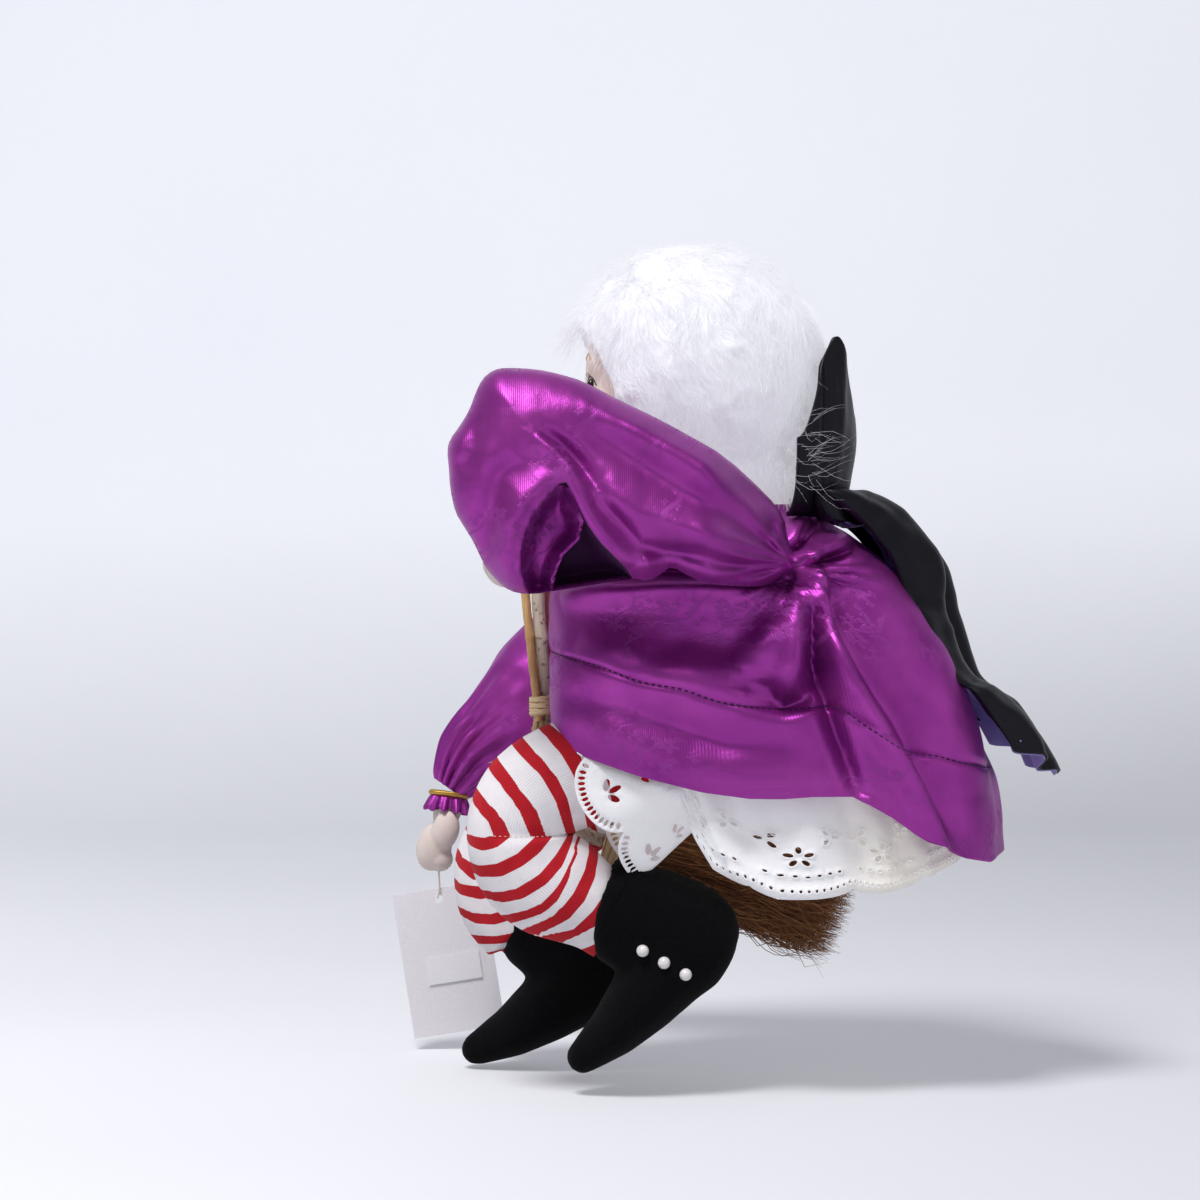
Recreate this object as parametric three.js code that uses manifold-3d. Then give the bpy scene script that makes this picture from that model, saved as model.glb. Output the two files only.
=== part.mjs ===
// A plush witch doll that rides a broom, in millimetres.
// X runs from the doll's front to its back, Y to its right hand side, Z up.
// The origin is the crown of the wig, where the doll hangs.
import * as THREE from 'three';
import { mergeVertices } from 'three/addons/utils/BufferGeometryUtils.js';
import Module from 'manifold-3d';

const wasm = await Module();
wasm.setup();

// Clearance between two pieces that touch on the real doll.
const GAP = 0.3;

// Head and wig.
const HEAD_CENTRE = [2, 0, -60];
const HEAD_LENGTH_RADIUS = 49;
const HEAD_WIDTH_RADIUS = 45;
const HEAD_HEIGHT_RADIUS = 50;
const WIG_RADIUS = 60;
const WIG_NAPE_DROP = 46;
const NAPE_ROOM = 1.2;
const FACE_OPENING_RADIUS = 42;
const EYE_RADIUS = 2.6;
const EYE_SPACING = 30;
const EYE_DROP = 2;
const NOSE_RADIUS = 5;
const NOSE_DROP = 16;

// Torso, from the neck down to the seat.
const NECK = [12, 0, -102];

// How far the joints go, in degrees.
const HEAD_TURN = 12;
const LEFT_ARM_LIFT = 18;
const RIGHT_ARM_LIFT = 30;
const RIGHT_ARM_DROP = -10;
const LEG_SWING_BACK = -20;
const BROOM_ROOM = 1;
const SWING_ROOM = 0.4;
const PANTALOON_ROOM = 2.3;

const NECK_RADIUS = 17;
const CHEST = [30, 0, -158];
const CHEST_DEPTH_RADIUS = 30;
const CHEST_WIDTH_RADIUS = 37;
const SEAT = [40, 0, -206];
const SEAT_RADIUS = 30;

// Arms. The near arm is bent and holds the stick, the far arm hangs.
const SHOULDER_X = 42;
const SHOULDER_Z = -141;
const SHOULDER_HALF_WIDTH = 40;
const ARM_RADIUS = 11;
const LEFT_ELBOW = [-74, -80, -96];
const LEFT_WRIST = [-80, -46, -133];
const LEFT_HAND_REACH = [-82, -24, -147];
const RIGHT_WRIST = [-113, 92, -252];
const RIGHT_FINGERS = [-118, 88, -287];
const WRIST_RADIUS = 8;
const HAND_RADIUS = 11;
const HAND_THICKNESS = 11;
const HAND_LAST_RING = 0.85;
const HAND_DOME = 6;
const THUMB_RADIUS = 5.5;
const THUMB_LENGTH = 17;

// Puffed sleeves, the frill and the elastic band at the wrist.
const CLOTH = 1.6;
const LEFT_PUFF_RADIUS = 33;
const RIGHT_PUFF_RADIUS = 36;
const PUFF_WIDTH_RADIUS = 24;
const ARMHOLE_RADIUS = 13.5;
const ARMHOLE_OUTSET = 9;
const FRILL_RADIUS = 15;
const FRILL_DEPTH = 10;
const FRILL_WAVES = 9;
const FRILL_WAVE_HEIGHT = 1.8;
const BAND_RADIUS = 1.2;
const LEFT_CUFF_RADIUS = 13;
const SLEEVE_RINGS = 6;
const RIGHT_CUFF_RUN = 14;
const SLEEVE_SIDE = 5;

// Legs. Each is sewn bent round a point behind the knee.
const HIP_X = 36;
const HIP_Z = -200;
const HIP_HALF_WIDTH = 36;
const LEG_WIDTH_RADIUS = 19;
const LEG_DEPTH_RADIUS = 24;
const KNEE_BEND_RADIUS = 25;
const KNEE_RINGS = 5;
const LEG_DOME = 0.9;
const ANKLE_RADIUS = 18.5;
const LEFT_KNEE_BEND = [-50, -262];
const LEFT_SHIN_FALL = 29;
const LEFT_SHIN_LENGTH = 27;
const RIGHT_KNEE_BEND = [-59, -288];
const RIGHT_SHIN_FALL = 43;
const RIGHT_SHIN_LENGTH = 4;

// Felt boots with pearl buttons.
const BOOT_HEIGHT = 58;
const BOOT_TOP_RADIUS = 19.5;
const BOOT_WIDTH_RADIUS = 18;
const HEEL_RADIUS = 22;
const HEEL_SET_BACK = 12;
const FOOT_LENGTH = 66;
const TOE_RADIUS = 7;
const TOE_LIFT = 14;
const BUTTON_RADIUS = 2.7;
const BUTTON_COUNT = 3;
const BUTTON_FIRST = 21;
const BUTTON_PITCH = 10.6;
const BUTTON_FORWARD = 4.6;

// Pantaloon legs over the thighs.
const PANTALOON_LENGTH = 84;
const PANTALOON_EASE = 2.4;
const PANTALOON_FLARE = 9;
const PANTALOON_DROOP = 12;
// Where the pantaloon has its rings, as shares of its length. The room inside it runs past both ends.
const PANTALOON_OUTSIDE = [0, 0.3, 0.65, 1];
const PANTALOON_INSIDE = [-0.1, 0, 0.3, 0.65, 1, 1.1];
const PANTALOON_ROOM_RINGS = [0, 0.3, 0.65, 1.02];

// Dress: a wide smock that hangs from the neck.
const DRESS_TOP = -118;
const DRESS_FRONT = -61;
const DRESS_BACK = 138;
const DRESS_HALF_WIDTH = 70;
const DRESS_FOLD_HEIGHT = 4;
const DRESS_FOLDS = 9;
const DRESS_HEM_FRONT = -212;
const DRESS_HEM_SIDE = -241;
const DRESS_HEM_BACK = -266;
const DRESS_HEM_RISE_RUN = 68;
const DRESS_HEM_FALL_RUN = 74;
// 1 makes a skirt's plan an oval; less makes it squarer.
const PLAN_SQUARENESS = 0.86;

// Petticoat below the dress.
const PETTICOAT_TOP = -163;
const PETTICOAT_FRONT = -52;
const PETTICOAT_BACK = 126;
const PETTICOAT_HALF_WIDTH = 64.5;
const PETTICOAT_HEM_FRONT = -206;
const PETTICOAT_HEM_LOW = -288;
const PETTICOAT_HEM_BACK = -272;
const PETTICOAT_FOLD_HEIGHT = 1.6;
const PETTICOAT_DIP_START = -16;
const PETTICOAT_DIP_RUN = 48;
const PETTICOAT_RISE_RUN = 66;

// Cape, its lining and its stand-up collar.
const CAPE_CLOTH = 1.2;
const CAPE_STAND_OFF = 3.6;
const CAPE_HALF_ANGLE = 62;
const CAPE_HEM_HALF_WIDTH = 44;
const CAPE_REACH = 163;
const CAPE_HEM = -223;
const CAPE_FOLD_HEIGHT = 3;
const CAPE_FOLDS = 3;
const CAPE_TIP_DROP = 16;
const COLLAR_CLOTH = 2;
const COLLAR_RADIUS = 52;
const COLLAR_FOOT_RADIUS = 33;
const COLLAR_FOOT = -123.2;
const COLLAR_BACK_TOP = -75;
const COLLAR_TIP = -42;
const COLLAR_HALF_ANGLE = 62;
const COLLAR_SET_BACK = 17;
const COLLAR_POINT_DROP = 46;
const COLLAR_LEAN = 7;

// Broom: a bent stick, two reeds, a binding and a brush of coir.
const STICK_RADIUS = 3.1;
const REED_RADIUS = 2.1;
const STICK_ROUTE = [
  [-69, 0, -124],
  [-68, 0, -160],
  [-66, 0, -192],
  [-64.5, 0, -222],
  [-61.5, 0, -240],
  [-55, 0, -256.5],
];
const BRUSH_NECK = [-40, 0, -268];
const STICK_END_RUN = 8;
const REED_FRONT_TOP = [-75.6, 0, -122];
const REED_FRONT_END = [-71.8, 0, -212];
const REED_BACK_TOP = [-66, 6.2, -126];
const REED_BACK_END = [-63.6, 6.2, -212];
const BINDING_TOP = -204;
const BINDING_LENGTH = 8;
const BINDING_WALL = 1.2;
const BRUSH_LENGTH = 122;
const BRUSH_FALL = 16;
const BRUSH_BACKING_LENGTH = 10;
const BRUSH_NECK_HEIGHT = 22;
const BRUSH_NECK_WIDTH = 17;
const BRUSH_END_HEIGHT = 50;
const BRUSH_END_WIDTH = 28;
const BRUSH_NODES = 4;
const BRISTLE_ROWS = 5;
const BRISTLE_COLUMNS = 15;
const BRISTLE_RAGGED = 10;
const BRUSH_TIE_WALL = 1.4;
const BRUSH_TIE_LENGTH = 6;

// Card tag on a thread.
const TAG_WIDTH = 44;
const TAG_HEIGHT = 70;
const TAG_THICKNESS = 0.8;
const TAG_TURN = 9;
const TAG_HOLE_RADIUS = 2;
const TAG_HOLE_INSET = 5;
const THREAD_RADIUS = 0.4;
const THREAD_DROP = 16;
const THREAD_SPREAD = 5;
const STICKER_WIDTH = 26;
const STICKER_HEIGHT = 13;
const STICKER_THICKNESS = 0.4;
const STICKER_DROP = 34;

const Y = new THREE.Vector3(0, 1, 0);
const Z = new THREE.Vector3(0, 0, 1);

// Where a domed end has its rings, as shares of the dome's height.
const DOME_RINGS = [0.55, 0.86];

const rad = THREE.MathUtils.degToRad;
const mix = THREE.MathUtils.lerp;
const ease = THREE.MathUtils.smoothstep;

function vec(list) {
  return new THREE.Vector3(...list);
}

function shareOf(size, shares) {
  return shares.map((share) => size * share);
}

function between(a, b, t) {
  return vec(a).lerp(vec(b), t).toArray();
}

function smoothList(list, t) {
  // The value at t from 0 to 1 along a smooth line through evenly spaced values.
  const last = list.length - 1;
  const place = Math.min(Math.max(t, 0), 1) * last;
  const i = Math.min(Math.floor(place), last - 1);
  const before = list[Math.max(i - 1, 0)];
  const after = list[Math.min(i + 2, last)];
  const s = place - i;
  const rise = (list[i + 1] - before) / 2;
  const nextRise = (after - list[i]) / 2;
  const step = list[i + 1] - list[i];
  return list[i] + s * (rise + s * (3 * step - 2 * rise - nextRise + s * (rise + nextRise - 2 * step)));
}

function solid(positions, faces) {
  // A closed body from points and triangles, turned so that its faces point out.
  let volume = 0;
  for (const [a, b, c] of faces) {
    volume += positions[a].dot(positions[b].clone().cross(positions[c]));
  }
  const vertProperties = new Float32Array(positions.length * 3);
  positions.forEach((p, i) => p.toArray(vertProperties, i * 3));
  const triVerts = new Uint32Array(faces.length * 3);
  faces.forEach(([a, b, c], i) => triVerts.set(volume > 0 ? [a, b, c] : [a, c, b], i * 3));
  return new wasm.Manifold(new wasm.Mesh({ numProp: 3, vertProperties, triVerts }));
}

function fromGeometry(geometry) {
  geometry.deleteAttribute('normal');
  geometry.deleteAttribute('uv');
  const merged = mergeVertices(geometry, 1e-5);
  const mesh = new wasm.Mesh({
    numProp: 3,
    vertProperties: new Float32Array(merged.attributes.position.array),
    triVerts: new Uint32Array(merged.index.array),
  });
  return new wasm.Manifold(mesh);
}

function ellipsoid(centre, radii, { grow = 0, turn = 0, around = 16, down = 10 } = {}) {
  // An oval body, turned in degrees about the neck where that is asked for.
  const shape = new THREE.SphereGeometry(1, around, down);
  shape.scale(radii[0] + grow, radii[1] + grow, radii[2] + grow);
  shape.translate(centre[0] - NECK[0], centre[1], centre[2]);
  shape.rotateZ(rad(turn));
  shape.translate(NECK[0], 0, 0);
  return fromGeometry(shape);
}

function box(size, centre) {
  const shape = new THREE.BoxGeometry(...size);
  shape.translate(...centre);
  return fromGeometry(shape);
}

function loft(stations, { sides = 12, grow = 0, domeStart = 0, domeEnd = 0, swing = null } = {}) {
  // A stuffed limb: one oval ring at each station, with domed or flat ends.
  // A station has its middle, its radius in the XZ plane and its radius across it.
  // A swing turns the whole body about a joint's line along Y, for the room that it needs.
  const rings = stations.map((s) => ({ at: vec(s.at), high: s.high + grow, wide: s.wide + grow, ...s.extra }));
  const tangent = rings.map((r, i) => {
    const ahead = rings[Math.min(i + 1, rings.length - 1)].at;
    const behind = rings[Math.max(i - 1, 0)].at;
    return ahead.clone().sub(behind).normalize();
  });
  const frames = rings.map((r, i) => {
    const high = new THREE.Vector3().crossVectors(tangent[i], Y).normalize();
    return { ...r, along: tangent[i], up: high, across: new THREE.Vector3().crossVectors(high, tangent[i]) };
  });
  const first = frames[0];
  const last = frames[frames.length - 1];
  const list = [];
  const ringAt = (f, shift, scale) => ({
    ...f,
    at: f.at.clone().addScaledVector(f.along, shift),
    high: f.high * scale,
    wide: f.wide * scale,
  });
  if (domeStart > 0) {
    for (const d of [...DOME_RINGS].reverse()) {
      list.push(ringAt(first, -(domeStart + grow) * d, Math.sqrt(1 - d * d)));
    }
  }
  list.push(...frames);
  if (domeEnd > 0) {
    for (const d of DOME_RINGS) {
      list.push(ringAt(last, (domeEnd + grow) * d, Math.sqrt(1 - d * d)));
    }
  }
  const points = [];
  for (const f of list) {
    for (let k = 0; k < sides; k += 1) {
      const a = (2 * Math.PI * k) / sides;
      const point = f.at.clone().addScaledVector(f.up, f.high * Math.cos(a));
      points.push(point.addScaledVector(f.across, f.wide * Math.sin(a)));
    }
  }
  const flat = domeStart > 0 ? 0 : grow;
  const flatEnd = domeEnd > 0 ? 0 : grow;
  if (flat > 0) {
    for (let k = 0; k < sides; k += 1) points[k].addScaledVector(first.along, -flat);
  }
  if (flatEnd > 0) {
    for (let k = 0; k < sides; k += 1) points[points.length - sides + k].addScaledVector(last.along, flatEnd);
  }
  const startTip = points.length;
  points.push(first.at.clone().addScaledVector(first.along, -(domeStart > 0 ? domeStart + grow : flat)));
  points.push(last.at.clone().addScaledVector(last.along, domeEnd > 0 ? domeEnd + grow : flatEnd));
  if (swing) {
    const pivot = new THREE.Vector3(swing.x, 0, swing.z);
    for (const p of points) p.sub(pivot).applyAxisAngle(Y, rad(swing.degrees)).add(pivot);
  }
  const faces = [];
  for (let i = 0; i + 1 < list.length; i += 1) {
    for (let k = 0; k < sides; k += 1) {
      const a = i * sides + k;
      const b = i * sides + ((k + 1) % sides);
      faces.push([a, b, b + sides], [a, b + sides, a + sides]);
    }
  }
  const lastRing = (list.length - 1) * sides;
  for (let k = 0; k < sides; k += 1) {
    const next = (k + 1) % sides;
    faces.push([startTip, next, k], [startTip + 1, lastRing + k, lastRing + next]);
  }
  return solid(points, faces);
}

function sheet(point, { across, down, thick, closed, inset = 0 }) {
  // Cloth with a real thickness. point(u, v) is its outer face for u and v from 0 to 1, before any inset.
  const columns = closed ? across : across + 1;
  const step = 1e-3;
  const outer = [];
  const inner = [];
  for (let j = 0; j <= down; j += 1) {
    for (let i = 0; i < columns; i += 1) {
      const u = i / across;
      const v = j / down;
      const here = point(u, v);
      const du = point(closed ? u + step : Math.min(u + step, 1), v).sub(
        point(closed ? u - step : Math.max(u - step, 0), v),
      );
      const dv = point(u, Math.min(v + step, 1)).sub(point(u, Math.max(v - step, 0)));
      const normal = new THREE.Vector3().crossVectors(du, dv).normalize();
      outer.push(here.clone().addScaledVector(normal, inset));
      inner.push(here.clone().addScaledVector(normal, inset + thick));
    }
  }
  const count = outer.length;
  const points = [...outer, ...inner];
  const faces = [];
  const quad = (a, b, c, d) => faces.push([a, b, c], [a, c, d]);
  for (let j = 0; j < down; j += 1) {
    for (let i = 0; i < across; i += 1) {
      const a = j * columns + i;
      const b = j * columns + ((i + 1) % columns);
      quad(a, b, b + columns, a + columns);
      quad(a + count, a + columns + count, b + columns + count, b + count);
    }
  }
  for (let i = 0; i < across; i += 1) {
    const a = i;
    const b = (i + 1) % columns;
    const c = down * columns;
    quad(b, a, a + count, b + count);
    quad(c + a, c + b, c + b + count, c + a + count);
  }
  if (!closed) {
    for (let j = 0; j < down; j += 1) {
      const a = j * columns;
      const b = a + columns - 1;
      quad(a, a + columns, a + columns + count, a + count);
      quad(b + columns, b, b + count, b + columns + count);
    }
  }
  return solid(points, faces);
}

function tube(points, radius, steps, sides = 8) {
  const curve = new THREE.CatmullRomCurve3(points.map(vec), false, 'centripetal');
  const section = new THREE.Shape();
  for (let k = 0; k < sides; k += 1) {
    const a = (2 * Math.PI * k) / sides;
    if (k === 0) section.moveTo(radius, 0);
    else section.lineTo(radius * Math.cos(a), radius * Math.sin(a));
  }
  section.closePath();
  return fromGeometry(new THREE.ExtrudeGeometry(section, { steps, extrudePath: curve, curveSegments: 1 }));
}

function material(color, roughness, metalness = 0) {
  return new THREE.MeshStandardMaterial({ color, roughness, metalness });
}

const MUSLIN = material(0xecd0c0, 0.9);
const MOHAIR = material(0xf6f6fa, 0.95);
const PURPLE_SATIN = material(0x8a2a8e, 0.35);
const BLACK_SATIN = material(0x1c1b22, 0.35);
const LAVENDER = material(0xa39ad6, 0.5);
const WHITE_COTTON = material(0xf0f0f4, 0.9);
const KNIT = material(0xd8384a, 0.9);
const FELT = material(0x17171c, 0.95);
const PEARL = material(0xf2f0ea, 0.25);
const RATTAN = material(0xc8a478, 0.7);
const PALE_STICK = material(0xc9bcab, 0.8);
const RAFFIA = material(0xdcc49c, 0.8);
const COIR = material(0x80522c, 0.95);
const CARD = material(0xf2f0f4, 0.8);
const THREAD = material(0xe8e2cc, 0.8);
const GOLD = material(0xc8a24a, 0.3, 0.8);
const EYE_BLACK = material(0x1a1414, 0.3);

const SMALL = { around: 8, down: 6 };

const doll = new THREE.Group();

function add(name, body, look) {
  const mesh = body.getMesh();
  const geometry = new THREE.BufferGeometry();
  geometry.setAttribute('position', new THREE.Float32BufferAttribute(mesh.vertProperties, 3));
  geometry.setIndex([...mesh.triVerts]);
  geometry.computeVertexNormals();
  const piece = new THREE.Mesh(geometry, look);
  piece.name = name;
  doll.add(piece);
}

function cut(body, ...tools) {
  // What is left of a body, without crumbs, when its neighbours' space is taken away.
  let left = body;
  for (const tool of tools) left = left.subtract(tool);
  const parts = left.decompose();
  return parts.reduce((big, next) => (next.volume() > big.volume() ? next : big));
}

// Head, and the space that the neck has to leave for it.
function headBody(grow = 0, turn = 0) {
  return ellipsoid(HEAD_CENTRE, [HEAD_LENGTH_RADIUS, HEAD_WIDTH_RADIUS, HEAD_HEIGHT_RADIUS], { grow, turn });
}

function onFace(y, z) {
  // The point of the head's front at a place across and up.
  const side = (y - HEAD_CENTRE[1]) / HEAD_WIDTH_RADIUS;
  const rise = (z - HEAD_CENTRE[2]) / HEAD_HEIGHT_RADIUS;
  const depth = Math.sqrt(Math.max(1 - side * side - rise * rise, 0));
  return [HEAD_CENTRE[0] - HEAD_LENGTH_RADIUS * depth, y, z];
}

function wigBody() {
  const dome = ellipsoid(HEAD_CENTRE, [WIG_RADIUS, WIG_RADIUS, WIG_RADIUS]);
  const opening = ellipsoid(
    [HEAD_CENTRE[0] - WIG_RADIUS, 0, HEAD_CENTRE[2] - FACE_OPENING_RADIUS * 0.75],
    [FACE_OPENING_RADIUS, WIG_RADIUS, FACE_OPENING_RADIUS * 1.3],
  );
  const nape = HEAD_CENTRE[2] - WIG_NAPE_DROP;
  const below = box([4 * WIG_RADIUS, 4 * WIG_RADIUS, WIG_RADIUS], [HEAD_CENTRE[0], 0, nape - WIG_RADIUS / 2]);
  return cut(dome, headBody(GAP), opening, below, torsoBody(GAP + NAPE_ROOM));
}

// Torso, with room for the head, the arms and the thighs.
function torsoStations() {
  return [
    { at: NECK, high: NECK_RADIUS, wide: NECK_RADIUS },
    { at: between(NECK, CHEST, 0.3), high: NECK_RADIUS, wide: NECK_RADIUS },
    { at: between(NECK, CHEST, 0.62), high: CHEST_DEPTH_RADIUS * 0.84, wide: CHEST_WIDTH_RADIUS * 0.94 },
    { at: CHEST, high: CHEST_DEPTH_RADIUS, wide: CHEST_WIDTH_RADIUS },
    { at: between(CHEST, SEAT, 0.5), high: CHEST_DEPTH_RADIUS * 1.04, wide: CHEST_WIDTH_RADIUS },
    { at: SEAT, high: SEAT_RADIUS, wide: CHEST_WIDTH_RADIUS * 0.94 },
  ];
}

function torsoBody(grow = 0) {
  return loft(torsoStations(), { grow, domeEnd: SEAT_RADIUS * 0.7 });
}

// One leg as a smooth centre line: thigh, an arc round the knee's bend, then the shin.
function legLine(bend, fall, shinLength, y) {
  const hip = new THREE.Vector2(HIP_X, HIP_Z);
  const knee = new THREE.Vector2(...bend);
  const reach = knee.clone().sub(hip);
  const lift = Math.asin(KNEE_BEND_RADIUS / reach.length());
  const thighAngle = Math.atan2(reach.y, reach.x) - lift;
  const shinAngle = -rad(fall);
  const onArc = (a) => [bend[0] + KNEE_BEND_RADIUS * Math.cos(a), y, bend[1] + KNEE_BEND_RADIUS * Math.sin(a)];
  // The arc runs over the knee's front, from the thigh's end to the shin's.
  const arcStart = thighAngle - Math.PI / 2 + 2 * Math.PI;
  const arcEnd = shinAngle - Math.PI / 2 + 2 * Math.PI;
  const shin = [Math.cos(shinAngle), 0, Math.sin(shinAngle)];
  const ankle = vec(onArc(arcEnd)).addScaledVector(vec(shin), shinLength).toArray();
  const start = onArc(arcStart);
  const stop = onArc(arcEnd);
  return { hip: [HIP_X, y, HIP_Z], start, stop, onArc, arcStart, arcEnd, shin, ankle, bend };
}

function legSide(name, sign, bend, fall, shinLength) {
  return { name, sign, line: legLine(bend, fall, shinLength, sign * HIP_HALF_WIDTH) };
}

const LEGS = [
  legSide('left', -1, LEFT_KNEE_BEND, LEFT_SHIN_FALL, LEFT_SHIN_LENGTH),
  legSide('right', 1, RIGHT_KNEE_BEND, RIGHT_SHIN_FALL, RIGHT_SHIN_LENGTH),
];

function legBody(leg, grow = 0, degrees = 0) {
  const { line } = leg;
  const limb = (at, share = 1) => ({ at, high: LEG_DEPTH_RADIUS * share, wide: LEG_WIDTH_RADIUS * share });
  const stations = [limb(line.hip, 0.98), limb(between(line.hip, line.start, 0.5), 1.02)];
  for (let i = 0; i <= KNEE_RINGS; i += 1) {
    stations.push(limb(line.onArc(mix(line.arcStart, line.arcEnd, i / KNEE_RINGS))));
  }
  if (vec(line.stop).distanceTo(vec(line.ankle)) > ANKLE_RADIUS) {
    stations.push(limb(between(line.stop, line.ankle, 0.45), 0.92));
  }
  stations.push({ at: line.ankle, high: ANKLE_RADIUS, wide: ANKLE_RADIUS * 0.86 });
  const swing = { x: HIP_X, z: HIP_Z, degrees };
  return loft(stations, { grow, domeStart: LEG_DEPTH_RADIUS * LEG_DOME, swing });
}

function thighRoot(leg, grow, degrees) {
  // The part of a thigh that can reach the torso.
  const { hip, start } = leg.line;
  const limb = (at, share) => ({ at, high: LEG_DEPTH_RADIUS * share, wide: LEG_WIDTH_RADIUS * share });
  const swing = { x: HIP_X, z: HIP_Z, degrees };
  const domeStart = LEG_DEPTH_RADIUS * LEG_DOME;
  return loft([limb(hip, 0.98), limb(between(hip, start, 0.5), 1.02)], { grow, domeStart, swing });
}

function besideDart(leg, above) {
  // All the space above, or below, the knee's dart, which runs level from the bend to the knee's front.
  const reach = 4 * Math.abs(HIP_Z);
  const shift = above ? reach / 2 - GAP / 2 : GAP / 2 - reach / 2;
  return box([reach, reach, reach], [leg.line.bend[0], 0, leg.line.bend[1] + shift]);
}

// The boot's own frame: along the shin, and forward from it.
function bootPoint(leg, along, forward) {
  const { shin, ankle } = leg.line;
  const front = [shin[2], 0, -shin[0]];
  return vec(ankle).addScaledVector(vec(shin), along + GAP).addScaledVector(vec(front), forward).toArray();
}

function bootBody(leg, grow = 0) {
  const heelWidth = BOOT_WIDTH_RADIUS * 0.94;
  const toeWidth = BOOT_WIDTH_RADIUS * 0.8;
  const shaft = loft(
    [
      { at: bootPoint(leg, 0, 0), high: BOOT_TOP_RADIUS, wide: BOOT_TOP_RADIUS * 0.86 },
      { at: bootPoint(leg, BOOT_HEIGHT * 0.12, -3), high: BOOT_TOP_RADIUS * 1.14, wide: BOOT_WIDTH_RADIUS },
      { at: bootPoint(leg, BOOT_HEIGHT * 0.34, -5), high: BOOT_TOP_RADIUS * 1.3, wide: BOOT_WIDTH_RADIUS },
      { at: bootPoint(leg, BOOT_HEIGHT * 0.55, -6), high: BOOT_TOP_RADIUS * 1.34, wide: BOOT_WIDTH_RADIUS },
      { at: bootPoint(leg, BOOT_HEIGHT * 0.74, -7), high: BOOT_TOP_RADIUS * 1.2, wide: heelWidth },
    ],
    { grow, domeEnd: BOOT_HEIGHT * 0.26 },
  );
  const sole = BOOT_HEIGHT - HEEL_RADIUS;
  const foot = loft(
    [
      { at: bootPoint(leg, sole, -HEEL_SET_BACK), high: HEEL_RADIUS, wide: BOOT_WIDTH_RADIUS * 0.9 },
      { at: bootPoint(leg, sole - 1, FOOT_LENGTH * 0.12), high: HEEL_RADIUS * 0.86, wide: BOOT_WIDTH_RADIUS },
      { at: bootPoint(leg, sole - 4, FOOT_LENGTH * 0.4), high: HEEL_RADIUS * 0.68, wide: BOOT_WIDTH_RADIUS },
      { at: bootPoint(leg, sole - 8, FOOT_LENGTH * 0.66), high: HEEL_RADIUS * 0.5, wide: toeWidth },
      { at: bootPoint(leg, sole - TOE_LIFT, FOOT_LENGTH * 0.9), high: TOE_RADIUS, wide: TOE_RADIUS },
    ],
    { grow, domeStart: HEEL_RADIUS * 0.9, domeEnd: TOE_RADIUS },
  );
  return shaft.add(foot);
}

function buttonBody(leg, index) {
  const along = BUTTON_FIRST + index * BUTTON_PITCH;
  const at = vec(bootPoint(leg, along, BUTTON_FORWARD));
  const share = (BUTTON_FORWARD + 6) / (BOOT_TOP_RADIUS * 1.3);
  at.y = leg.sign * (HIP_HALF_WIDTH + BOOT_WIDTH_RADIUS * Math.sqrt(1 - share * share) + BUTTON_RADIUS * 0.35);
  const shape = new THREE.SphereGeometry(BUTTON_RADIUS, SMALL.around, SMALL.down);
  shape.translate(at.x, at.y, at.z);
  return cut(fromGeometry(shape), bootBody(leg, GAP));
}

function pantaloonSolid(leg, ease, shares, degrees = 0) {
  const { hip, start } = leg.line;
  const span = vec(start).sub(vec(hip)).normalize();
  const end = vec(hip).addScaledVector(span, PANTALOON_LENGTH);
  const droop = (share) => -PANTALOON_DROOP * share * share;
  const at = (share) => vec(hip).lerp(end, share).addScaledVector(Z, droop(share)).toArray();
  const stations = shares.map((share) => ({
    at: at(share),
    high: LEG_DEPTH_RADIUS * 1.02 + ease + PANTALOON_FLARE * share * share,
    wide: LEG_WIDTH_RADIUS * 1.02 + ease + PANTALOON_FLARE * 0.15 * share,
  }));
  return loft(stations, { swing: { x: HIP_X, z: HIP_Z, degrees } });
}

function pantaloonBody(leg) {
  const outside = pantaloonSolid(leg, PANTALOON_EASE, PANTALOON_OUTSIDE);
  const inside = pantaloonSolid(leg, PANTALOON_EASE - CLOTH * 0.8, PANTALOON_INSIDE);
  return cut(outside.subtract(inside), legBody(leg, GAP), bootBody(leg, GAP), torsoSwept);
}

// Arms and sleeves.
function shoulder(sign, out = 0) {
  return [SHOULDER_X, sign * (SHOULDER_HALF_WIDTH + out), SHOULDER_Z];
}

function leftArmTurn() {
  // Where the near arm, after leaving the shoulder sideways, turns to the front.
  const root = shoulder(-1, ARMHOLE_OUTSET);
  const shares = [0.3, 0.72, 0.42];
  return shares.map((share, i) => mix(root[i], LEFT_ELBOW[i], share));
}

function leftUpperArm(grow = 0, degrees = 0) {
  const arm = (at, share) => ({ at, high: ARM_RADIUS * share, wide: ARM_RADIUS * share });
  const root = shoulder(-1);
  const turn = leftArmTurn();
  return loft([arm(root, 1), arm(between(root, turn, 0.5), 1.02), arm(turn, 1.05), arm(LEFT_ELBOW, 1)], {
    grow,
    domeStart: ARM_RADIUS * 0.7,
    domeEnd: ARM_RADIUS * 0.8,
    swing: { x: SHOULDER_X, z: SHOULDER_Z, degrees },
  });
}

function leftForearm(grow = 0) {
  const arm = (t, share) => ({
    at: between(LEFT_ELBOW, LEFT_WRIST, t),
    high: mix(ARM_RADIUS, WRIST_RADIUS, t) * share,
    wide: mix(ARM_RADIUS, WRIST_RADIUS, t) * share,
  });
  return loft([arm(0.1, 0.95), arm(0.5, 1.05), arm(1, 1)], { grow, domeStart: ARM_RADIUS * 0.6 });
}

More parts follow.
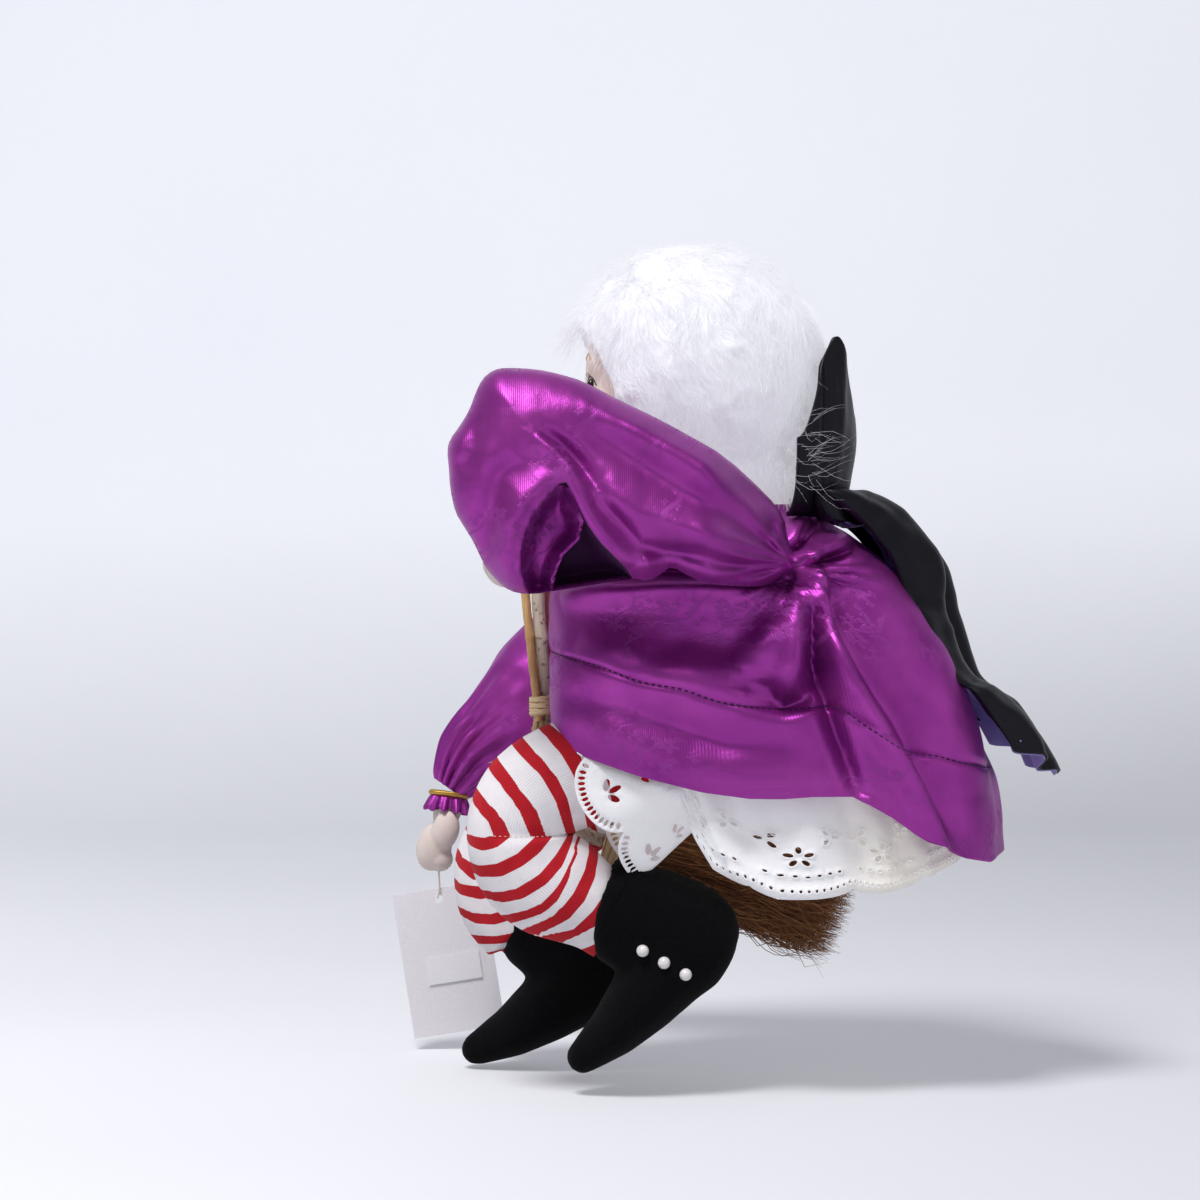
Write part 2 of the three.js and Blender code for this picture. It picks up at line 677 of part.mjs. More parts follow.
function handBody(wrist, fingers, thumbSide, grow = 0) {
  const palm = (t, share) => ({
    at: between(wrist, fingers, t),
    high: HAND_RADIUS * share,
    wide: (HAND_THICKNESS / 2) * Math.min(share * 1.2, 1.25),
  });
  const first = GAP / vec(fingers).distanceTo(vec(wrist));
  const mitten = loft([palm(first, 0.68), palm(0.3, 0.95), palm(0.62, 1.05), palm(HAND_LAST_RING, 0.85)], {
    grow,
    domeEnd: HAND_DOME,
  });
  const root = vec(between(wrist, fingers, 0.3)).addScaledVector(Y, thumbSide * HAND_THICKNESS * 0.35);
  const tip = root.clone().add(vec(fingers).sub(vec(wrist)).normalize().multiplyScalar(THUMB_LENGTH * 0.75));
  tip.addScaledVector(Y, thumbSide * THUMB_LENGTH * 0.3);
  const finger = (t, share) => ({
    at: root.clone().lerp(tip, t).toArray(),
    high: THUMB_RADIUS * share,
    wide: THUMB_RADIUS * share,
  });
  const domes = { domeStart: THUMB_RADIUS, domeEnd: THUMB_RADIUS };
  const thumb = loft([finger(0, 0.8), finger(0.6, 1)], { grow, sides: 8, ...domes });
  return mitten.add(thumb);
}

function alongRightArm(t, y, lift) {
  // A point beside the straight line from the far armhole to the wrist.
  const root = shoulder(1, ARMHOLE_OUTSET);
  return [mix(root[0], RIGHT_WRIST[0], t), y, mix(root[2], RIGHT_WRIST[2], t) + lift];
}

function aboveRightWrist(distance) {
  // A point up the arm from the far wrist, in line with the hand.
  const along = vec(RIGHT_FINGERS).sub(vec(RIGHT_WRIST)).normalize();
  return vec(RIGHT_WRIST).addScaledVector(along, -distance).toArray();
}

function rightArm(grow = 0, degrees = 0) {
  const root = shoulder(1);
  const side = RIGHT_WRIST[1] + SLEEVE_SIDE;
  const turn = alongRightArm(0.24, mix(root[1], side, 0.7), 0);
  const middle = alongRightArm(0.6, side, 6);
  const above = aboveRightWrist(RIGHT_CUFF_RUN);
  const arm = (at, share) => ({ at, high: ARM_RADIUS * share, wide: ARM_RADIUS * share });
  const end = WRIST_RADIUS / ARM_RADIUS;
  return loft(
    [
      arm(root, 1),
      arm(turn, 1.05),
      arm(middle, 1.08),
      arm(between(middle, above, 0.6), 1),
      arm(above, mix(end, 1, 0.4)),
      arm(RIGHT_WRIST, end),
    ],
    { grow, domeStart: ARM_RADIUS * 0.7, swing: { x: SHOULDER_X, z: SHOULDER_Z, degrees } },
  );
}

function sleeveLobe(route, radii, widths, { grow, degrees, dome }) {
  // One lobe of a puffed sleeve, stuffed out like the limbs.
  const curve = new THREE.CatmullRomCurve3(route.map(vec), false, 'centripetal');
  const list = [];
  for (let i = 0; i <= SLEEVE_RINGS; i += 1) {
    const t = i / SLEEVE_RINGS;
    list.push({ at: curve.getPoint(t).toArray(), high: smoothList(radii, t), wide: smoothList(widths, t) });
  }
  const swing = { x: SHOULDER_X, z: SHOULDER_Z, degrees };
  return loft(list, { grow, domeStart: dome.start, domeEnd: dome.end, swing });
}

// The middle of the near sleeve's cuff, which opens down towards the hand.
const LEFT_CUFF = [LEFT_WRIST[0] + 6, LEFT_WRIST[1] - 5, LEFT_WRIST[2] - 11];

function leftSleeve(grow = 0, degrees = 0) {
  const root = shoulder(-1, ARMHOLE_OUTSET);
  const puff = LEFT_PUFF_RADIUS;
  const wide = PUFF_WIDTH_RADIUS;
  const [elbowX, side, elbowZ] = LEFT_ELBOW;
  const upper = sleeveLobe(
    [
      root,
      leftArmTurn(),
      [mix(root[0], elbowX, 0.6), side, mix(root[2], elbowZ, 0.62)],
      [mix(root[0], elbowX, 0.97), side, elbowZ + 1],
    ],
    [ARMHOLE_RADIUS, puff * 0.86, puff * 1.1, puff * 0.98],
    [ARMHOLE_RADIUS, wide * 0.78, wide, wide * 0.98],
    { grow, degrees, dome: { start: 0, end: puff * 0.92 } },
  );
  const cuff = LEFT_CUFF_RADIUS;
  const lower = sleeveLobe(
    [
      [elbowX - 4, side, elbowZ - 6],
      [elbowX - 9, side + 3, elbowZ - 22],
      [LEFT_WRIST[0] + 2, mix(LEFT_WRIST[1], side, 0.45), LEFT_WRIST[2] - 1],
      LEFT_CUFF,
    ],
    [puff * 0.76, puff * 0.68, cuff * 1.35, cuff],
    [wide * 0.9, wide * 0.84, cuff * 1.2, cuff],
    { grow, degrees, dome: { start: puff * 0.4, end: 0 } },
  );
  return upper.add(lower);
}

function rightSleeve(grow = 0, degrees = 0) {
  const root = shoulder(1, ARMHOLE_OUTSET);
  const puff = RIGHT_PUFF_RADIUS;
  const wide = PUFF_WIDTH_RADIUS;
  const side = RIGHT_WRIST[1] + SLEEVE_SIDE;
  const cuff = WRIST_RADIUS + GAP + CLOTH;
  return sleeveLobe(
    [
      root,
      alongRightArm(0.24, mix(root[1], side, 0.7), 4),
      alongRightArm(0.48, side, 9),
      alongRightArm(0.72, side, 12),
      aboveRightWrist(RIGHT_CUFF_RUN),
      RIGHT_WRIST,
    ],
    [ARMHOLE_RADIUS, puff * 0.72, puff, puff * 0.94, puff * 0.5, cuff],
    [ARMHOLE_RADIUS, wide * 0.7, wide * 0.96, wide, wide * 0.66, cuff],
    { grow, degrees, dome: { start: 0, end: 0 } },
  );
}

function frillBody(wrist, fingers) {
  // A gathered ring of satin that flares from the wrist towards the hand.
  const along = vec(fingers).sub(vec(wrist)).normalize();
  const up = new THREE.Vector3().crossVectors(along, Y).normalize();
  const across = new THREE.Vector3().crossVectors(up, along);
  const start = vec(wrist).addScaledVector(along, 3 * GAP + 2 * BAND_RADIUS);
  return sheet(
    (u, v) => {
      const a = 2 * Math.PI * u;
      const wave = FRILL_WAVE_HEIGHT * v * Math.cos(a * FRILL_WAVES);
      const r = mix(WRIST_RADIUS + CLOTH, FRILL_RADIUS, Math.sqrt(v)) + wave;
      return start
        .clone()
        .addScaledVector(along, FRILL_DEPTH * v)
        .addScaledVector(up, r * Math.cos(a))
        .addScaledVector(across, r * Math.sin(a));
    },
    { across: 36, down: 1, thick: CLOTH * 0.6, closed: true },
  );
}

function wristBand(wrist, fingers) {
  const along = vec(fingers).sub(vec(wrist)).normalize();
  const shape = new THREE.TorusGeometry(WRIST_RADIUS + GAP + BAND_RADIUS, BAND_RADIUS, 6, 14);
  shape.applyQuaternion(new THREE.Quaternion().setFromUnitVectors(Z, along));
  const at = vec(wrist).addScaledVector(along, 2 * GAP + BAND_RADIUS);
  shape.translate(at.x, at.y, at.z);
  return fromGeometry(shape);
}

// Dress and petticoat: closed bells whose plan grows from the neck or waist to the hem.
function plan(u, front, back, half) {
  // One closed line round the body. u is 0 at the back and grows over the doll's right hand side.
  const a = 2 * Math.PI * u;
  const c = Math.cos(a);
  const s = Math.sin(a);
  const middle = (front + back) / 2;
  const square = (value) => Math.sign(value) * Math.abs(value) ** PLAN_SQUARENESS;
  return [middle + ((back - front) / 2) * square(c), half * square(s)];
}

// A skirt's front, back and half width, evenly spaced from its top to its hem.
const DRESS_LEVELS = {
  front: [NECK[0] - NECK_RADIUS - 4, ...shareOf(DRESS_FRONT, [0.328, 0.689, 0.885, 0.984, 1, 1])],
  back: [NECK[0] + NECK_RADIUS + 22, ...shareOf(DRESS_BACK, [0.59, 0.724, 0.83, 0.912, 0.975, 1])],
  half: [NECK_RADIUS + 7, ...shareOf(DRESS_HALF_WIDTH, [0.63, 0.714, 0.871, 0.964, 0.986, 1])],
};

function dressHem(x) {
  // The hem is high over the thighs, lower at the sides and lowest at the back.
  const side = mix(DRESS_HEM_FRONT, DRESS_HEM_SIDE, ease(x, DRESS_FRONT, DRESS_FRONT + DRESS_HEM_RISE_RUN));
  const fallStart = DRESS_BACK - DRESS_HEM_FALL_RUN;
  const back = ease(x, fallStart, mix(fallStart, DRESS_BACK, 0.65));
  return mix(side, DRESS_HEM_BACK, back);
}

function dressPoint(u, v) {
  const front = smoothList(DRESS_LEVELS.front, v);
  const back = smoothList(DRESS_LEVELS.back, v);
  const half = smoothList(DRESS_LEVELS.half, v);
  const [x, y] = plan(u, front, back, half);
  const a = 2 * Math.PI * u;
  const fold = DRESS_FOLD_HEIGHT * ease(v, 0.35, 1) * Math.cos(a * DRESS_FOLDS);
  const z = mix(DRESS_TOP, dressHem(x), v);
  return new THREE.Vector3(x + fold * Math.cos(a), y + fold * 0.5 * Math.sin(a), z);
}

function dressBody() {
  return sheet(dressPoint, { across: 4 * DRESS_FOLDS, down: 6, thick: CLOTH, closed: true });
}

const PETTICOAT_LEVELS = {
  front: [CHEST[0] - CHEST_DEPTH_RADIUS - 6, ...shareOf(PETTICOAT_FRONT, [0.577, 0.846, 0.962, 1])],
  back: [CHEST[0] + CHEST_DEPTH_RADIUS + 9, ...shareOf(PETTICOAT_BACK, [0.762, 0.889, 0.96, 1])],
  half: [CHEST_WIDTH_RADIUS + 5, ...shareOf(PETTICOAT_HALF_WIDTH, [0.953, 0.984, 1, 1])],
};

function petticoatHem(x) {
  const dip = ease(x, PETTICOAT_DIP_START, PETTICOAT_DIP_START + PETTICOAT_DIP_RUN);
  const low = mix(PETTICOAT_HEM_FRONT, PETTICOAT_HEM_LOW, dip);
  return mix(low, PETTICOAT_HEM_BACK, ease(x, PETTICOAT_BACK - PETTICOAT_RISE_RUN, PETTICOAT_BACK));
}

function petticoatPoint(u, v) {
  const front = smoothList(PETTICOAT_LEVELS.front, v);
  const back = smoothList(PETTICOAT_LEVELS.back, v);
  const half = smoothList(PETTICOAT_LEVELS.half, v);
  const [x, y] = plan(u, front, back, half);
  const a = 2 * Math.PI * u;
  const fold = PETTICOAT_FOLD_HEIGHT * v * Math.cos(a * DRESS_FOLDS);
  const z = mix(PETTICOAT_TOP, petticoatHem(x), v);
  return new THREE.Vector3(x + fold * Math.cos(a), y + fold * 0.5 * Math.sin(a), z);
}

function petticoatBody() {
  return sheet(petticoatPoint, { across: 3 * DRESS_FOLDS, down: 5, thick: CLOTH * 0.6, closed: true });
}

// Cape: its middle line rises behind the collar, then falls outside the dress to a point at the back.
const CAPE_LINING_STEP = CAPE_CLOTH + GAP * 1.5;
const CAPE_TOP = COLLAR_FOOT - COLLAR_CLOTH - GAP;
const CAPE_TOP_RADIUS = COLLAR_FOOT_RADIUS + CAPE_STAND_OFF;
const CAPE_TOP_HALF_WIDTH = CAPE_TOP_RADIUS * Math.sin(rad(CAPE_HALF_ANGLE));
const CAPE_LINE = {
  x: [
    NECK[0] + COLLAR_SET_BACK + CAPE_TOP_RADIUS,
    ...shareOf(CAPE_REACH, [0.485, 0.595, 0.681, 0.724, 0.791, 0.902, 1]),
  ],
  z: [CAPE_TOP, ...shareOf(CAPE_HEM, [0.502, 0.552, 0.632, 0.74, 0.848, 0.897, 1])],
};

const CAPE_GRID = { across: 16, down: CAPE_LINE.x.length - 1, closed: false };

function capePoint(u, v) {
  const across = 2 * u - 1;
  const half = mix(CAPE_TOP_HALF_WIDTH, CAPE_HEM_HALF_WIDTH, Math.sqrt(v));
  const spread = across * rad(CAPE_HALF_ANGLE);
  const bow = half / Math.sin(rad(CAPE_HALF_ANGLE));
  const fold = CAPE_FOLD_HEIGHT * ease(v, 0.1, 0.7) * Math.cos(across * Math.PI * CAPE_FOLDS);
  const x = smoothList(CAPE_LINE.x, v) - bow * (1 - Math.cos(spread)) + fold;
  const z = smoothList(CAPE_LINE.z, v) - CAPE_TIP_DROP * v * v * (1 - Math.abs(across));
  return new THREE.Vector3(x, bow * Math.sin(spread), z);
}

function capeBody() {
  return sheet(capePoint, { ...CAPE_GRID, thick: CAPE_CLOTH });
}

function liningBody() {
  // The lining has the cape's own folds, a cloth and a gap further in.
  return sheet(capePoint, { ...CAPE_GRID, thick: CAPE_CLOTH * 0.6, inset: CAPE_LINING_STEP });
}

function collarBody() {
  // It stands round the back of the neck and rises to a point at each side.
  return sheet(
    (u, v) => {
      const across = 2 * u - 1;
      const a = across * rad(COLLAR_HALF_ANGLE);
      const side = Math.abs(across);
      const rise = mix(COLLAR_BACK_TOP, COLLAR_TIP, ease(side, 0.1, 0.62));
      const top = rise - COLLAR_POINT_DROP * ease(side, 0.6, 1);
      const r = mix(COLLAR_FOOT_RADIUS, COLLAR_RADIUS, Math.sqrt(v)) - COLLAR_LEAN * v * v;
      const x = NECK[0] + COLLAR_SET_BACK + r * Math.cos(a);
      return new THREE.Vector3(x, r * Math.sin(a), mix(COLLAR_FOOT, top, v));
    },
    { across: 14, down: 4, thick: COLLAR_CLOTH, closed: false },
  );
}

// Broom.
function brushFrame() {
  const along = new THREE.Vector3(Math.cos(rad(BRUSH_FALL)), 0, -Math.sin(rad(BRUSH_FALL)));
  const up = new THREE.Vector3(-along.z, 0, along.x);
  return { at: vec(BRUSH_NECK), along, up };
}

function brushPoint(along, up, across) {
  const frame = brushFrame();
  const point = frame.at.clone().addScaledVector(frame.along, along);
  return point.addScaledVector(frame.up, up).addScaledVector(Y, across);
}

function bristleBody(index) {
  // A slice of the backing whose end face is a grid, with each cell drawn out to one four-sided strand.
  const pitch = BRUSH_NECK_HEIGHT / BRUSH_NODES;
  const low = -BRUSH_NECK_HEIGHT / 2 + index * pitch + GAP / 2;
  const high = low + pitch - GAP;
  const half = BRUSH_NECK_WIDTH / 2;
  const spread = BRUSH_END_HEIGHT / BRUSH_NECK_HEIGHT;
  const widen = BRUSH_END_WIDTH / BRUSH_NECK_WIDTH;
  const upAt = (r) => mix(low, high, r / BRISTLE_ROWS);
  const acrossAt = (c) => mix(-half, half, c / BRISTLE_COLUMNS);
  const points = [];
  const faces = [];
  const corner = (r, c) => r * (BRISTLE_COLUMNS + 1) + c;
  for (let r = 0; r <= BRISTLE_ROWS; r += 1) {
    for (let c = 0; c <= BRISTLE_COLUMNS; c += 1) {
      points.push(brushPoint(BRUSH_BACKING_LENGTH, upAt(r), acrossAt(c)));
    }
  }
  for (let r = 0; r < BRISTLE_ROWS; r += 1) {
    for (let c = 0; c < BRISTLE_COLUMNS; c += 1) {
      const row = index * BRISTLE_ROWS + r;
      const ragged = BRISTLE_RAGGED * (0.7 * Math.sin(row * 2.3 + c * 1.7) + 0.3 * Math.sin(row * 5.1 - c * 3.3));
      const tip = points.length;
      const length = BRUSH_LENGTH - BRISTLE_RAGGED + ragged;
      points.push(brushPoint(length, upAt(r + 0.5) * spread, acrossAt(c + 0.5) * widen));
      const ring = [corner(r, c), corner(r, c + 1), corner(r + 1, c + 1), corner(r + 1, c)];
      ring.forEach((from, k) => faces.push([from, ring[(k + 1) % 4], tip]));
    }
  }
  const back = points.length;
  for (const [up, across] of [[low, -half], [low, half], [high, half], [high, -half]]) {
    points.push(brushPoint(0, up, across));
  }
  const edges = [[], [], [], []];
  for (let c = 0; c <= BRISTLE_COLUMNS; c += 1) {
    edges[0].push(corner(0, c));
    edges[2].push(corner(BRISTLE_ROWS, BRISTLE_COLUMNS - c));
  }
  for (let r = 0; r <= BRISTLE_ROWS; r += 1) {
    edges[1].push(corner(r, BRISTLE_COLUMNS));
    edges[3].push(corner(BRISTLE_ROWS - r, 0));
  }
  edges.forEach((edge, k) => {
    const from = back + k;
    for (let i = 0; i + 1 < edge.length; i += 1) faces.push([from, edge[i + 1], edge[i]]);
    faces.push([from, back + ((k + 1) % 4), edge[edge.length - 1]]);
  });
  faces.push([back, back + 2, back + 1], [back, back + 3, back + 2]);
  return solid(points, faces);
}

function brushTieBody() {
  // A flat wound ring round the four slices of the backing.
  const slab = (grow, from, to) => {
    const halfUp = BRUSH_NECK_HEIGHT / 2 + grow;
    const halfAcross = BRUSH_NECK_WIDTH / 2 + grow;
    const stations = [from, to].map((along) => ({
      at: brushPoint(along, 0, 0).toArray(),
      high: halfUp * Math.SQRT2,
      wide: halfAcross * Math.SQRT2,
    }));
    return loftSquare(stations);
  };
  const start = (BRUSH_BACKING_LENGTH - BRUSH_TIE_LENGTH) / 2;
  return slab(GAP + BRUSH_TIE_WALL, start, start + BRUSH_TIE_LENGTH).subtract(
    slab(GAP, start - 2, start + BRUSH_TIE_LENGTH + 2),
  );
}

function loftSquare(stations) {
  const frame = brushFrame();
  const points = [];
  for (const s of stations) {
    for (let k = 0; k < 4; k += 1) {
      const a = (2 * Math.PI * k) / 4 + Math.PI / 4;
      points.push(
        vec(s.at).addScaledVector(frame.up, s.high * Math.cos(a)).addScaledVector(Y, s.wide * Math.sin(a)),
      );
    }
  }
  const faces = [[0, 1, 2], [0, 2, 3], [4, 6, 5], [4, 7, 6]];
  for (let k = 0; k < 4; k += 1) {
    const n = (k + 1) % 4;
    faces.push([k, n + 4, n], [k, k + 4, n + 4]);
  }
  return solid(points, faces);
}

function reedBody(top, end, grow = 0) {
  return tube([top, end], REED_RADIUS + grow, 1);
}

function stickBody(grow = 0) {
  // The stick runs straight into the brush, a gap short of it.
  const ends = [-STICK_END_RUN, -GAP].map((along) => brushPoint(along, 0, 0).toArray());
  return tube([...STICK_ROUTE, ...ends], STICK_RADIUS + grow, 16);
}

function bindingBody() {
  const middle = vec(between(REED_FRONT_END, REED_BACK_END, 0.5));
  const half = Math.abs(REED_FRONT_END[0] - REED_BACK_END[0]) / 2 + REED_RADIUS;
  const deep = REED_BACK_END[1] / 2 + REED_RADIUS;
  const ring = (grow, from, to) =>
    loft(
      [from, to].map((z) => ({
        at: [middle.x, middle.y, z],
        high: half * 1.32 + grow,
        wide: deep * 1.42 + grow,
      })),
    );
  const bottom = BINDING_TOP - BINDING_LENGTH;
  return ring(BINDING_WALL, bottom, BINDING_TOP).subtract(ring(0, bottom - 2, BINDING_TOP + 2));
}

// Tag, thread and sticker hang below the far hand.
function tagTop() {
  // The tip of the far hand, where the thread is sewn in.
  const along = vec(RIGHT_FINGERS).sub(vec(RIGHT_WRIST)).normalize();
  return vec(between(RIGHT_WRIST, RIGHT_FINGERS, HAND_LAST_RING)).addScaledVector(along, HAND_DOME);
}

function tagPlate() {
  const outline = new THREE.Shape();
  const half = TAG_WIDTH / 2;
  outline.moveTo(-half, TAG_HOLE_INSET - TAG_HEIGHT);
  outline.lineTo(half, TAG_HOLE_INSET - TAG_HEIGHT);
  outline.lineTo(half, TAG_HOLE_INSET - 6);
  outline.lineTo(half - 6, TAG_HOLE_INSET);
  outline.lineTo(-half, TAG_HOLE_INSET);
  outline.closePath();
  const hole = new THREE.Path();
  hole.absarc(0, 0, TAG_HOLE_RADIUS, 0, 2 * Math.PI, true);
  outline.holes.push(hole);
  const cardboard = { depth: TAG_THICKNESS, bevelEnabled: false, curveSegments: 6 };
  const shape = new THREE.ExtrudeGeometry(outline, cardboard);
  shape.translate(0, 0, -TAG_THICKNESS / 2);
  return placeTag(shape);
}

function placeTag(shape) {
  shape.rotateX(Math.PI / 2);
  shape.rotateY(-rad(TAG_TURN));
  const at = tagTop();
  shape.translate(at.x, at.y, at.z - THREAD_DROP);
  return fromGeometry(shape);
}

function stickerPlate() {
  const shape = new THREE.BoxGeometry(STICKER_WIDTH, STICKER_HEIGHT, STICKER_THICKNESS);
  shape.translate(2, -STICKER_DROP, TAG_THICKNESS / 2 + GAP + STICKER_THICKNESS / 2);
  return placeTag(shape);
}

function threadBody() {
  // The thread goes from the hand through the tag's hole and back to the hand.
  const top = tagTop();
  const hang = THREAD_RADIUS + GAP + TAG_THICKNESS / 2;
  const low = top.z - THREAD_DROP + TAG_HOLE_RADIUS - THREAD_RADIUS - GAP;
  const side = THREAD_SPREAD / 2;
  const start = top.z - GAP;
  return tube(
    [
      [top.x, top.y - side, start],
      [top.x, top.y - hang - 0.6, mix(start, low, 0.7)],
      [top.x, top.y - hang, low],
      [top.x, top.y, low - 0.9],
      [top.x, top.y + hang, low],
      [top.x, top.y + hang + 0.6, mix(start, low, 0.7)],
      [top.x, top.y + side, start],
    ],
    THREAD_RADIUS,
    18,
  );
}

// Space that moving pieces need in their neighbours, from one end of their swing to the other.
const joined = (bodies) => bodies.reduce((all, next) => all.add(next));
const legEnds = [LEG_SWING_BACK, 0];
const legSwings = [LEG_SWING_BACK, LEG_SWING_BACK / 2, 0];
const leftArmEnds = [0, LEFT_ARM_LIFT];
const rightArmEnds = [RIGHT_ARM_DROP, 0, RIGHT_ARM_LIFT / 2, RIGHT_ARM_LIFT];
const headRoom = joined([-HEAD_TURN, HEAD_TURN].map((turn) => headBody(GAP + SWING_ROOM, turn)));
const legAt = (leg, degrees) => legBody(leg, GAP + SWING_ROOM, degrees);
const legRoom = joined(LEGS.flatMap((leg) => legEnds.map((degrees) => legAt(leg, degrees))));
const armRoom = joined([
  ...leftArmEnds.map((degrees) => leftUpperArm(GAP + SWING_ROOM, degrees)),
  ...rightArmEnds.map((degrees) => rightArm(GAP + 2 * SWING_ROOM, degrees)),
]);
const sleeveRoom = joined([
  ...leftArmEnds.map((degrees) => leftSleeve(GAP + SWING_ROOM, degrees)),
  ...rightArmEnds.map((degrees) => rightSleeve(GAP + SWING_ROOM, degrees)),
]);
const pantaloonAt = (leg, degrees) => pantaloonSolid(leg, PANTALOON_EASE + GAP, PANTALOON_ROOM_RINGS, degrees);
const pantaloonRoom = joined(LEGS.flatMap((leg) => legEnds.map((degrees) => pantaloonAt(leg, degrees))));
const torsoSwept = torsoBody(GAP + PANTALOON_ROOM);
const rootAt = (leg, degrees) => thighRoot(leg, GAP + SWING_ROOM, degrees);
const thighRoom = joined(LEGS.flatMap((leg) => legSwings.map((degrees) => rootAt(leg, degrees))));
const torso = cut(torsoBody(), headRoom, armRoom, thighRoom);

add('torso', torso, MUSLIN);
add('head', headBody(), MUSLIN);
add('wig', wigBody(), MOHAIR);
for (const [name, side] of [['left_eye', -1], ['right_eye', 1]]) {
  const at = onFace((side * EYE_SPACING) / 2, HEAD_CENTRE[2] - EYE_DROP);
  const ball = ellipsoid(at, [EYE_RADIUS, EYE_RADIUS, EYE_RADIUS], SMALL);
  add(name, cut(ball, headBody(GAP)), EYE_BLACK);
}
const noseAt = onFace(0, HEAD_CENTRE[2] - NOSE_DROP);
const noseBall = ellipsoid(noseAt, [NOSE_RADIUS, NOSE_RADIUS * 0.8, NOSE_RADIUS * 0.8], SMALL);
add('nose', cut(noseBall, headBody(GAP)), MUSLIN);

const broomRoom = joined([
  stickBody(GAP + BROOM_ROOM),
  reedBody(REED_FRONT_TOP, REED_FRONT_END, GAP + BROOM_ROOM),
  reedBody(REED_BACK_TOP, REED_BACK_END, GAP + BROOM_ROOM),
]);
const dress = cut(dressBody(), torsoBody(GAP), armRoom, sleeveRoom, legRoom, pantaloonRoom, broomRoom);
add('dress', dress, PURPLE_SATIN);
add('petticoat', cut(petticoatBody(), torsoBody(GAP), legRoom, pantaloonRoom, broomRoom), WHITE_COTTON);
add('cape', capeBody(), BLACK_SATIN);
add('cape_lining', liningBody(), LAVENDER);
add('cape_collar', collarBody(), BLACK_SATIN);

add('left_upper_arm', leftUpperArm(), MUSLIN);
add('left_forearm', cut(leftForearm(), leftUpperArm(GAP)), MUSLIN);
add('left_hand', cut(handBody(LEFT_WRIST, LEFT_HAND_REACH, 1), leftForearm(GAP)), MUSLIN);
const leftHand = handBody(LEFT_WRIST, LEFT_HAND_REACH, 1, GAP);
const cuffHollow = ellipsoid(LEFT_CUFF, [LEFT_CUFF_RADIUS - CLOTH, LEFT_CUFF_RADIUS - CLOTH, LEFT_CUFF_RADIUS]);
add('left_sleeve', cut(leftSleeve(), leftUpperArm(GAP), leftForearm(GAP), leftHand, cuffHollow), PURPLE_SATIN);
add('right_arm', rightArm(), MUSLIN);
add('right_hand', cut(handBody(RIGHT_WRIST, RIGHT_FINGERS, -1), rightArm(GAP)), MUSLIN);
const rightHand = handBody(RIGHT_WRIST, RIGHT_FINGERS, -1, GAP);
add('right_sleeve', cut(rightSleeve(), rightArm(GAP), rightHand), PURPLE_SATIN);
add('right_wrist_band', wristBand(RIGHT_WRIST, RIGHT_FINGERS), GOLD);
add('right_cuff_frill', cut(frillBody(RIGHT_WRIST, RIGHT_FINGERS), rightHand), PURPLE_SATIN);

for (const leg of LEGS) {
  const body = legBody(leg);
  add(`${leg.name}_thigh`, cut(body, besideDart(leg, false)), KNIT);
  add(`${leg.name}_shin`, cut(body, besideDart(leg, true)), KNIT);
  add(`${leg.name}_boot`, cut(bootBody(leg), legBody(leg, GAP)), FELT);
  for (let i = 0; i < BUTTON_COUNT; i += 1) {
    add(`${leg.name}_boot_button_${i + 1}`, buttonBody(leg, i), PEARL);
  }
  add(`${leg.name}_pantaloon`, pantaloonBody(leg), WHITE_COTTON);
}

add('broom_stick', stickBody(), PALE_STICK);
add('broom_reed_front', reedBody(REED_FRONT_TOP, REED_FRONT_END), RATTAN);
add('broom_reed_back', reedBody(REED_BACK_TOP, REED_BACK_END), RATTAN);
add('broom_binding', bindingBody(), RAFFIA);
add('broom_brush_tie', brushTieBody(), RAFFIA);
for (let i = 0; i < BRUSH_NODES; i += 1) add(`broom_bristles_${i + 1}`, bristleBody(i), COIR);

add('hang_tag', tagPlate(), CARD);
add('price_sticker', stickerPlate(), CARD);
add('tag_string', threadBody(), THREAD);

export default doll;
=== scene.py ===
# %% [markdown]
# # A plush witch doll that rides a broom
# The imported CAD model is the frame: every piece made here sits where its solid sits and moves with the same body.
# X runs from the doll's front to its back, Y to its right hand side and Z up, in metres.

# %% Load the frame
import math
import random
import bmesh
import bpy
import numpy as np
from mathutils import Matrix, Vector, geometry, noise


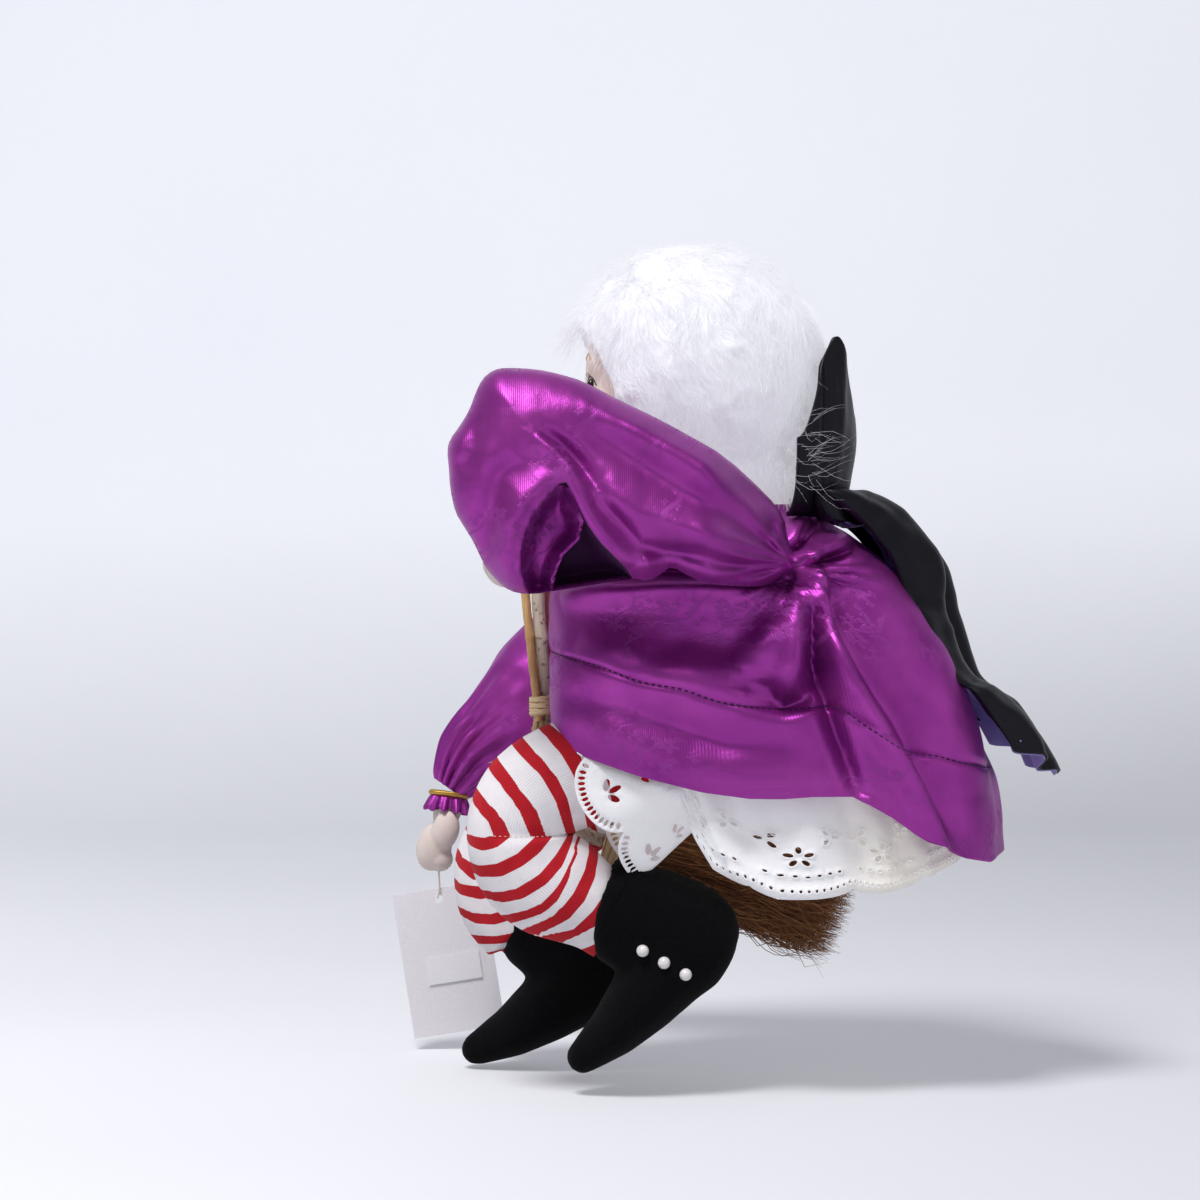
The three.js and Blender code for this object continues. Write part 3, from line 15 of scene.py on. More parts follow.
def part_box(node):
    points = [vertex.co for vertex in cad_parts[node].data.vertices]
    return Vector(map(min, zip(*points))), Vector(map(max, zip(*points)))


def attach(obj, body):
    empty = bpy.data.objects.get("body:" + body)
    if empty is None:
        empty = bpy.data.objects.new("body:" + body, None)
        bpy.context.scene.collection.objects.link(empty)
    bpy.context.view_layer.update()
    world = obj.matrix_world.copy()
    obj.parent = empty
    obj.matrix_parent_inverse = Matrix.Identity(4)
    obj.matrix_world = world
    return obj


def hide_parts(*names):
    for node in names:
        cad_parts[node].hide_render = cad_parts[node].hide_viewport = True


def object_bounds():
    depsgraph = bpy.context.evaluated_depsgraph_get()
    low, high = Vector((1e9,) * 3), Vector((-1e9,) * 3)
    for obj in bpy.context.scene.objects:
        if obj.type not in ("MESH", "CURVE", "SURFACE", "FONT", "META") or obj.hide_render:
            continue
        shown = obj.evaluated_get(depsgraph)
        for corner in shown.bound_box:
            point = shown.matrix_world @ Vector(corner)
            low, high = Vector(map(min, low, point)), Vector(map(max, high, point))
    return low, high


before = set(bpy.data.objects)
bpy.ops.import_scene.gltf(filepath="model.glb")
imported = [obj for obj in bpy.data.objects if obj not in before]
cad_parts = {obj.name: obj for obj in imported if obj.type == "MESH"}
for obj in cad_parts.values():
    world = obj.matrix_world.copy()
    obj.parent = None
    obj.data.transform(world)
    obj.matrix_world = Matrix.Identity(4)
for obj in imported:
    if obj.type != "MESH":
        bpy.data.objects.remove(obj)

MM = 0.001


def link_in(name, data):
    """Puts a mesh, lamp or camera into the scene as an object."""
    made = bpy.data.objects.new(name, data)
    bpy.context.scene.collection.objects.link(made)
    return made


CAD_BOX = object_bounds()
print("CAD box", [[round(x, 4) for x in corner] for corner in CAD_BOX])

# %% [markdown]
# ## Camera, floor and light
# The photograph looks at the doll from its left side, level with its middle, through a longer lens.
# One pixel of the 1200 pixel frame is 0.45 mm at the doll's middle plane. An 85 mm lens on a 36 mm sensor sees
# 540 mm across at 1.275 m, which gives that scale.
# A pixel of the photograph turns into a place in the doll's frame once its depth Y is known.

# %% Camera
PIXEL = 0.45 * MM
EYE_DISTANCE = 1275 * MM
AIM = Vector((-40.5 * MM, 0, -160 * MM))


def spot(px, py, y):
    """The place in the frame, in metres, that a pixel shows at depth y in mm."""
    scale = PIXEL * (1 + y * MM / EYE_DISTANCE)
    return Vector((AIM.x + (px - 600) * scale, y * MM, AIM.z - (py - 600) * scale))


lens = bpy.data.cameras.new("photo_camera")
lens.lens = 85
lens.sensor_width = 36
lens.clip_start = 0.05
camera = link_in("photo_camera", lens)
camera.location = AIM - Vector((0, EYE_DISTANCE, 0))
camera.rotation_euler = (math.radians(90), 0, 0)
bpy.context.scene.camera = camera
bpy.context.scene.view_settings.view_transform = "Standard"
print("camera", round(EYE_DISTANCE, 3), "m away,", round(PIXEL / MM, 3), "mm a pixel")

# %% Colours and nodes


def linear(hex_colour, alpha=1.0):
    """An sRGB hex value as the linear colour that a shader wants."""
    parts = [int(hex_colour[i:i + 2], 16) / 255 for i in (0, 2, 4)]
    return [p / 12.92 if p <= 0.04045 else ((p + 0.055) / 1.055) ** 2.4 for p in parts] + [alpha]


def fill(tree, made, *places, **named):
    """Puts values or links on a node's inputs, by order or by name. Other names are the node's own settings."""
    for key, value in [*enumerate(places), *named.items()]:
        if isinstance(key, str):
            key = int(key[1:]) if key[0] == "_" else key.replace("_", " ")
            if isinstance(key, str) and key not in made.inputs:
                setattr(made, key.replace(" ", "_"), value)
                continue
        if isinstance(value, bpy.types.NodeSocket):
            tree.links.new(value, made.inputs[key])
        elif value is not None:
            made.inputs[key].default_value = linear(value) if isinstance(value, str) else value


def node(tree, kind, *places, out=0, stops=(), **named):
    """Adds one node and gives one of its outputs. A colour ramp also takes its (place, hex colour) stops."""
    made = tree.nodes.new("ShaderNode" + kind)
    fill(tree, made, *places, **named)
    if stops:
        elements = made.color_ramp.elements
        while len(elements) < len(stops):
            elements.new(0.5)
        for element, (place, colour) in zip(elements, stops):
            element.position, element.color = place, linear(colour)
    return made.outputs[out]


def new_material(name, roughness, **values):
    """A material with one Principled shader, whose own sockets take the values."""
    made = bpy.data.materials.new(name)
    made.use_nodes = True
    shader = made.node_tree.nodes["Principled BSDF"]
    fill(made.node_tree, shader, Roughness=roughness, **values)
    return made, made.node_tree, shader


def per(size_mm):
    """The Scale that makes a texture's lumps that many millimetres wide."""
    return 1 / (size_mm * MM)


print("a mid grey is", round(linear("808080")[0], 3), "in linear light")


# %% [markdown]
# A white sweep behind and under the doll is the whole studio. The floor lies just under the tag and the boots.
# One soft lamp from above the front, a weak one from behind and a pale world light the doll as in the photograph.
# The paper's colour is darkened toward the floor, most toward the doll's back, as painted shade where the lamp light
# falls off. What the camera and gloss see of the paper is lifted a little by a glow of painted light, less on the floor
# than on the wall, because more lamp light would make the white cloth and hair clip.

# %% Floor, sweep and lamps
FLOOR_DROP = 2 * MM
FLOOR_LIFT, WALL_LIFT, WALL_FROM = 0.24, 0.44, 0.3
WORLD_LIGHT, WORLD_SEEN = 0.36, 0.82
# Painted shade of the paper toward the floor and the doll's back: its base share, its growth aside, and its least and
# most share.
PAPER_SHADE_BASE, PAPER_SHADE_ASIDE, PAPER_SHADE_LEAST, PAPER_SHADE_MOST = 0.6, 0.9, 0.03, 0.4


def build_sweep():
    """A floor that turns up into a wall behind the doll in one smooth curve."""
    floor_z = CAD_BOX[0][2] - FLOOR_DROP
    half, front, back, turn, top = 4.0, -2.2, 1.4, 0.5, 3.0
    profile = [(front, floor_z)]
    for i in range(17):
        a = i / 16 * math.pi / 2
        profile.append((back + turn * math.sin(a), floor_z + turn * (1 - math.cos(a))))
    profile.append((back + turn, floor_z + top))
    mesh = bpy.data.meshes.new("sweep")
    faces = [(2 * i, 2 * i + 1, 2 * i + 3, 2 * i + 2) for i in range(len(profile) - 1)]
    mesh.from_pydata([(x, y, z) for y, z in profile for x in (-half, half)], [], faces)
    mesh.polygons.foreach_set("use_smooth", [True] * len(faces))
    return link_in("sweep", mesh)


sweep = build_sweep()
paper, paper_tree, paper_shader = new_material("backdrop paper", 0.9, Emission_Color="eceef6")
where = node(paper_tree, "TexCoord", out="Object")
drift = node(paper_tree, "TexNoise", where, Scale=per(400), Detail=3.0)
paper_tone = node(paper_tree, "ValToRGB", drift, stops=[(0.3, "e8e9f0"), (0.7, "edeef4")])
axes = node(paper_tree, "SeparateXYZ", where).node.outputs
# The share of painted shade grows below height zero toward the floor, and more toward the doll's back.
below = node(paper_tree, "Math", node(paper_tree, "Math", axes["Z"], -1.0, operation="MULTIPLY"), 0.0,
             operation="MAXIMUM")
aside = node(paper_tree, "Math", axes["X"], PAPER_SHADE_ASIDE, PAPER_SHADE_BASE, operation="MULTIPLY_ADD")
fall = node(paper_tree, "Math", below, aside, PAPER_SHADE_LEAST, operation="MULTIPLY_ADD")
fall = node(paper_tree, "Math", fall, PAPER_SHADE_MOST, operation="MINIMUM")
# What the camera and gloss see of the paper glows as painted light, less on the floor than on the wall.
rays = node(paper_tree, "LightPath").node.outputs
seen = node(paper_tree, "Math", rays["Is Camera Ray"], rays["Is Glossy Ray"], operation="MAXIMUM")
height = node(paper_tree, "Math", axes["Z"], 1 / WALL_FROM, -CAD_BOX[0][2] / WALL_FROM, operation="MULTIPLY_ADD",
              use_clamp=True)
lift = node(paper_tree, "Math", height, WALL_LIFT - FLOOR_LIFT, FLOOR_LIFT, operation="MULTIPLY_ADD")
# The paper's own tone is mixed toward near black by the painted shade share.
fill(paper_tree, paper_shader,
     Base_Color=node(paper_tree, "Mix", fall, _6=paper_tone, _7="101018", data_type="RGBA", out=2),
     Emission_Strength=node(paper_tree, "Math", seen, lift, operation="MULTIPLY"))
sweep.data.materials.append(paper)


def lamp(name, place, aim, power, width, colour):
    """A round soft lamp that points at aim."""
    data = bpy.data.lights.new(name, "AREA")
    data.shape = "DISK"
    data.size, data.energy, data.color = width, power, colour
    made = link_in(name, data)
    made.location = place
    made.rotation_euler = (Vector(aim) - Vector(place)).to_track_quat("-Z", "Y").to_euler()


lamp("key_light", (-0.5, -0.75, 1.4), (0, 0, -0.2), 29, 0.6, (1.0, 0.99, 0.98))
lamp("fill_light", (1.3, -1.3, 0.2), (0, 0, -0.2), 3, 1.4, (0.96, 0.97, 1.0))
world = bpy.data.worlds.new("studio")
bpy.context.scene.world = world
world.use_nodes = True
sky = world.node_tree
seen = node(sky, "LightPath", out="Is Camera Ray")
fill(sky, sky.nodes["Background"], Color="eceef4",
     Strength=node(sky, "Math", seen, WORLD_SEEN - WORLD_LIGHT, WORLD_LIGHT, operation="MULTIPLY_ADD"))
print("floor", round(CAD_BOX[0][2] - FLOOR_DROP, 4), "m high, key lamp and fill lamp set")

# %% [markdown]
# ## Cloth finishes
# Satin is woven so that long threads float on its face. They line up and give a soft, wide gloss.
# A damask turns some floats the other way, so its flowers are the same colour and only catch the light differently.
# The flowers here are a plain scattered sprig: petals round a heart, drawn from the distance and the angle inside a
# Voronoi cell, with a thin stem made from a stretched wave. Satin's threads are about 0.1 mm apart, too fine to show,
# so they are drawn 0.9 mm apart.

# %% Satin damask
SPRIG_PITCH, SMALL_SPRIG_SHARE = 15.0, 0.45
THREAD_PITCH = 0.9
SATIN_FLOAT_SHARE = 0.82
HEART_RADIUS = 0.065


def past(tree, value, start, slope):
    """Zero where value is below start, then a steep rise to one."""
    return node(tree, "Math", value, slope, -start * slope, operation="MULTIPLY_ADD", use_clamp=True)


def sprigs(tree, place, pitch_mm, petals, seed):
    """One where a flower is, on coordinates in metres."""
    shifted = node(tree, "VectorMath", place, (seed, seed * 0.37, 0))
    cell = node(tree, "TexVoronoi", shifted, Scale=per(pitch_mm), Randomness=0.75, voronoi_dimensions="2D").node.outputs
    within = node(tree, "VectorMath", shifted, cell["Position"], operation="SUBTRACT")
    parts = node(tree, "SeparateXYZ", within).node.outputs
    angle = node(tree, "Math", parts["Y"], parts["X"], operation="ARCTAN2")
    wave = node(tree, "Math", node(tree, "Math", angle, petals / 2, operation="MULTIPLY"), operation="COSINE")
    reach = node(tree, "Math", node(tree, "Math", wave, operation="ABSOLUTE"), 0.20, 0.10, operation="MULTIPLY_ADD")
    petal = past(tree, node(tree, "Math", reach, cell["Distance"], operation="SUBTRACT"), 0.0, 26.0)
    heart = past(tree, cell["Distance"], HEART_RADIUS, -40.0)
    return node(tree, "Math", petal, heart, operation="SUBTRACT", use_clamp=True)


def two_tones(tree, place, size_mm, deep, light, detail=3.0, rough=0.5, low=0.3, high=0.7):
    """Noise of that size, and the colour that drifts with it between two tones."""
    drift = node(tree, "TexNoise", place, Scale=per(size_mm), Detail=detail, Roughness=rough)
    return drift, node(tree, "ValToRGB", drift, stops=[(low, deep), (high, light)])


def emboss(tree, shader, *layers):
    """Presses layers of (height, depth in mm, strength) into a surface, one over the other."""
    normal = None
    for height, depth_mm, strength in layers:
        normal = node(tree, "Bump", Height=height, Distance=depth_mm * MM, Strength=strength, Normal=normal)
    fill(tree, shader, Normal=normal)


def threads(tree, place, pitch_mm, way="X", distortion=1.0):
    return node(tree, "TexWave", place, Scale=per(3 * pitch_mm), Distortion=distortion, Detail=1.0, bands_direction=way,
                out=1)


def satin_damask(name, light, deep, sprig_tone, roughness):
    """Woven of shiny floats, which reflect like a thin metal in the cloth's own colour; sprigs are duller."""
    made, tree, shader = new_material(name, roughness, Metallic=SATIN_FLOAT_SHARE, Specular_IOR_Level=0.25)
    uv = node(tree, "UVMap", uv_map="cloth")
    wobble = node(tree, "TexNoise", uv, Scale=per(9), Detail=2.0, out="Color")
    bent = node(tree, "VectorMath", wobble, (0.0035, 0.0035, 0), uv, operation="MULTIPLY_ADD")
    flowers = node(tree, "Math", sprigs(tree, bent, SPRIG_PITCH, 5, 0.013),
                   sprigs(tree, bent, SPRIG_PITCH * SMALL_SPRIG_SHARE, 4, 0.4), operation="MAXIMUM")
    stems = node(tree, "TexWave", bent, Scale=34.0, Distortion=5.0, Detail=2.0, Detail_Scale=1.2,
                 bands_direction="DIAGONAL", out=1)
    fields = past(tree, node(tree, "TexNoise", uv, Scale=per(42), Detail=1.0), 0.54, 14.0)
    drawn = node(tree, "Math", flowers, past(tree, stems, 0.95, 24.0), operation="MAXIMUM")
    pattern = node(tree, "Math", drawn, fields, operation="MULTIPLY")
    base = two_tones(tree, uv, 24, deep, light, 2.0)[1]
    share = node(tree, "Math", pattern, 0.3, operation="MULTIPLY")
    fill(tree, shader, Base_Color=node(tree, "Mix", share, _6=base, _7=sprig_tone, data_type="RGBA", out=2),
         Roughness=node(tree, "Math", pattern, 0.22, roughness, operation="MULTIPLY_ADD"))
    weave = node(tree, "Math", threads(tree, uv, THREAD_PITCH, distortion=1.2), 0.25, operation="MULTIPLY")
    raised = node(tree, "Math", pattern, 0.6, weave, operation="MULTIPLY_ADD")
    crumple = node(tree, "TexNoise", uv, Scale=per(7), Detail=4.0, Roughness=0.6)
    emboss(tree, shader, (raised, 0.12, 1.0), (crumple, 0.5, 0.5))
    return made


def plain_satin(name, light, deep, roughness, **values):
    """The same weave without flowers. Its floats show as a soft gloss."""
    made, tree, shader = new_material(name, roughness, **values)
    uv = node(tree, "UVMap", uv_map="cloth")
    fill(tree, shader, Base_Color=two_tones(tree, uv, 18, deep, light)[1])
    crumple = node(tree, "TexNoise", uv, Scale=per(9), Detail=4.0, Roughness=0.6)
    emboss(tree, shader, (threads(tree, uv, THREAD_PITCH), 0.05, 1.0), (crumple, 0.6, 0.6))
    return made


purple_damask = satin_damask("purple satin damask", "aa42a4", "953494", "a552aa", 0.43)
black_satin = plain_satin("black satin", "07070c", "040408", 0.4, Specular_IOR_Level=0.27,
                          Specular_Tint=(0.86, 0.84, 1, 1))
# The satin's wrong side, coloured near black as painted shade for the inside of the sleeve's hollow.
satin_back_in_painted_shade = plain_satin("wrong side of the satin in painted shade", "340e3a", "28092d", 0.7, Specular_IOR_Level=0.2)
lavender_satin = plain_satin("lavender lining", "a79fdc", "978ed0", 0.45)
print("flowers", SPRIG_PITCH, "mm apart")

# %% [markdown]
# Muslin and petticoat cotton are plain weaves: an even grid of threads. Two crossed waves give the grid.
# Real threads are about 0.3 mm apart, too fine to show here, so they are drawn 0.7 mm apart.
# Light scatters inside thin white cloth, and a faint glow of painted light stands in for that. The flesh muslin glows a
# little too: painted light that lifts the face out of the wig's shade.

# %% Plain woven cotton


def woven(name, light, deep, roughness, pitch_mm=0.7, sheen=0.1, glow=0.0):
    """A matt cloth with a grid of threads and thicker slubs here and there."""
    made, tree, shader = new_material(name, roughness, Sheen_Weight=sheen, Emission_Strength=glow,
                                      Emission_Color="f4f2f4")
    place = node(tree, "TexCoord", out="Object")
    fill(tree, shader, Base_Color=two_tones(tree, place, 14, deep, light, 4.0)[1])
    grid = node(tree, "Math", *[threads(tree, place, pitch_mm, way, 0.8) for way in "XZ"], operation="MULTIPLY")
    slubs = node(tree, "TexNoise", place, Scale=per(3.5), Detail=3.0)
    emboss(tree, shader, (grid, 0.08, 1.0), (slubs, 0.15, 0.5))
    return made


# The muslin's glow is painted light on the face, which lies in the wig's shade.
muslin = woven("flesh muslin", "f2d9cd", "ebcdc0", 0.85, glow=0.12)
muslin_limb = woven("muslin hand", "e8dbd4", "dfd0c8", 0.85)
cotton = woven("petticoat cotton", "f4f4f6", "ebebf0", 0.8, 0.8, 0.15, 0.18)


def yellowed(finish, colour, from_mm, to_mm):
    """Tints a cloth toward the back, where the old lace is thick with thread and has turned cream."""
    tree = finish.node_tree
    base = tree.nodes["Principled BSDF"].inputs["Base Color"]
    x = node(tree, "SeparateXYZ", node(tree, "TexCoord", out="Object"), out="X")
    share = past(tree, x, from_mm * MM, 1 / ((to_mm - from_mm) * MM))
    fill(tree, base.node, Base_Color=node(tree, "Mix", share, _6=base.links[0].from_socket, _7=colour,
                                          data_type="RGBA", out=2))


yellowed(cotton, "f3eee2", 55, 85)
print("plain weaves:", muslin.name, "and", cotton.name)

# %% [markdown]
# Jersey knit shows tiny upright ribs, and the stripes are knitted in, so their edges are crisp but follow the loops.
# The UV map holds millimetres along the limb in V, so one stripe keeps its width wherever the limb bends.

# %% Striped jersey and felt
STRIPE_PITCH = 14.5
STRIPE_RED_SHARE = 0.5
RIB_PITCH = 1.1


def striped_jersey():
    """Matt knit wool: ribs shade it, and each stripe's edge jogs from loop to loop."""
    made, tree, shader = new_material("striped jersey", 0.9, Sheen_Weight=0.04, Specular_IOR_Level=0.3)
    uv = node(tree, "UVMap", uv_map="cloth")
    loops = node(tree, "TexWave", uv, Scale=per(3 * RIB_PITCH), out=1)
    along = node(tree, "SeparateXYZ", uv, out="Y")
    along = node(tree, "Math", loops, 0.12 * MM, along, operation="MULTIPLY_ADD")
    turns = node(tree, "Math", node(tree, "Math", along, per(STRIPE_PITCH), operation="MULTIPLY"), operation="FRACT")
    drift, red = two_tones(tree, uv, 10, "b3101f", "c11a28")
    white = node(tree, "ValToRGB", drift, stops=[(0.3, "ece6ea"), (0.7, "f5f1f4")])
    edge = past(tree, turns, 1 - STRIPE_RED_SHARE, 60.0)
    fill(tree, shader, Base_Color=node(tree, "Mix", edge, _6=white, _7=red, data_type="RGBA", out=2))
    fuzz = node(tree, "TexNoise", uv, Scale=per(1.6), Detail=3.0)
    emboss(tree, shader, (loops, 0.12, 1.0), (fuzz, 0.12, 0.6))
    return made


def wool_felt():
    """Matted fibres that swallow light, with almost no gloss."""
    made, tree, shader = new_material("black wool felt", 0.95, Sheen_Weight=0.02, Specular_IOR_Level=0.12)
    place = node(tree, "TexCoord", out="Object")
    fibres, tone = two_tones(tree, place, 1.3, "020203", "0a0a0e", 6.0, 0.7, 0.35, 0.75)
    fill(tree, shader, Base_Color=tone)
    dents = node(tree, "TexNoise", place, Scale=per(9), Detail=2.0)
    emboss(tree, shader, (fibres, 0.35, 0.8), (dents, 0.5, 0.4))
    return made


jersey = striped_jersey()
felt = wool_felt()
print("stripes", STRIPE_PITCH, "mm apart")

# %% [markdown]
# ## Fibre, cane and card
# Mohair, coir and raffia are animal or plant fibres. Each strand is its own thin mesh further on, so the material
# only adds the change of tone from strand to strand, which is a random number in the UV map's U.

# %% Fibres and canes


def fibre(name, tones, roughness, glow=0.0):
    """A strand's tone comes from U, which is one random number a strand; V runs from root to tip."""
    made, tree, shader = new_material(name, roughness, Emission_Strength=glow, Emission_Color="f4f4fa")
    u = node(tree, "SeparateXYZ", node(tree, "UVMap", uv_map="cloth"), out="X")
    fuzz = node(tree, "TexNoise", node(tree, "TexCoord", out="Object"), Scale=per(0.9), Detail=2.0)
    fill(tree, shader, Base_Color=node(tree, "ValToRGB", u, stops=tones))
    emboss(tree, shader, (fuzz, 0.1, 0.5))
    return made


# The mohair's glow is painted light, standing in for light passed on from strand to strand.
mohair = fibre("white mohair", [(0.0, "d0d0d6"), (0.5, "d8d8dd"), (1.0, "e4e4e8")], 0.85, 0.31)
mohair_base = fibre("mohair felted at the cap", [(0.0, "cfcfd5"), (1.0, "d8d9de")], 0.9, 0.31)
coir_fibre = fibre("brown coir", [(0.0, "6a3d20"), (0.45, "8f5a30"), (0.8, "b07a48"), (1.0, "cc9a62")], 0.7)
raffia_fibre = fibre("raffia", [(0.0, "c6a877"), (0.6, "dcc193"), (1.0, "ead6ac")], 0.7)


def cane(name, deep, light, grain_mm, roughness, flecks=None):
    """Split cane or a dry twig: long grain along Z, with darker flecks where it is weathered."""
    made, tree, shader = new_material(name, roughness)
    place = node(tree, "TexCoord", out="Object")
    stretched = node(tree, "VectorMath", place, (1, 1, 0.09), operation="MULTIPLY")
    grain, colour = two_tones(tree, stretched, grain_mm, deep, light, 4.0, 0.6)
    if flecks:
        share = past(tree, node(tree, "TexNoise", place, Scale=per(2.4), Detail=3.0), 0.56, 12.0)
        colour = node(tree, "Mix", share, _6=colour, _7=flecks, data_type="RGBA", out=2)
    fill(tree, shader, Base_Color=colour)
    emboss(tree, shader, (grain, 0.3, 1.0))
    return made


tan_cane = cane("split cane", "b98d55", "d3ad75", 1.1, 0.55)
pale_twig = cane("weathered twig", "b6a690", "d6cab8", 0.9, 0.8, "8d7c68")
print("fibres:", mohair.name, coir_fibre.name, raffia_fibre.name)

# %% Pearl, card, gold and eye


def speckled(name, roughness, light, deep, size_mm, depth_mm, **values):
    """A small hard or twisted thing, whose tone and surface change a little from place to place."""
    made, tree, shader = new_material(name, roughness, **values)
    grain, tone = two_tones(tree, node(tree, "TexCoord", out="Object"), size_mm, deep, light, 4.0, 0.6)
    fill(tree, shader, Base_Color=tone)
    emboss(tree, shader, (grain, depth_mm, 0.6))
    return made


pearl = speckled("pearl button", 0.22, "f3f0ec", "e4dfe4", 3.0, 0.01, Coat_Weight=0.6, Coat_Roughness=0.1)
card = speckled("tag card", 0.75, "f2f0f4", "eae8ee", 1.2, 0.03)
sticker_paper = speckled("sticker paper", 0.55, "f7f6f9", "f0eff4", 1.0, 0.02)
thread = speckled("cotton thread", 0.8, "e6dfc8", "d9d0b4", 0.5, 0.05)
dark_thread = speckled("purple thread", 0.7, "431650", "331040", 0.5, 0.05)
gold_lurex = speckled("gold lurex", 0.32, "d8b45a", "b48d3c", 0.6, 0.1, Metallic=0.85)
eye_glass = speckled("black eye bead", 0.15, "1d1614", "120e0d", 2.0, 0.01, Coat_Weight=0.5)
lip_floss = speckled("pink floss", 0.7, "c9757a", "bd686f", 0.6, 0.05)
print(len(bpy.data.materials), "finishes")

# %% [markdown]
# ## Making meshes
# Most pieces are either a tube of oval rings along a line, like a limb, or a sheet given by a function of two
# numbers, like a skirt. Both make a grid of points, and both keep a UV map in metres, so that a weave or a stripe
# has its real size on every piece.

# %% Grids, tubes and smooth lines


def add_object(name, points, faces, finish, uvs=None, smooth=True):
    """A mesh piece. uvs holds one pair a point, in metres; a face corner takes its point's pair."""
    mesh = bpy.data.meshes.new(name)
    mesh.from_pydata([tuple(p) for p in points], [], [tuple(f) for f in faces])
    mesh.materials.append(finish)
    if uvs is not None:
        layer = mesh.uv_layers.new(name="cloth")
        corner = np.empty(len(mesh.loops), dtype=np.int32)
        mesh.loops.foreach_get("vertex_index", corner)
        layer.data.foreach_set("uv", np.asarray(uvs, dtype=np.float32)[corner].ravel())
    if smooth:
        mesh.polygons.foreach_set("use_smooth", [True] * len(mesh.polygons))
    mesh.validate()
    return link_in(name, mesh)


def smooth_list(values, t):
    """The value at t, from 0 to 1, on a smooth line through evenly spaced numbers or vectors."""
    values = [np.asarray(v, dtype=float) for v in values]
    last = len(values) - 1
    place = min(max(t, 0.0), 1.0) * last
    i = min(int(place), last - 1)
    before, after = values[max(i - 1, 0)], values[min(i + 2, last)]
    s = place - i
    rise, next_rise = (values[i + 1] - before) / 2, (after - values[i]) / 2
    step = values[i + 1] - values[i]
    return values[i] + s * (rise + s * (3 * step - 2 * rise - next_rise + s * (rise + next_rise - 2 * step)))


def ease(x, low, high):
    """Zero up to low, one from high on, and a smooth rise between."""
    t = min(max((x - low) / (high - low), 0.0), 1.0)
    return t * t * (3 - 2 * t)


def mix(a, b, t):
    return a + (b - a) * t


def grid_faces(across, down, closed):
    """Quads of a grid stored row by row, with across + 1 points in a row, or across if the row closes."""
    row = across if closed else across + 1
    return [
        (j * row + i, j * row + (i + 1) % row, (j + 1) * row + (i + 1) % row, (j + 1) * row + i)
        for j in range(down) for i in range(across)
    ]


def wrinkle(p, size_mm, seed=0.0):
    """Smooth noise from -1 to 1 at a place in metres."""
    q = Vector(p) / (size_mm * MM)
    return noise.noise(q + Vector((seed, seed * 1.7, -seed)))


def cloth_sheet(name, point, across, down, finish, size, closed=True, thick_mm=0.7):
    """A sheet from point(u, v). Its UV map is laid out by the real width and length in size, in metres."""
    width, length = size
    spots = [(i / across, j / down) for j in range(down + 1) for i in range(across if closed else across + 1)]
    points, uvs = [point(u, v) for u, v in spots], [(u * width, v * length) for u, v in spots]
    made = add_object(name, points, grid_faces(across, down, closed), finish, uvs)
    if closed:
        layer = made.data.uv_layers["cloth"].data
        for polygon in made.data.polygons:
            loops = list(polygon.loop_indices)
            high = max(layer[k].uv[0] for k in loops)
            for k in loops:
                if high - layer[k].uv[0] > width / 2:
                    layer[k].uv[0] += width
    thicken(made, thick_mm)
    return made


def thicken(made, thick_mm, offset=-1):
    skin = made.modifiers.new("cloth thickness", "SOLIDIFY")
    skin.thickness, skin.offset = thick_mm * MM, offset


def turn_out(made, merge_mm=0.0):
    """Merges points closer than merge_mm, and turns the faces of a mesh outward."""
    whole = bmesh.new()
    whole.from_mesh(made.data)
    if merge_mm:
        bmesh.ops.remove_doubles(whole, verts=whole.verts, dist=merge_mm * MM)
    bmesh.ops.recalc_face_normals(whole, faces=whole.faces)
    whole.to_mesh(made.data)
    whole.free()


def settle(made, body, slot=None, *nodes):
    """Puts a piece on the body it moves with, in the place of its solids, and hides those solids. Its finish slot is
    not used.
    """
    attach(made, body)
    if nodes:
        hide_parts(*nodes)
    return made


def tube_mesh(name, path, radius, finish, sides=8, taper=None, uv_tone=None):
    """A round closed tube along points in metres. taper gives each point's share of the radius."""
    path = [Vector(p) for p in path]
    rings, uvs = [], []
    up = Vector((0, 0, 1))
    for i, p in enumerate(path):
        along = (path[min(i + 1, len(path) - 1)] - path[max(i - 1, 0)]).normalized()
        side = along.cross(up)
        side = side.normalized() if side.length > 1e-6 else Vector((1, 0, 0))
        up = side.cross(along).normalized()
        r = radius * (taper[i] if taper else 1)
        for k in range(sides):
            a = 2 * math.pi * k / sides
            rings.append(p + side * (r * math.cos(a)) + up * (r * math.sin(a)))
            uvs.append((k / sides if uv_tone is None else uv_tone, i / (len(path) - 1)))
    faces = grid_faces(sides, len(path) - 1, True)
    faces += [tuple(reversed(range(sides))), tuple(range(len(rings) - sides, len(rings)))]
    return add_object(name, rings, faces, finish, uvs)


def mesh_from(whole, name):
    """Turns a bmesh into a plain mesh."""
    mesh = bpy.data.meshes.new(name)
    whole.to_mesh(mesh)
    whole.free()
    return mesh


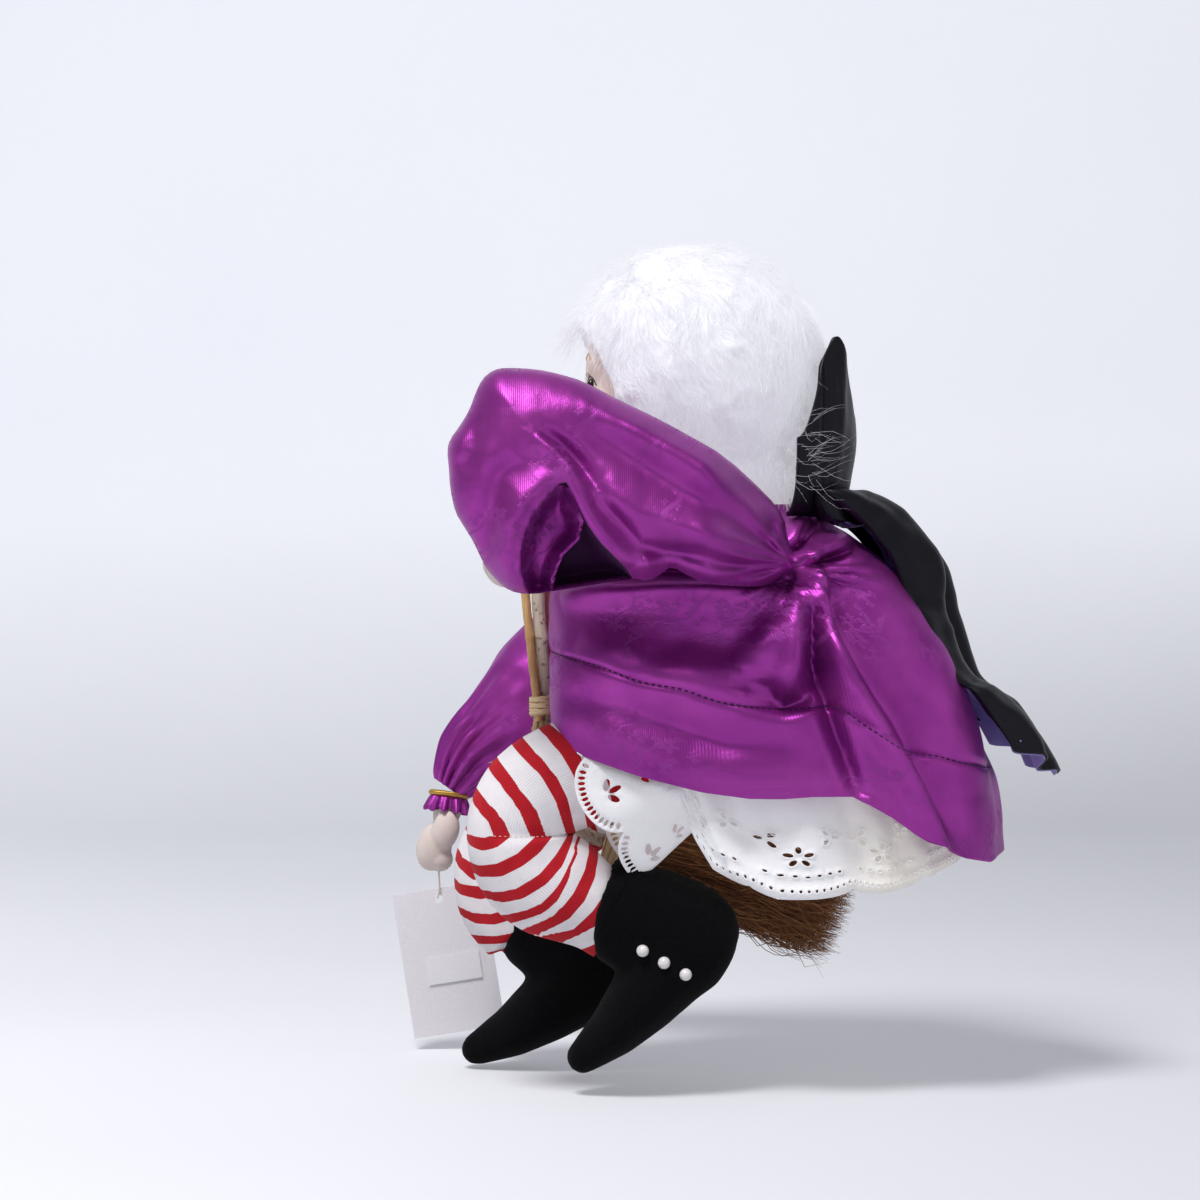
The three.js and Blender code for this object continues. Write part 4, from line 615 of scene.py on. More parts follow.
def soft_from(whole, name, finish, voxel_mm, smooth, swell_mm=0.0):
    """Melts overlapping closed shapes into one even mesh, relaxed as often as smooth says."""
    made = link_in(name, mesh_from(whole, name))
    remesh = made.modifiers.new("even mesh", "REMESH")
    remesh.mode, remesh.voxel_size = "VOXEL", voxel_mm * MM
    relax = made.modifiers.new("relax", "SMOOTH")
    relax.factor, relax.iterations = 0.5, smooth
    graph = bpy.context.evaluated_depsgraph_get()
    mesh = bpy.data.meshes.new_from_object(made.evaluated_get(graph), preserve_all_data_layers=True, depsgraph=graph)
    made.modifiers.clear()
    made.data = mesh
    made.data.materials.clear()
    made.data.materials.append(finish)
    made.data.polygons.foreach_set("use_smooth", [True] * len(made.data.polygons))
    if swell_mm:
        move_points(made, lambda p, n: p + n * (swell_mm * MM))
    return made


def stuffed(name, nodes, body, finish, slot, voxel_mm, smooth, swell_mm=0.0):
    """A stuffed piece from the CAD solids that it stands for: remeshed evenly, then relaxed until it is round."""
    whole = bmesh.new()
    for each in nodes:
        whole.from_mesh(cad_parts[each].data)
    made = settle(soft_from(whole, name, finish, voxel_mm, smooth, swell_mm), body, slot, *nodes)
    return made


def move_points(made, how):
    """Moves each point of a mesh by how(place, normal)."""
    mesh = made.data
    moved = [how(v.co.copy(), v.normal.copy()) for v in mesh.vertices]
    for v, p in zip(mesh.vertices, moved):
        v.co = p
    mesh.update()


def join_meshes(name, pieces, finish):
    """One object from several, which is easier to ride and to export than hundreds."""
    joined = bmesh.new()
    for piece in pieces:
        joined.from_mesh(piece.data)
        mesh = piece.data
        bpy.data.objects.remove(piece)
        bpy.data.meshes.remove(mesh)
    mesh = mesh_from(joined, name)
    mesh.materials.append(finish)
    mesh.polygons.foreach_set("use_smooth", [True] * len(mesh.polygons))
    return link_in(name, mesh)


def strand_mesh(name, paths, radii, finish, sides, tones):
    """Many thin tapered strands as one mesh. paths holds strands by steps by 3, in metres; tones one number each."""
    paths = np.asarray(paths, dtype=float)
    count, steps, _ = paths.shape
    along = np.gradient(paths, axis=1)
    along /= np.linalg.norm(along, axis=2, keepdims=True) + 1e-12
    helper = np.where(np.abs(along[..., 2:3]) < 0.9, [[[0.0, 0.0, 1.0]]], [[[1.0, 0.0, 0.0]]])
    side = np.cross(along, helper)
    side /= np.linalg.norm(side, axis=2, keepdims=True) + 1e-12
    up = np.cross(side, along)
    angles = 2 * np.pi * np.arange(sides) / sides
    shape = np.linspace(1, 0, steps) ** 0.6 * 0.85 + 0.15
    r = np.asarray(radii)[:, None, None, None] * shape[None, :, None, None]
    ring = paths[:, :, None, :] + r * (np.cos(angles)[None, None, :, None] * side[:, :, None, :]
                                       + np.sin(angles)[None, None, :, None] * up[:, :, None, :])
    points = ring.reshape(-1, 3)
    base = np.arange(count)[:, None, None] * steps * sides
    j, k = np.meshgrid(np.arange(steps - 1), np.arange(sides), indexing="ij")
    a, b = j * sides + k, j * sides + (k + 1) % sides
    quads = np.stack([a, b, b + sides, a + sides], axis=-1).reshape(-1, 4)
    faces = (base + quads[None]).reshape(-1, 4)
    tone = np.repeat(np.asarray(tones), steps * sides)
    share = np.tile(np.repeat(np.linspace(0, 1, steps), sides), count)
    return add_object(name, points.tolist(), faces.tolist(), finish, np.stack([tone, share], axis=1))


random.seed(11)
chance = np.random.default_rng(11)
print("tools ready")

# %% [markdown]
# Folds are read off the photograph as lines of pixels. Each has a height and a width, and is pressed into the cloth
# on both sides of the doll, so the far side carries the mirrored folds of the side that shows.

# %% Folds from lines


def pixel(p):
    """Where a place in metres would show in the photograph, the far side folded over to the near one."""
    scale = PIXEL * (1 - abs(p[1]) / EYE_DISTANCE)
    return 600 + (p[0] - AIM.x) / scale, 600 - (p[2] - AIM.z) / scale


def beside(line, x, y):
    """Distance to a polyline, the share along it, and on which side the point lies."""
    best, share, side = 1e9, 0.0, 1.0
    last = len(line) - 1
    for i in range(last):
        ax, ay = line[i]
        bx, by = line[i + 1]
        dx, dy = bx - ax, by - ay
        t = min(max(((x - ax) * dx + (y - ay) * dy) / (dx * dx + dy * dy), 0.0), 1.0)
        gap = math.hypot(x - ax - t * dx, y - ay - t * dy)
        if gap < best:
            best, share = gap, (i + t) / last
            side = math.copysign(1.0, dx * (y - ay) - dy * (x - ax))
    return best, share, side


def relief(folds, x, y):
    """The sum of all folds at a pixel, in mm. A fold is (height, width, taper, line).
    A third kind, where the width is a pair, is a fold that is steep on one side and soft on the other."""
    total = 0.0
    for height, width, taper, line in folds:
        gap, share, side = beside(line, x, y)
        w = width if not isinstance(width, tuple) else width[0] if side > 0 else width[1]
        if gap < 3.2 * w:
            ends = math.sin(math.pi * min(max(share, 0.02), 0.98)) ** taper if taper else 1.0
            total += height * ends * math.exp(-(gap / w) ** 2)
    return total


def table(pairs, x):
    """Straight interpolation through (x, value) pairs."""
    return float(np.interp(x, [p[0] for p in pairs], [p[1] for p in pairs]))


def stitches(name, points, finish, pitch_mm, length_mm, radius_mm, body):
    """A row of short threads along a line in metres, one run of the needle each, on a body."""
    line = [Vector(p) for p in points]
    runs = [(b - a).length for a, b in zip(line, line[1:])]
    total = sum(runs)
    pieces = []

    def at(s):
        s = min(max(s, 0.0), total - 1e-9)
        for a, b, run in zip(line, line[1:], runs):
            if s <= run:
                return a.lerp(b, s / run)
            s -= run
        return line[-1]

    count = max(int(total / (pitch_mm * MM)), 1)
    for i in range(count):
        s = (i + 0.5) * total / count
        half = length_mm * MM / 2
        pieces.append(tube_mesh(f"{name}_{i}", [at(s - half), at(s), at(s + half)], radius_mm * MM, finish, 5,
                                [0.6, 1, 0.6]))
    settle(join_meshes(name, pieces, finish), body)


print("the middle plane's centre shows at pixel", [round(x) for x in pixel(AIM)])

# %% [markdown]
# ## Dress
# The dress is a wide bell of satin damask, gathered at the neck and into both armholes, with a deep hem that is
# turned up and sewn once round. Gathers run out of the armhole like rays. Below it one loose fold hangs in a loop
# and a long one runs to the hem. A bell of even size with these folds pressed in keeps the photograph's outline.

# %% Dress
ARMHOLE_PIXEL = (797, 570)
DRESS_TOP, DRESS_LOWEST = -118, -276
DRESS_FRONT = [-24, -59, -64, -64, -63, -62.5, -62]
DRESS_BACK = [52, 84, 102, 117, 128, 137, 138]
DRESS_HALF = [24, 47, 56, 64, 68, 68, 67.5]
DRESS_HEM = [(-62, -221), (-60, -223), (-23, -235.5), (3, -242), (29, -245.5), (50, -244), (68, -244), (84, -253),
             (100, -264), (118, -272), (130, -275), (139, -272)]
HEM_STITCH = [(545, 648), (560, 655), (600, 667), (640, 682), (682, 690), (723, 703), (777, 709), (798, 709),
              (836, 707), (865, 726), (907, 751), (940, 757), (982, 767), (1004, 764)]
DRESS_FOLDS = [
    (6.0, (11, 22), 0.5, [(806, 566), (800, 600), (779, 624), (755, 650), (742, 674)]),
    (7.5, 17, 0.8, [(805, 590), (797, 640), (790, 672), (776, 692)]),
    (-7.0, (9, 16), 0.5, [(742, 676), (757, 690), (784, 706), (806, 700), (814, 670)]),
    (-8.0, (13, 7), 0.4, [(804, 590), (813, 617), (818, 659), (838, 724), (862, 792)]),
    (7.0, (11, 7), 0.3, [(807, 560), (817, 600), (830, 640), (850, 684), (884, 740), (912, 786), (940, 846)]),
    (-5.0, (10, 18), 0.6, [(818, 590), (838, 624), (864, 668), (899, 720), (930, 782), (962, 850)]),
    (5.5, 24, 0.7, [(818, 556), (870, 580), (920, 640), (957, 720), (985, 800)]),
    (6.5, (18, 11), 0.6, [(560, 600), (610, 590), (660, 586), (712, 584), (765, 590), (794, 599)]),
    (-6.5, 10, 0.5, [(610, 578), (660, 574), (712, 574), (765, 580), (796, 588)]),
    (-4.0, 22, 0.8, [(640, 660), (690, 640), (735, 646), (752, 660)]),
    (3.5, 24, 0.8, [(575, 640), (630, 664), (700, 680), (745, 694)]),
    (-3.0, 16, 0.8, [(560, 690), (640, 716), (720, 742), (800, 748)]),
    (5.0, 8, 0.5, [(804, 512), (788, 530), (783, 556)]),
    (-5.0, 6, 0.5, [(826, 530), (805, 544), (787, 553)]),
    (4.5, 9, 0.6, [(848, 534), (822, 546), (800, 562)]),
    (-5.5, 6, 0.5, [(846, 556), (820, 560), (800, 570)]),
    (-1.0, 3.5, 0, HEM_STITCH),
]
PUCKER_RAYS, FOLD_GAIN = 21, 1.6


def hem_z(x):
    return table(DRESS_HEM, x)


def dress_point(u, v):
    """A bell with squarish corners in front, its folds pressed outward, in metres."""
    a = 2 * math.pi * u
    c, s = math.cos(a), math.sin(a)
    front, back, half = (float(smooth_list(levels, v)) for levels in (DRESS_FRONT, DRESS_BACK, DRESS_HALF))
    square = mix(0.86, 0.5, ease(v, 0.25, 0.8)) if c < 0 else 0.86
    x = (front + back) / 2 + (back - front) / 2 * math.copysign(abs(c) ** square, c)
    y = half * math.copysign(abs(s) ** square, s)
    z = mix(DRESS_TOP, hem_z(x), v)
    if c < 0:
        x += 9 * (1 - ease(abs(y), 5, 20)) * ease(-c, 0.3, 0.9)
    outward = Vector((c * half, s * (back - front) / 2, 0.12 * half)).normalized()
    px, py = pixel((x * MM, y * MM, z * MM))
    sideways = ease(abs(y), 6, 34)
    height = FOLD_GAIN * relief(DRESS_FOLDS, px, py) * sideways
    away = math.hypot(px - ARMHOLE_PIXEL[0], py - ARMHOLE_PIXEL[1])
    ray = math.atan2(py - ARMHOLE_PIXEL[1], px - ARMHOLE_PIXEL[0])
    wave = math.cos(ray * PUCKER_RAYS + 2.4 * math.sin(ray * 5))
    height += 1.7 * wave * ease(away, 3, 16) * (1 - ease(away, 26, 92)) * sideways
    height -= 3 * math.exp(-(away / 12) ** 2) * sideways
    lower = ease(v, 0.35, 1)
    height += 2.2 * lower * math.cos(9 * a + 0.6 * math.sin(3 * a)) * (1 - 0.75 * sideways)
    height += 1.5 * wrinkle((x * MM, y * MM, z * MM), 34, 3.1) + 0.5 * wrinkle((x * MM, y * MM, z * MM), 11, 7.7)
    p = Vector((x, y, z)) + outward * height
    p.z = max(p.z, DRESS_LOWEST)
    return p * MM


dress = cloth_sheet("dress_cloth", dress_point, 300, 150, purple_damask, (0.52, 0.158))
settle(dress, "torso_body", "purple_satin", "dress")

# %% [markdown]
# The hem's stitches are sewn with a darker thread. The line is found on the cloth by looking along the camera's
# direction through each pixel of the stitch line, on the near side, and mirrored to the far side.

# %% Hem stitches
from mathutils.bvhtree import BVHTree


def cloth_tree(made):
    """Finds places on a cloth as it shows, with its thickness."""
    return BVHTree.FromObject(made, bpy.context.evaluated_depsgraph_get())


def onto(tree, px, py, lift_mm=0.3, far=False):
    """The place on the near side of a mesh that a pixel shows, or its mirrored place on the far side."""
    eye = camera.location
    way = (spot(px, py, 0) - eye).normalized()
    start = eye
    if far:
        start, way = Vector((eye.x, -eye.y, eye.z)), Vector((way.x, -way.y, way.z))
    hit = tree.ray_cast(start, way)[0]
    return hit - way * (lift_mm * MM) if hit else None


def pixel_line(line, count):
    """Evenly many pixels on a polyline."""
    return [tuple(smooth_list(line, i / (count - 1))) for i in range(count)]


dress_tree = cloth_tree(dress)
for side in ("near", "far"):
    places = [onto(dress_tree, px, py, 0.35, side == "far") for px, py in pixel_line(HEM_STITCH, 260)]
    stitches(f"hem_stitches_{side}", [p for p in places if p], dark_thread, 2.9, 1.9, 0.3, "torso_body")
print("hem sewn")

# %% [markdown]
# ## Near sleeve
# The near sleeve is one big puff of satin, pushed up by the bent arm. Its outline is the largest shape in the
# photograph, so the puff is cut to that outline and blown up like a cushion on both sides.
# Its cuff faces down and away: a hollow with the turned-in cloth and a hem edge that shows in it.
# The folds are pressed in as on the dress, and the cloth is thin: it is a skin, not a block.

# %% Near sleeve
SLEEVE_OUTLINE = [
    (447, 450), (449, 470), (450, 488), (455, 512), (463, 525), (473, 541), (480, 556), (487, 570), (503, 587),
    (517, 593.5), (536, 594), (547, 592), (560, 590), (585, 586), (610, 582), (632, 578), (650, 581), (661, 574),
    (672, 566), (690, 577), (709, 584), (748, 587), (768, 586), (781, 577), (792, 569), (794, 558),
    (788, 540), (784, 516), (767, 495), (725, 456), (690, 436), (655, 417), (621, 401),
    (583, 381), (560, 374), (536, 369), (505, 367.5), (493, 370), (482, 379), (475, 394), (469, 411), (459, 427),
    (450, 439),
]
LIP_START = [(520, 572), (520, 552), (524, 533), (533, 513), (546, 497), (558, 484)]
MOUTH_LIP = [(529, 596)] + LIP_START + [(566, 482), (576, 502), (588, 526), (600, 542), (613, 555), (626, 568),
                                        (634, 580)]
SLEEVE_MOUTH = MOUTH_LIP + [(634, 600), (529, 600)]
INNER_HEM = [(569, 488), (584, 522), (579, 540), (564, 555), (557, 572), (553, 590)]
INNER_CLOTH = [(529, 600)] + LIP_START + INNER_HEM + [(552, 600)]
SLEEVE_FOLDS = [
    (5.0, (9, 16), 0.5, [(505, 586), (506, 555), (512, 520), (526, 498), (546, 482), (566, 476)]),
    (-4.5, 12, 0.7, [(486, 562), (488, 520), (498, 480), (520, 456)]),
    (-5.0, (4, 10), 0.5, [(539, 429), (555, 441), (567, 452), (582, 468), (598, 488)]),
    (4.0, (12, 6), 0.5, [(532, 434), (556, 452), (574, 474), (590, 500)]),
    (5.0, (10, 9), 0.4, [(566, 478), (578, 496), (592, 520), (612, 546), (634, 568)]),
    (-5.5, 15, 0.4, [(575, 425), (613, 448), (655, 475), (709, 506), (778, 552)]),
    (5.0, 15, 0.4, [(590, 404), (640, 428), (700, 462), (752, 506), (784, 548)]),
    (4.5, 14, 0.4, [(596, 480), (640, 512), (688, 530), (740, 546), (786, 562)]),
    (-5.0, (9, 7), 0.5, [(600, 500), (640, 545), (668, 552), (700, 556), (752, 570), (784, 568)]),
    (3.0, 9, 0.6, [(640, 560), (655, 572)]),
    (-3.0, 10, 0.6, [(470, 412), (476, 440), (468, 462), (455, 470)]),
    (-2.5, 9, 0.5, [(776, 520), (770, 540), (782, 556)]),
    (3.0, 7, 0.5, [(786, 520), (780, 538), (788, 556)]),
]
SLEEVE_MIDDLE, SLEEVE_ARMHOLE_MIDDLE = -79.0, -54.0
SLEEVE_HALF, SLEEVE_ARMHOLE_HALF = 23.0, 13.0
SLEEVE_ROUND = 27.0
MOUTH_DEPTH, FLAP_DEPTH, HEM_ROLL = 27.0, 24, 15
GATHER_PIXEL = (795, 564)
SLEEVE_STEP = 2.4


def inside(line, x, y):
    """Whether a point lies in a closed line."""
    found = False
    for (ax, ay), (bx, by) in zip(line, line[1:] + line[:1]):
        if (ay > y) != (by > y) and x < (bx - ax) * (y - ay) / (by - ay) + ax:
            found = not found
    return found


def middle_of(flat, face):
    """The middle of a face's corners, in the plane."""
    return [sum(flat[i][axis] for i in face) / len(face) for axis in (0, 1)]


def dense(line, step, closed=True):
    """A line with points no further apart than step."""
    out = []
    for (ax, ay), (bx, by) in zip(line, line[1:] + line[:1] if closed else line[1:]):
        count = max(int(math.ceil(math.hypot(bx - ax, by - ay) / step)), 1)
        out += [(mix(ax, bx, i / count), mix(ay, by, i / count)) for i in range(count)]
    return out


def round_off(line, times=2):
    """A smoother closed line, cut at its corners."""
    for _ in range(times):
        line = [(mix(a[0], b[0], t), mix(a[1], b[1], t))
                for a, b in zip(line, line[1:] + line[:1]) for t in (0.25, 0.75)]
    return line


def fill_outline(line, step, cuts=()):
    """Points and triangles that fill a closed line evenly, with edges along each cut. The line's own points lead."""
    rim = dense(line, step)
    points, seams = list(rim), []
    for cut in cuts:
        first = len(points)
        points += [p for p in dense(cut, step, False) if inside(rim, *p) and beside(rim + rim[:1], *p)[0] > 1.2]
        seams += [(i, i + 1) for i in range(first, len(points) - 1)]
    fixed = list(points)
    xs, ys = [p[0] for p in rim], [p[1] for p in rim]
    row, y = 0, min(ys) + step / 2
    while y < max(ys):
        x = min(xs) + (step / 2 if row % 2 else 0)
        while x < max(xs):
            if inside(rim, x, y) and min(math.hypot(x - a, y - b) for a, b in fixed) > 0.55 * step:
                points.append((x, y))
            x += step
        y += step * 0.866
        row += 1
    edges = [(i, (i + 1) % len(rim)) for i in range(len(rim))] + seams
    out = geometry.delaunay_2d_cdt([Vector(p) for p in points], edges, [], 0, 1e-4)
    flat = [tuple(p) for p in out[0]]
    return flat, [tuple(face) for face in out[2] if inside(rim, *middle_of(flat, face))], len(rim)


def sleeve_swell(px, edge):
    """The middle depth of the puff at a pixel, how far each side swells from it, and the share of a full swell."""
    to_arm = ease(px, 700, 790)
    rise = math.sqrt(max(1 - (1 - min(edge / SLEEVE_ROUND, 1)) ** 2, 0))
    return (mix(SLEEVE_MIDDLE, SLEEVE_ARMHOLE_MIDDLE, to_arm), mix(SLEEVE_HALF, SLEEVE_ARMHOLE_HALF, to_arm) * rise,
            rise)


def sleeve_near(px, py, edge):
    """Depth y, in mm, of the near side of the sleeve."""
    middle, swell, _ = sleeve_swell(px, edge)
    height = relief(SLEEVE_FOLDS, px, py) * min(edge / 7, 1)
    height += 0.9 * noise.noise(Vector((px / 60, py / 60, 2.2))) + 0.35 * noise.noise(Vector((px / 17, py / 17, 5.1)))
    away = math.hypot(px - GATHER_PIXEL[0], py - GATHER_PIXEL[1])
    ray = math.atan2(py - GATHER_PIXEL[1], px - GATHER_PIXEL[0])
    gather = math.cos(ray * 19 + 1.5 * math.sin(ray * 4))
    height += 1.6 * gather * ease(away, 4, 20) * (1 - ease(away, 30, 100)) * min(edge / 5, 1)
    depth = 0.0
    if inside(SLEEVE_MOUTH, px, py):
        rim_gap, hem_gap = beside(MOUTH_LIP, px, py)[0], beside(INNER_HEM, px, py)[0]
        if inside(INNER_CLOTH, px, py):
            depth = FLAP_DEPTH * (1 - math.exp(-rim_gap / 5.0))
            depth -= HEM_ROLL * math.exp(-(hem_gap / 9) ** 2) * ease(rim_gap, 0, 8)
        else:
            depth = MOUTH_DEPTH * (1 - math.exp(-rim_gap / 5.0))
    return middle - swell - height + depth


def sleeve_far(px, py, edge):
    middle, swell, rise = sleeve_swell(px, edge)
    return middle + swell + 2.0 * rise * noise.noise(Vector((px / 32, py / 32, 9.4)))


def build_near_sleeve():
    """A near and a far skin that share their rim. The hollow's bare inside shows the satin's wrong side, its colour
    darkened to near black as painted shade.
    """
    outline = round_off(SLEEVE_OUTLINE, 1)
    flat, faces, rim_count = fill_outline(outline, SLEEVE_STEP, (MOUTH_LIP, INNER_HEM))
    loop = outline + outline[:1]
    points, uvs, far_side = [], [], []
    depth_scale = PIXEL * 0.95
    for i, (px, py) in enumerate(flat):
        edge = 0.0 if i < rim_count else beside(loop, px, py)[0] * 0.43
        far = sleeve_far(px, py, edge)
        points.append(spot(px, py, min(sleeve_near(px, py, edge), far - (0.0 if i < rim_count else 1.4))))
        uvs.append((px * depth_scale, py * depth_scale))
        if i >= rim_count:
            behind = spot(px, py, SLEEVE_MIDDLE)
            far_side.append((Vector((behind.x, far * MM, behind.z)), (0.4 - px * depth_scale, py * depth_scale)))
    other = [i if i < rim_count else i + len(far_side) for i in range(len(flat))]
    points += [p for p, _ in far_side]
    uvs += [uv for _, uv in far_side]
    back = [tuple(reversed([other[k] for k in f])) for f in faces]
    made = add_object("left_sleeve_cloth", points, faces + back, purple_damask, uvs)
    # The second finish is the satin's wrong side, darkened as painted shade of the hollow; faces inside the hollow take
    # it.
    made.data.materials.append(satin_back_in_painted_shade)
    for polygon in made.data.polygons:
        if all(k < len(flat) for k in polygon.vertices):
            place = middle_of(flat, polygon.vertices)
            if inside(SLEEVE_MOUTH, *place) and not inside(INNER_CLOTH, *place):
                polygon.material_index = 1
    turn_out(made)
    thicken(made, 0.6)
    return made


near_sleeve = build_near_sleeve()
settle(near_sleeve, "left_arm_body", "purple_satin", "left_sleeve")

# %% [markdown]
# ## Body, arms and hands
# Under the clothes are plain muslin limbs, sewn from two halves and stuffed hard. Each is made from its CAD solid,
# remeshed and relaxed until it is as round as stuffing makes it. The near forearm and hand are one piece. The far
# hand shows: a mitten with a thumb and a seam round its edge.

# %% Torso, arms and hands
stuffed("torso_stuffed", ["torso"], "torso_body", muslin, "muslin", 2.6, 10)
near_upper_arm = stuffed("left_upper_arm_stuffed", ["left_upper_arm"], "left_arm_body", muslin, "muslin", 2.2, 14, -2.5)
far_arm = stuffed("right_arm_stuffed", ["right_arm"], "right_arm_body", muslin, "muslin", 2.2, 14, -1.8)
FAR_HAND_LUMPS = [
    ((-120.2, 88.5, -278.5), (8.4, 6.6, 12.0), 16), ((-114.6, 84.0, -270.5), (6.6, 5.2, 9.6), 14),
    ((-114.0, 90.0, -262.0), (6.6, 6.0, 9.0), 24), ((-117.6, 88.0, -284.5), (6.4, 5.4, 6.0), 0),
]


def build_far_hand():
    """A mitten of four overlapping egg shapes, melted together so that a crease stays beside the thumb."""
    whole = bmesh.new()
    for place, radii, lean in FAR_HAND_LUMPS:
        matrix = (Matrix.Translation(Vector(place) * MM) @ Matrix.Rotation(math.radians(lean), 4, "Y")
                  @ Matrix.Diagonal((radii[0] * MM, radii[1] * MM, radii[2] * MM, 1)))
        bmesh.ops.create_uvsphere(whole, u_segments=40, v_segments=28, radius=1, matrix=matrix)
    return soft_from(whole, "right_hand_stuffed", muslin_limb, 0.7, 5)


hands = {
    "left": stuffed("left_hand_stuffed", ["left_forearm", "left_hand"], "left_arm_body", muslin_limb, "muslin", 1.1, 14,
                    0.5),
    "right": settle(build_far_hand(), "right_arm_body", "muslin", "right_hand"),
}
move_points(near_upper_arm, lambda p, n: p + Vector((0, 16 * MM * ease(p.x, 24 * MM, 40 * MM), 0)))
NEAR_HAND_SHIFT = Vector((0.5, 0, -4)) * MM
move_points(hands["left"], lambda p, n: p + NEAR_HAND_SHIFT)
print("limbs stuffed")

# %% Hand seams
HAND_SEAM_TOP = {"left": -136, "right": -262}


def hand_seam(side):
    """Stitches round a mitten's edge, in the plane that halves it."""
    places = [v.co for v in hands[side].data.vertices]
    x, y = ((min(p[axis] for p in places) + max(p[axis] for p in places)) / 2 for axis in (0, 1))
    centre = Vector((x, y, (HAND_SEAM_TOP[side] * MM + min(p.z for p in places)) / 2))
    tree = cloth_tree(hands[side])
    places = []
    for i in range(40):
        a = math.pi * (1.0 + i / 39)
        way = Vector((math.cos(a), 0, math.sin(a)))
        hit = tree.ray_cast(centre + way * 0.06, -way)[0]
        if hit:
            places.append(hit + way * (0.1 * MM))
    stitches(f"{side}_hand_seam", places, thread, 1.9, 1.1, 0.14, f"{side}_arm_body")


for side in ("right", "left"):
    hand_seam(side)
print("hands sewn")

# %% [markdown]
# ## Far sleeve, cuff and frill
# The far sleeve hangs full and is gathered into the wrist by a band of gold elastic. Below the band the cloth flares
# out in a small frill. Gathers start at the band and fade up the sleeve.

# %% Far sleeve
FAR_WRIST, FAR_FINGERS = Vector((-113, 92, -252)), Vector((-118, 88, -287))
FAR_SLEEVE_ROUTE = [(47, 38, -138), (4, 80, -164), (-34, 97, -187), (-66, 97, -210), (-98, 94, -231), (-113, 92, -251)]
FAR_SLEEVE_HIGH = [13.5, 27, 37, 34, 19, 8.4]
FAR_SLEEVE_WIDE = [13.5, 18, 23, 23, 15, 8.4]
SLEEVE_GATHERS = 13


def loft_point(route, high, wide, u, v):
    """A place on a tube of oval rings, with its outward direction. route is in mm."""
    at = Vector(smooth_list(route, v))
    ahead, behind = Vector(smooth_list(route, min(v + 0.01, 1))), Vector(smooth_list(route, max(v - 0.01, 0)))
    along = (ahead - behind).normalized()
    up = along.cross(Vector((0, 1, 0))).normalized()
    across = up.cross(along)
    a = 2 * math.pi * u
    h, w = float(smooth_list(high, v)), float(smooth_list(wide, v))
    place = at + up * (h * math.cos(a)) + across * (w * math.sin(a))
    out = (up * (w * math.cos(a)) + across * (h * math.sin(a))).normalized()
    return place, out


def far_sleeve_point(u, v):
    place, out = loft_point(FAR_SLEEVE_ROUTE, FAR_SLEEVE_HIGH, FAR_SLEEVE_WIDE, u, v)
    a = 2 * math.pi * u
    gather = math.cos(SLEEVE_GATHERS * a + 1.5 * math.sin(3 * a))
    height = 1.6 * gather * ease(v, 0.55, 0.93) * (1 - 0.55 * ease(v, 0.95, 1))
    height += 1.2 * gather * (1 - ease(v, 0.04, 0.34)) * ease(v, 0, 0.05)
    crumple = 2.6 * wrinkle(place * MM, 30, 1.3) + 1.1 * wrinkle(place * MM, 12, 5.5)
    height += crumple * ease(v, 0, 0.2) * (1 - ease(v, 0.8, 1))
    return (place + out * height) * MM


far_sleeve = cloth_sheet("right_sleeve_cloth", far_sleeve_point, 150, 120, purple_damask, (0.19, 0.19), thick_mm=0.6)
settle(far_sleeve, "right_arm_body", "purple_satin", "right_sleeve")
HAND_ALONG = (FAR_FINGERS - FAR_WRIST).normalized()
HAND_UP = HAND_ALONG.cross(Vector((0, 1, 0))).normalized()
HAND_ACROSS = HAND_UP.cross(HAND_ALONG)
WRIST_SQUEEZE = 0.3


def squeezed(p, n):
    """The elastic draws the arm in at the wrist."""
    along = (p / MM - FAR_WRIST).dot(HAND_ALONG)
    axis = (FAR_WRIST + HAND_ALONG * along) * MM
    return axis + (p - axis) * (1 - WRIST_SQUEEZE * ease(along, -26, -4))


move_points(far_arm, squeezed)
FRILL_WAVES = 11


def frill_point(u, v):
    a = 2 * math.pi * u
    wave = (1.6 * math.cos(FRILL_WAVES * a + math.sin(2 * a)) + 0.7 * math.cos(23 * a)) * v ** 0.8
    r = mix(7.8, 9.8, v ** 0.6) + wave
    along = mix(2.6, 9.8, v) + 0.9 * math.sin(FRILL_WAVES * a + 1.1) * v
    place = FAR_WRIST + HAND_ALONG * along + HAND_UP * (r * math.cos(a)) + HAND_ACROSS * (r * 0.95 * math.sin(a))
    return place * MM


frill = cloth_sheet("right_cuff_frill_cloth", frill_point, 220, 10, purple_damask, (0.16, 0.012), thick_mm=0.5)
settle(frill, "right_arm_body", "purple_satin", "right_cuff_frill")

# %% [markdown]
# The gold elastic is a narrow braid: metal yarn wound over rubber. Three yarns twisted round one ring make it.

# %% Gold band
BAND_TURNS = 26


def build_band():
    strands = []
    for k in range(3):
        line = []
        for i in range(241):
            a = 2 * math.pi * i / 240
            twist = BAND_TURNS * a + 2 * math.pi * k / 3
            r, along = 8.7 + 0.75 * math.cos(twist), 1.8 + 0.75 * math.sin(twist)
            place = FAR_WRIST + HAND_ALONG * along + HAND_UP * (r * math.cos(a))
            line.append((place + HAND_ACROSS * (r * math.sin(a))) * MM)
        strands.append(tube_mesh(f"band_{k}", line, 0.62 * MM, gold_lurex, 6))
    return join_meshes("right_wrist_band_braid", strands, gold_lurex)


settle(build_band(), "right_arm_body", "gold_elastic", "right_wrist_band")
print("far arm dressed")

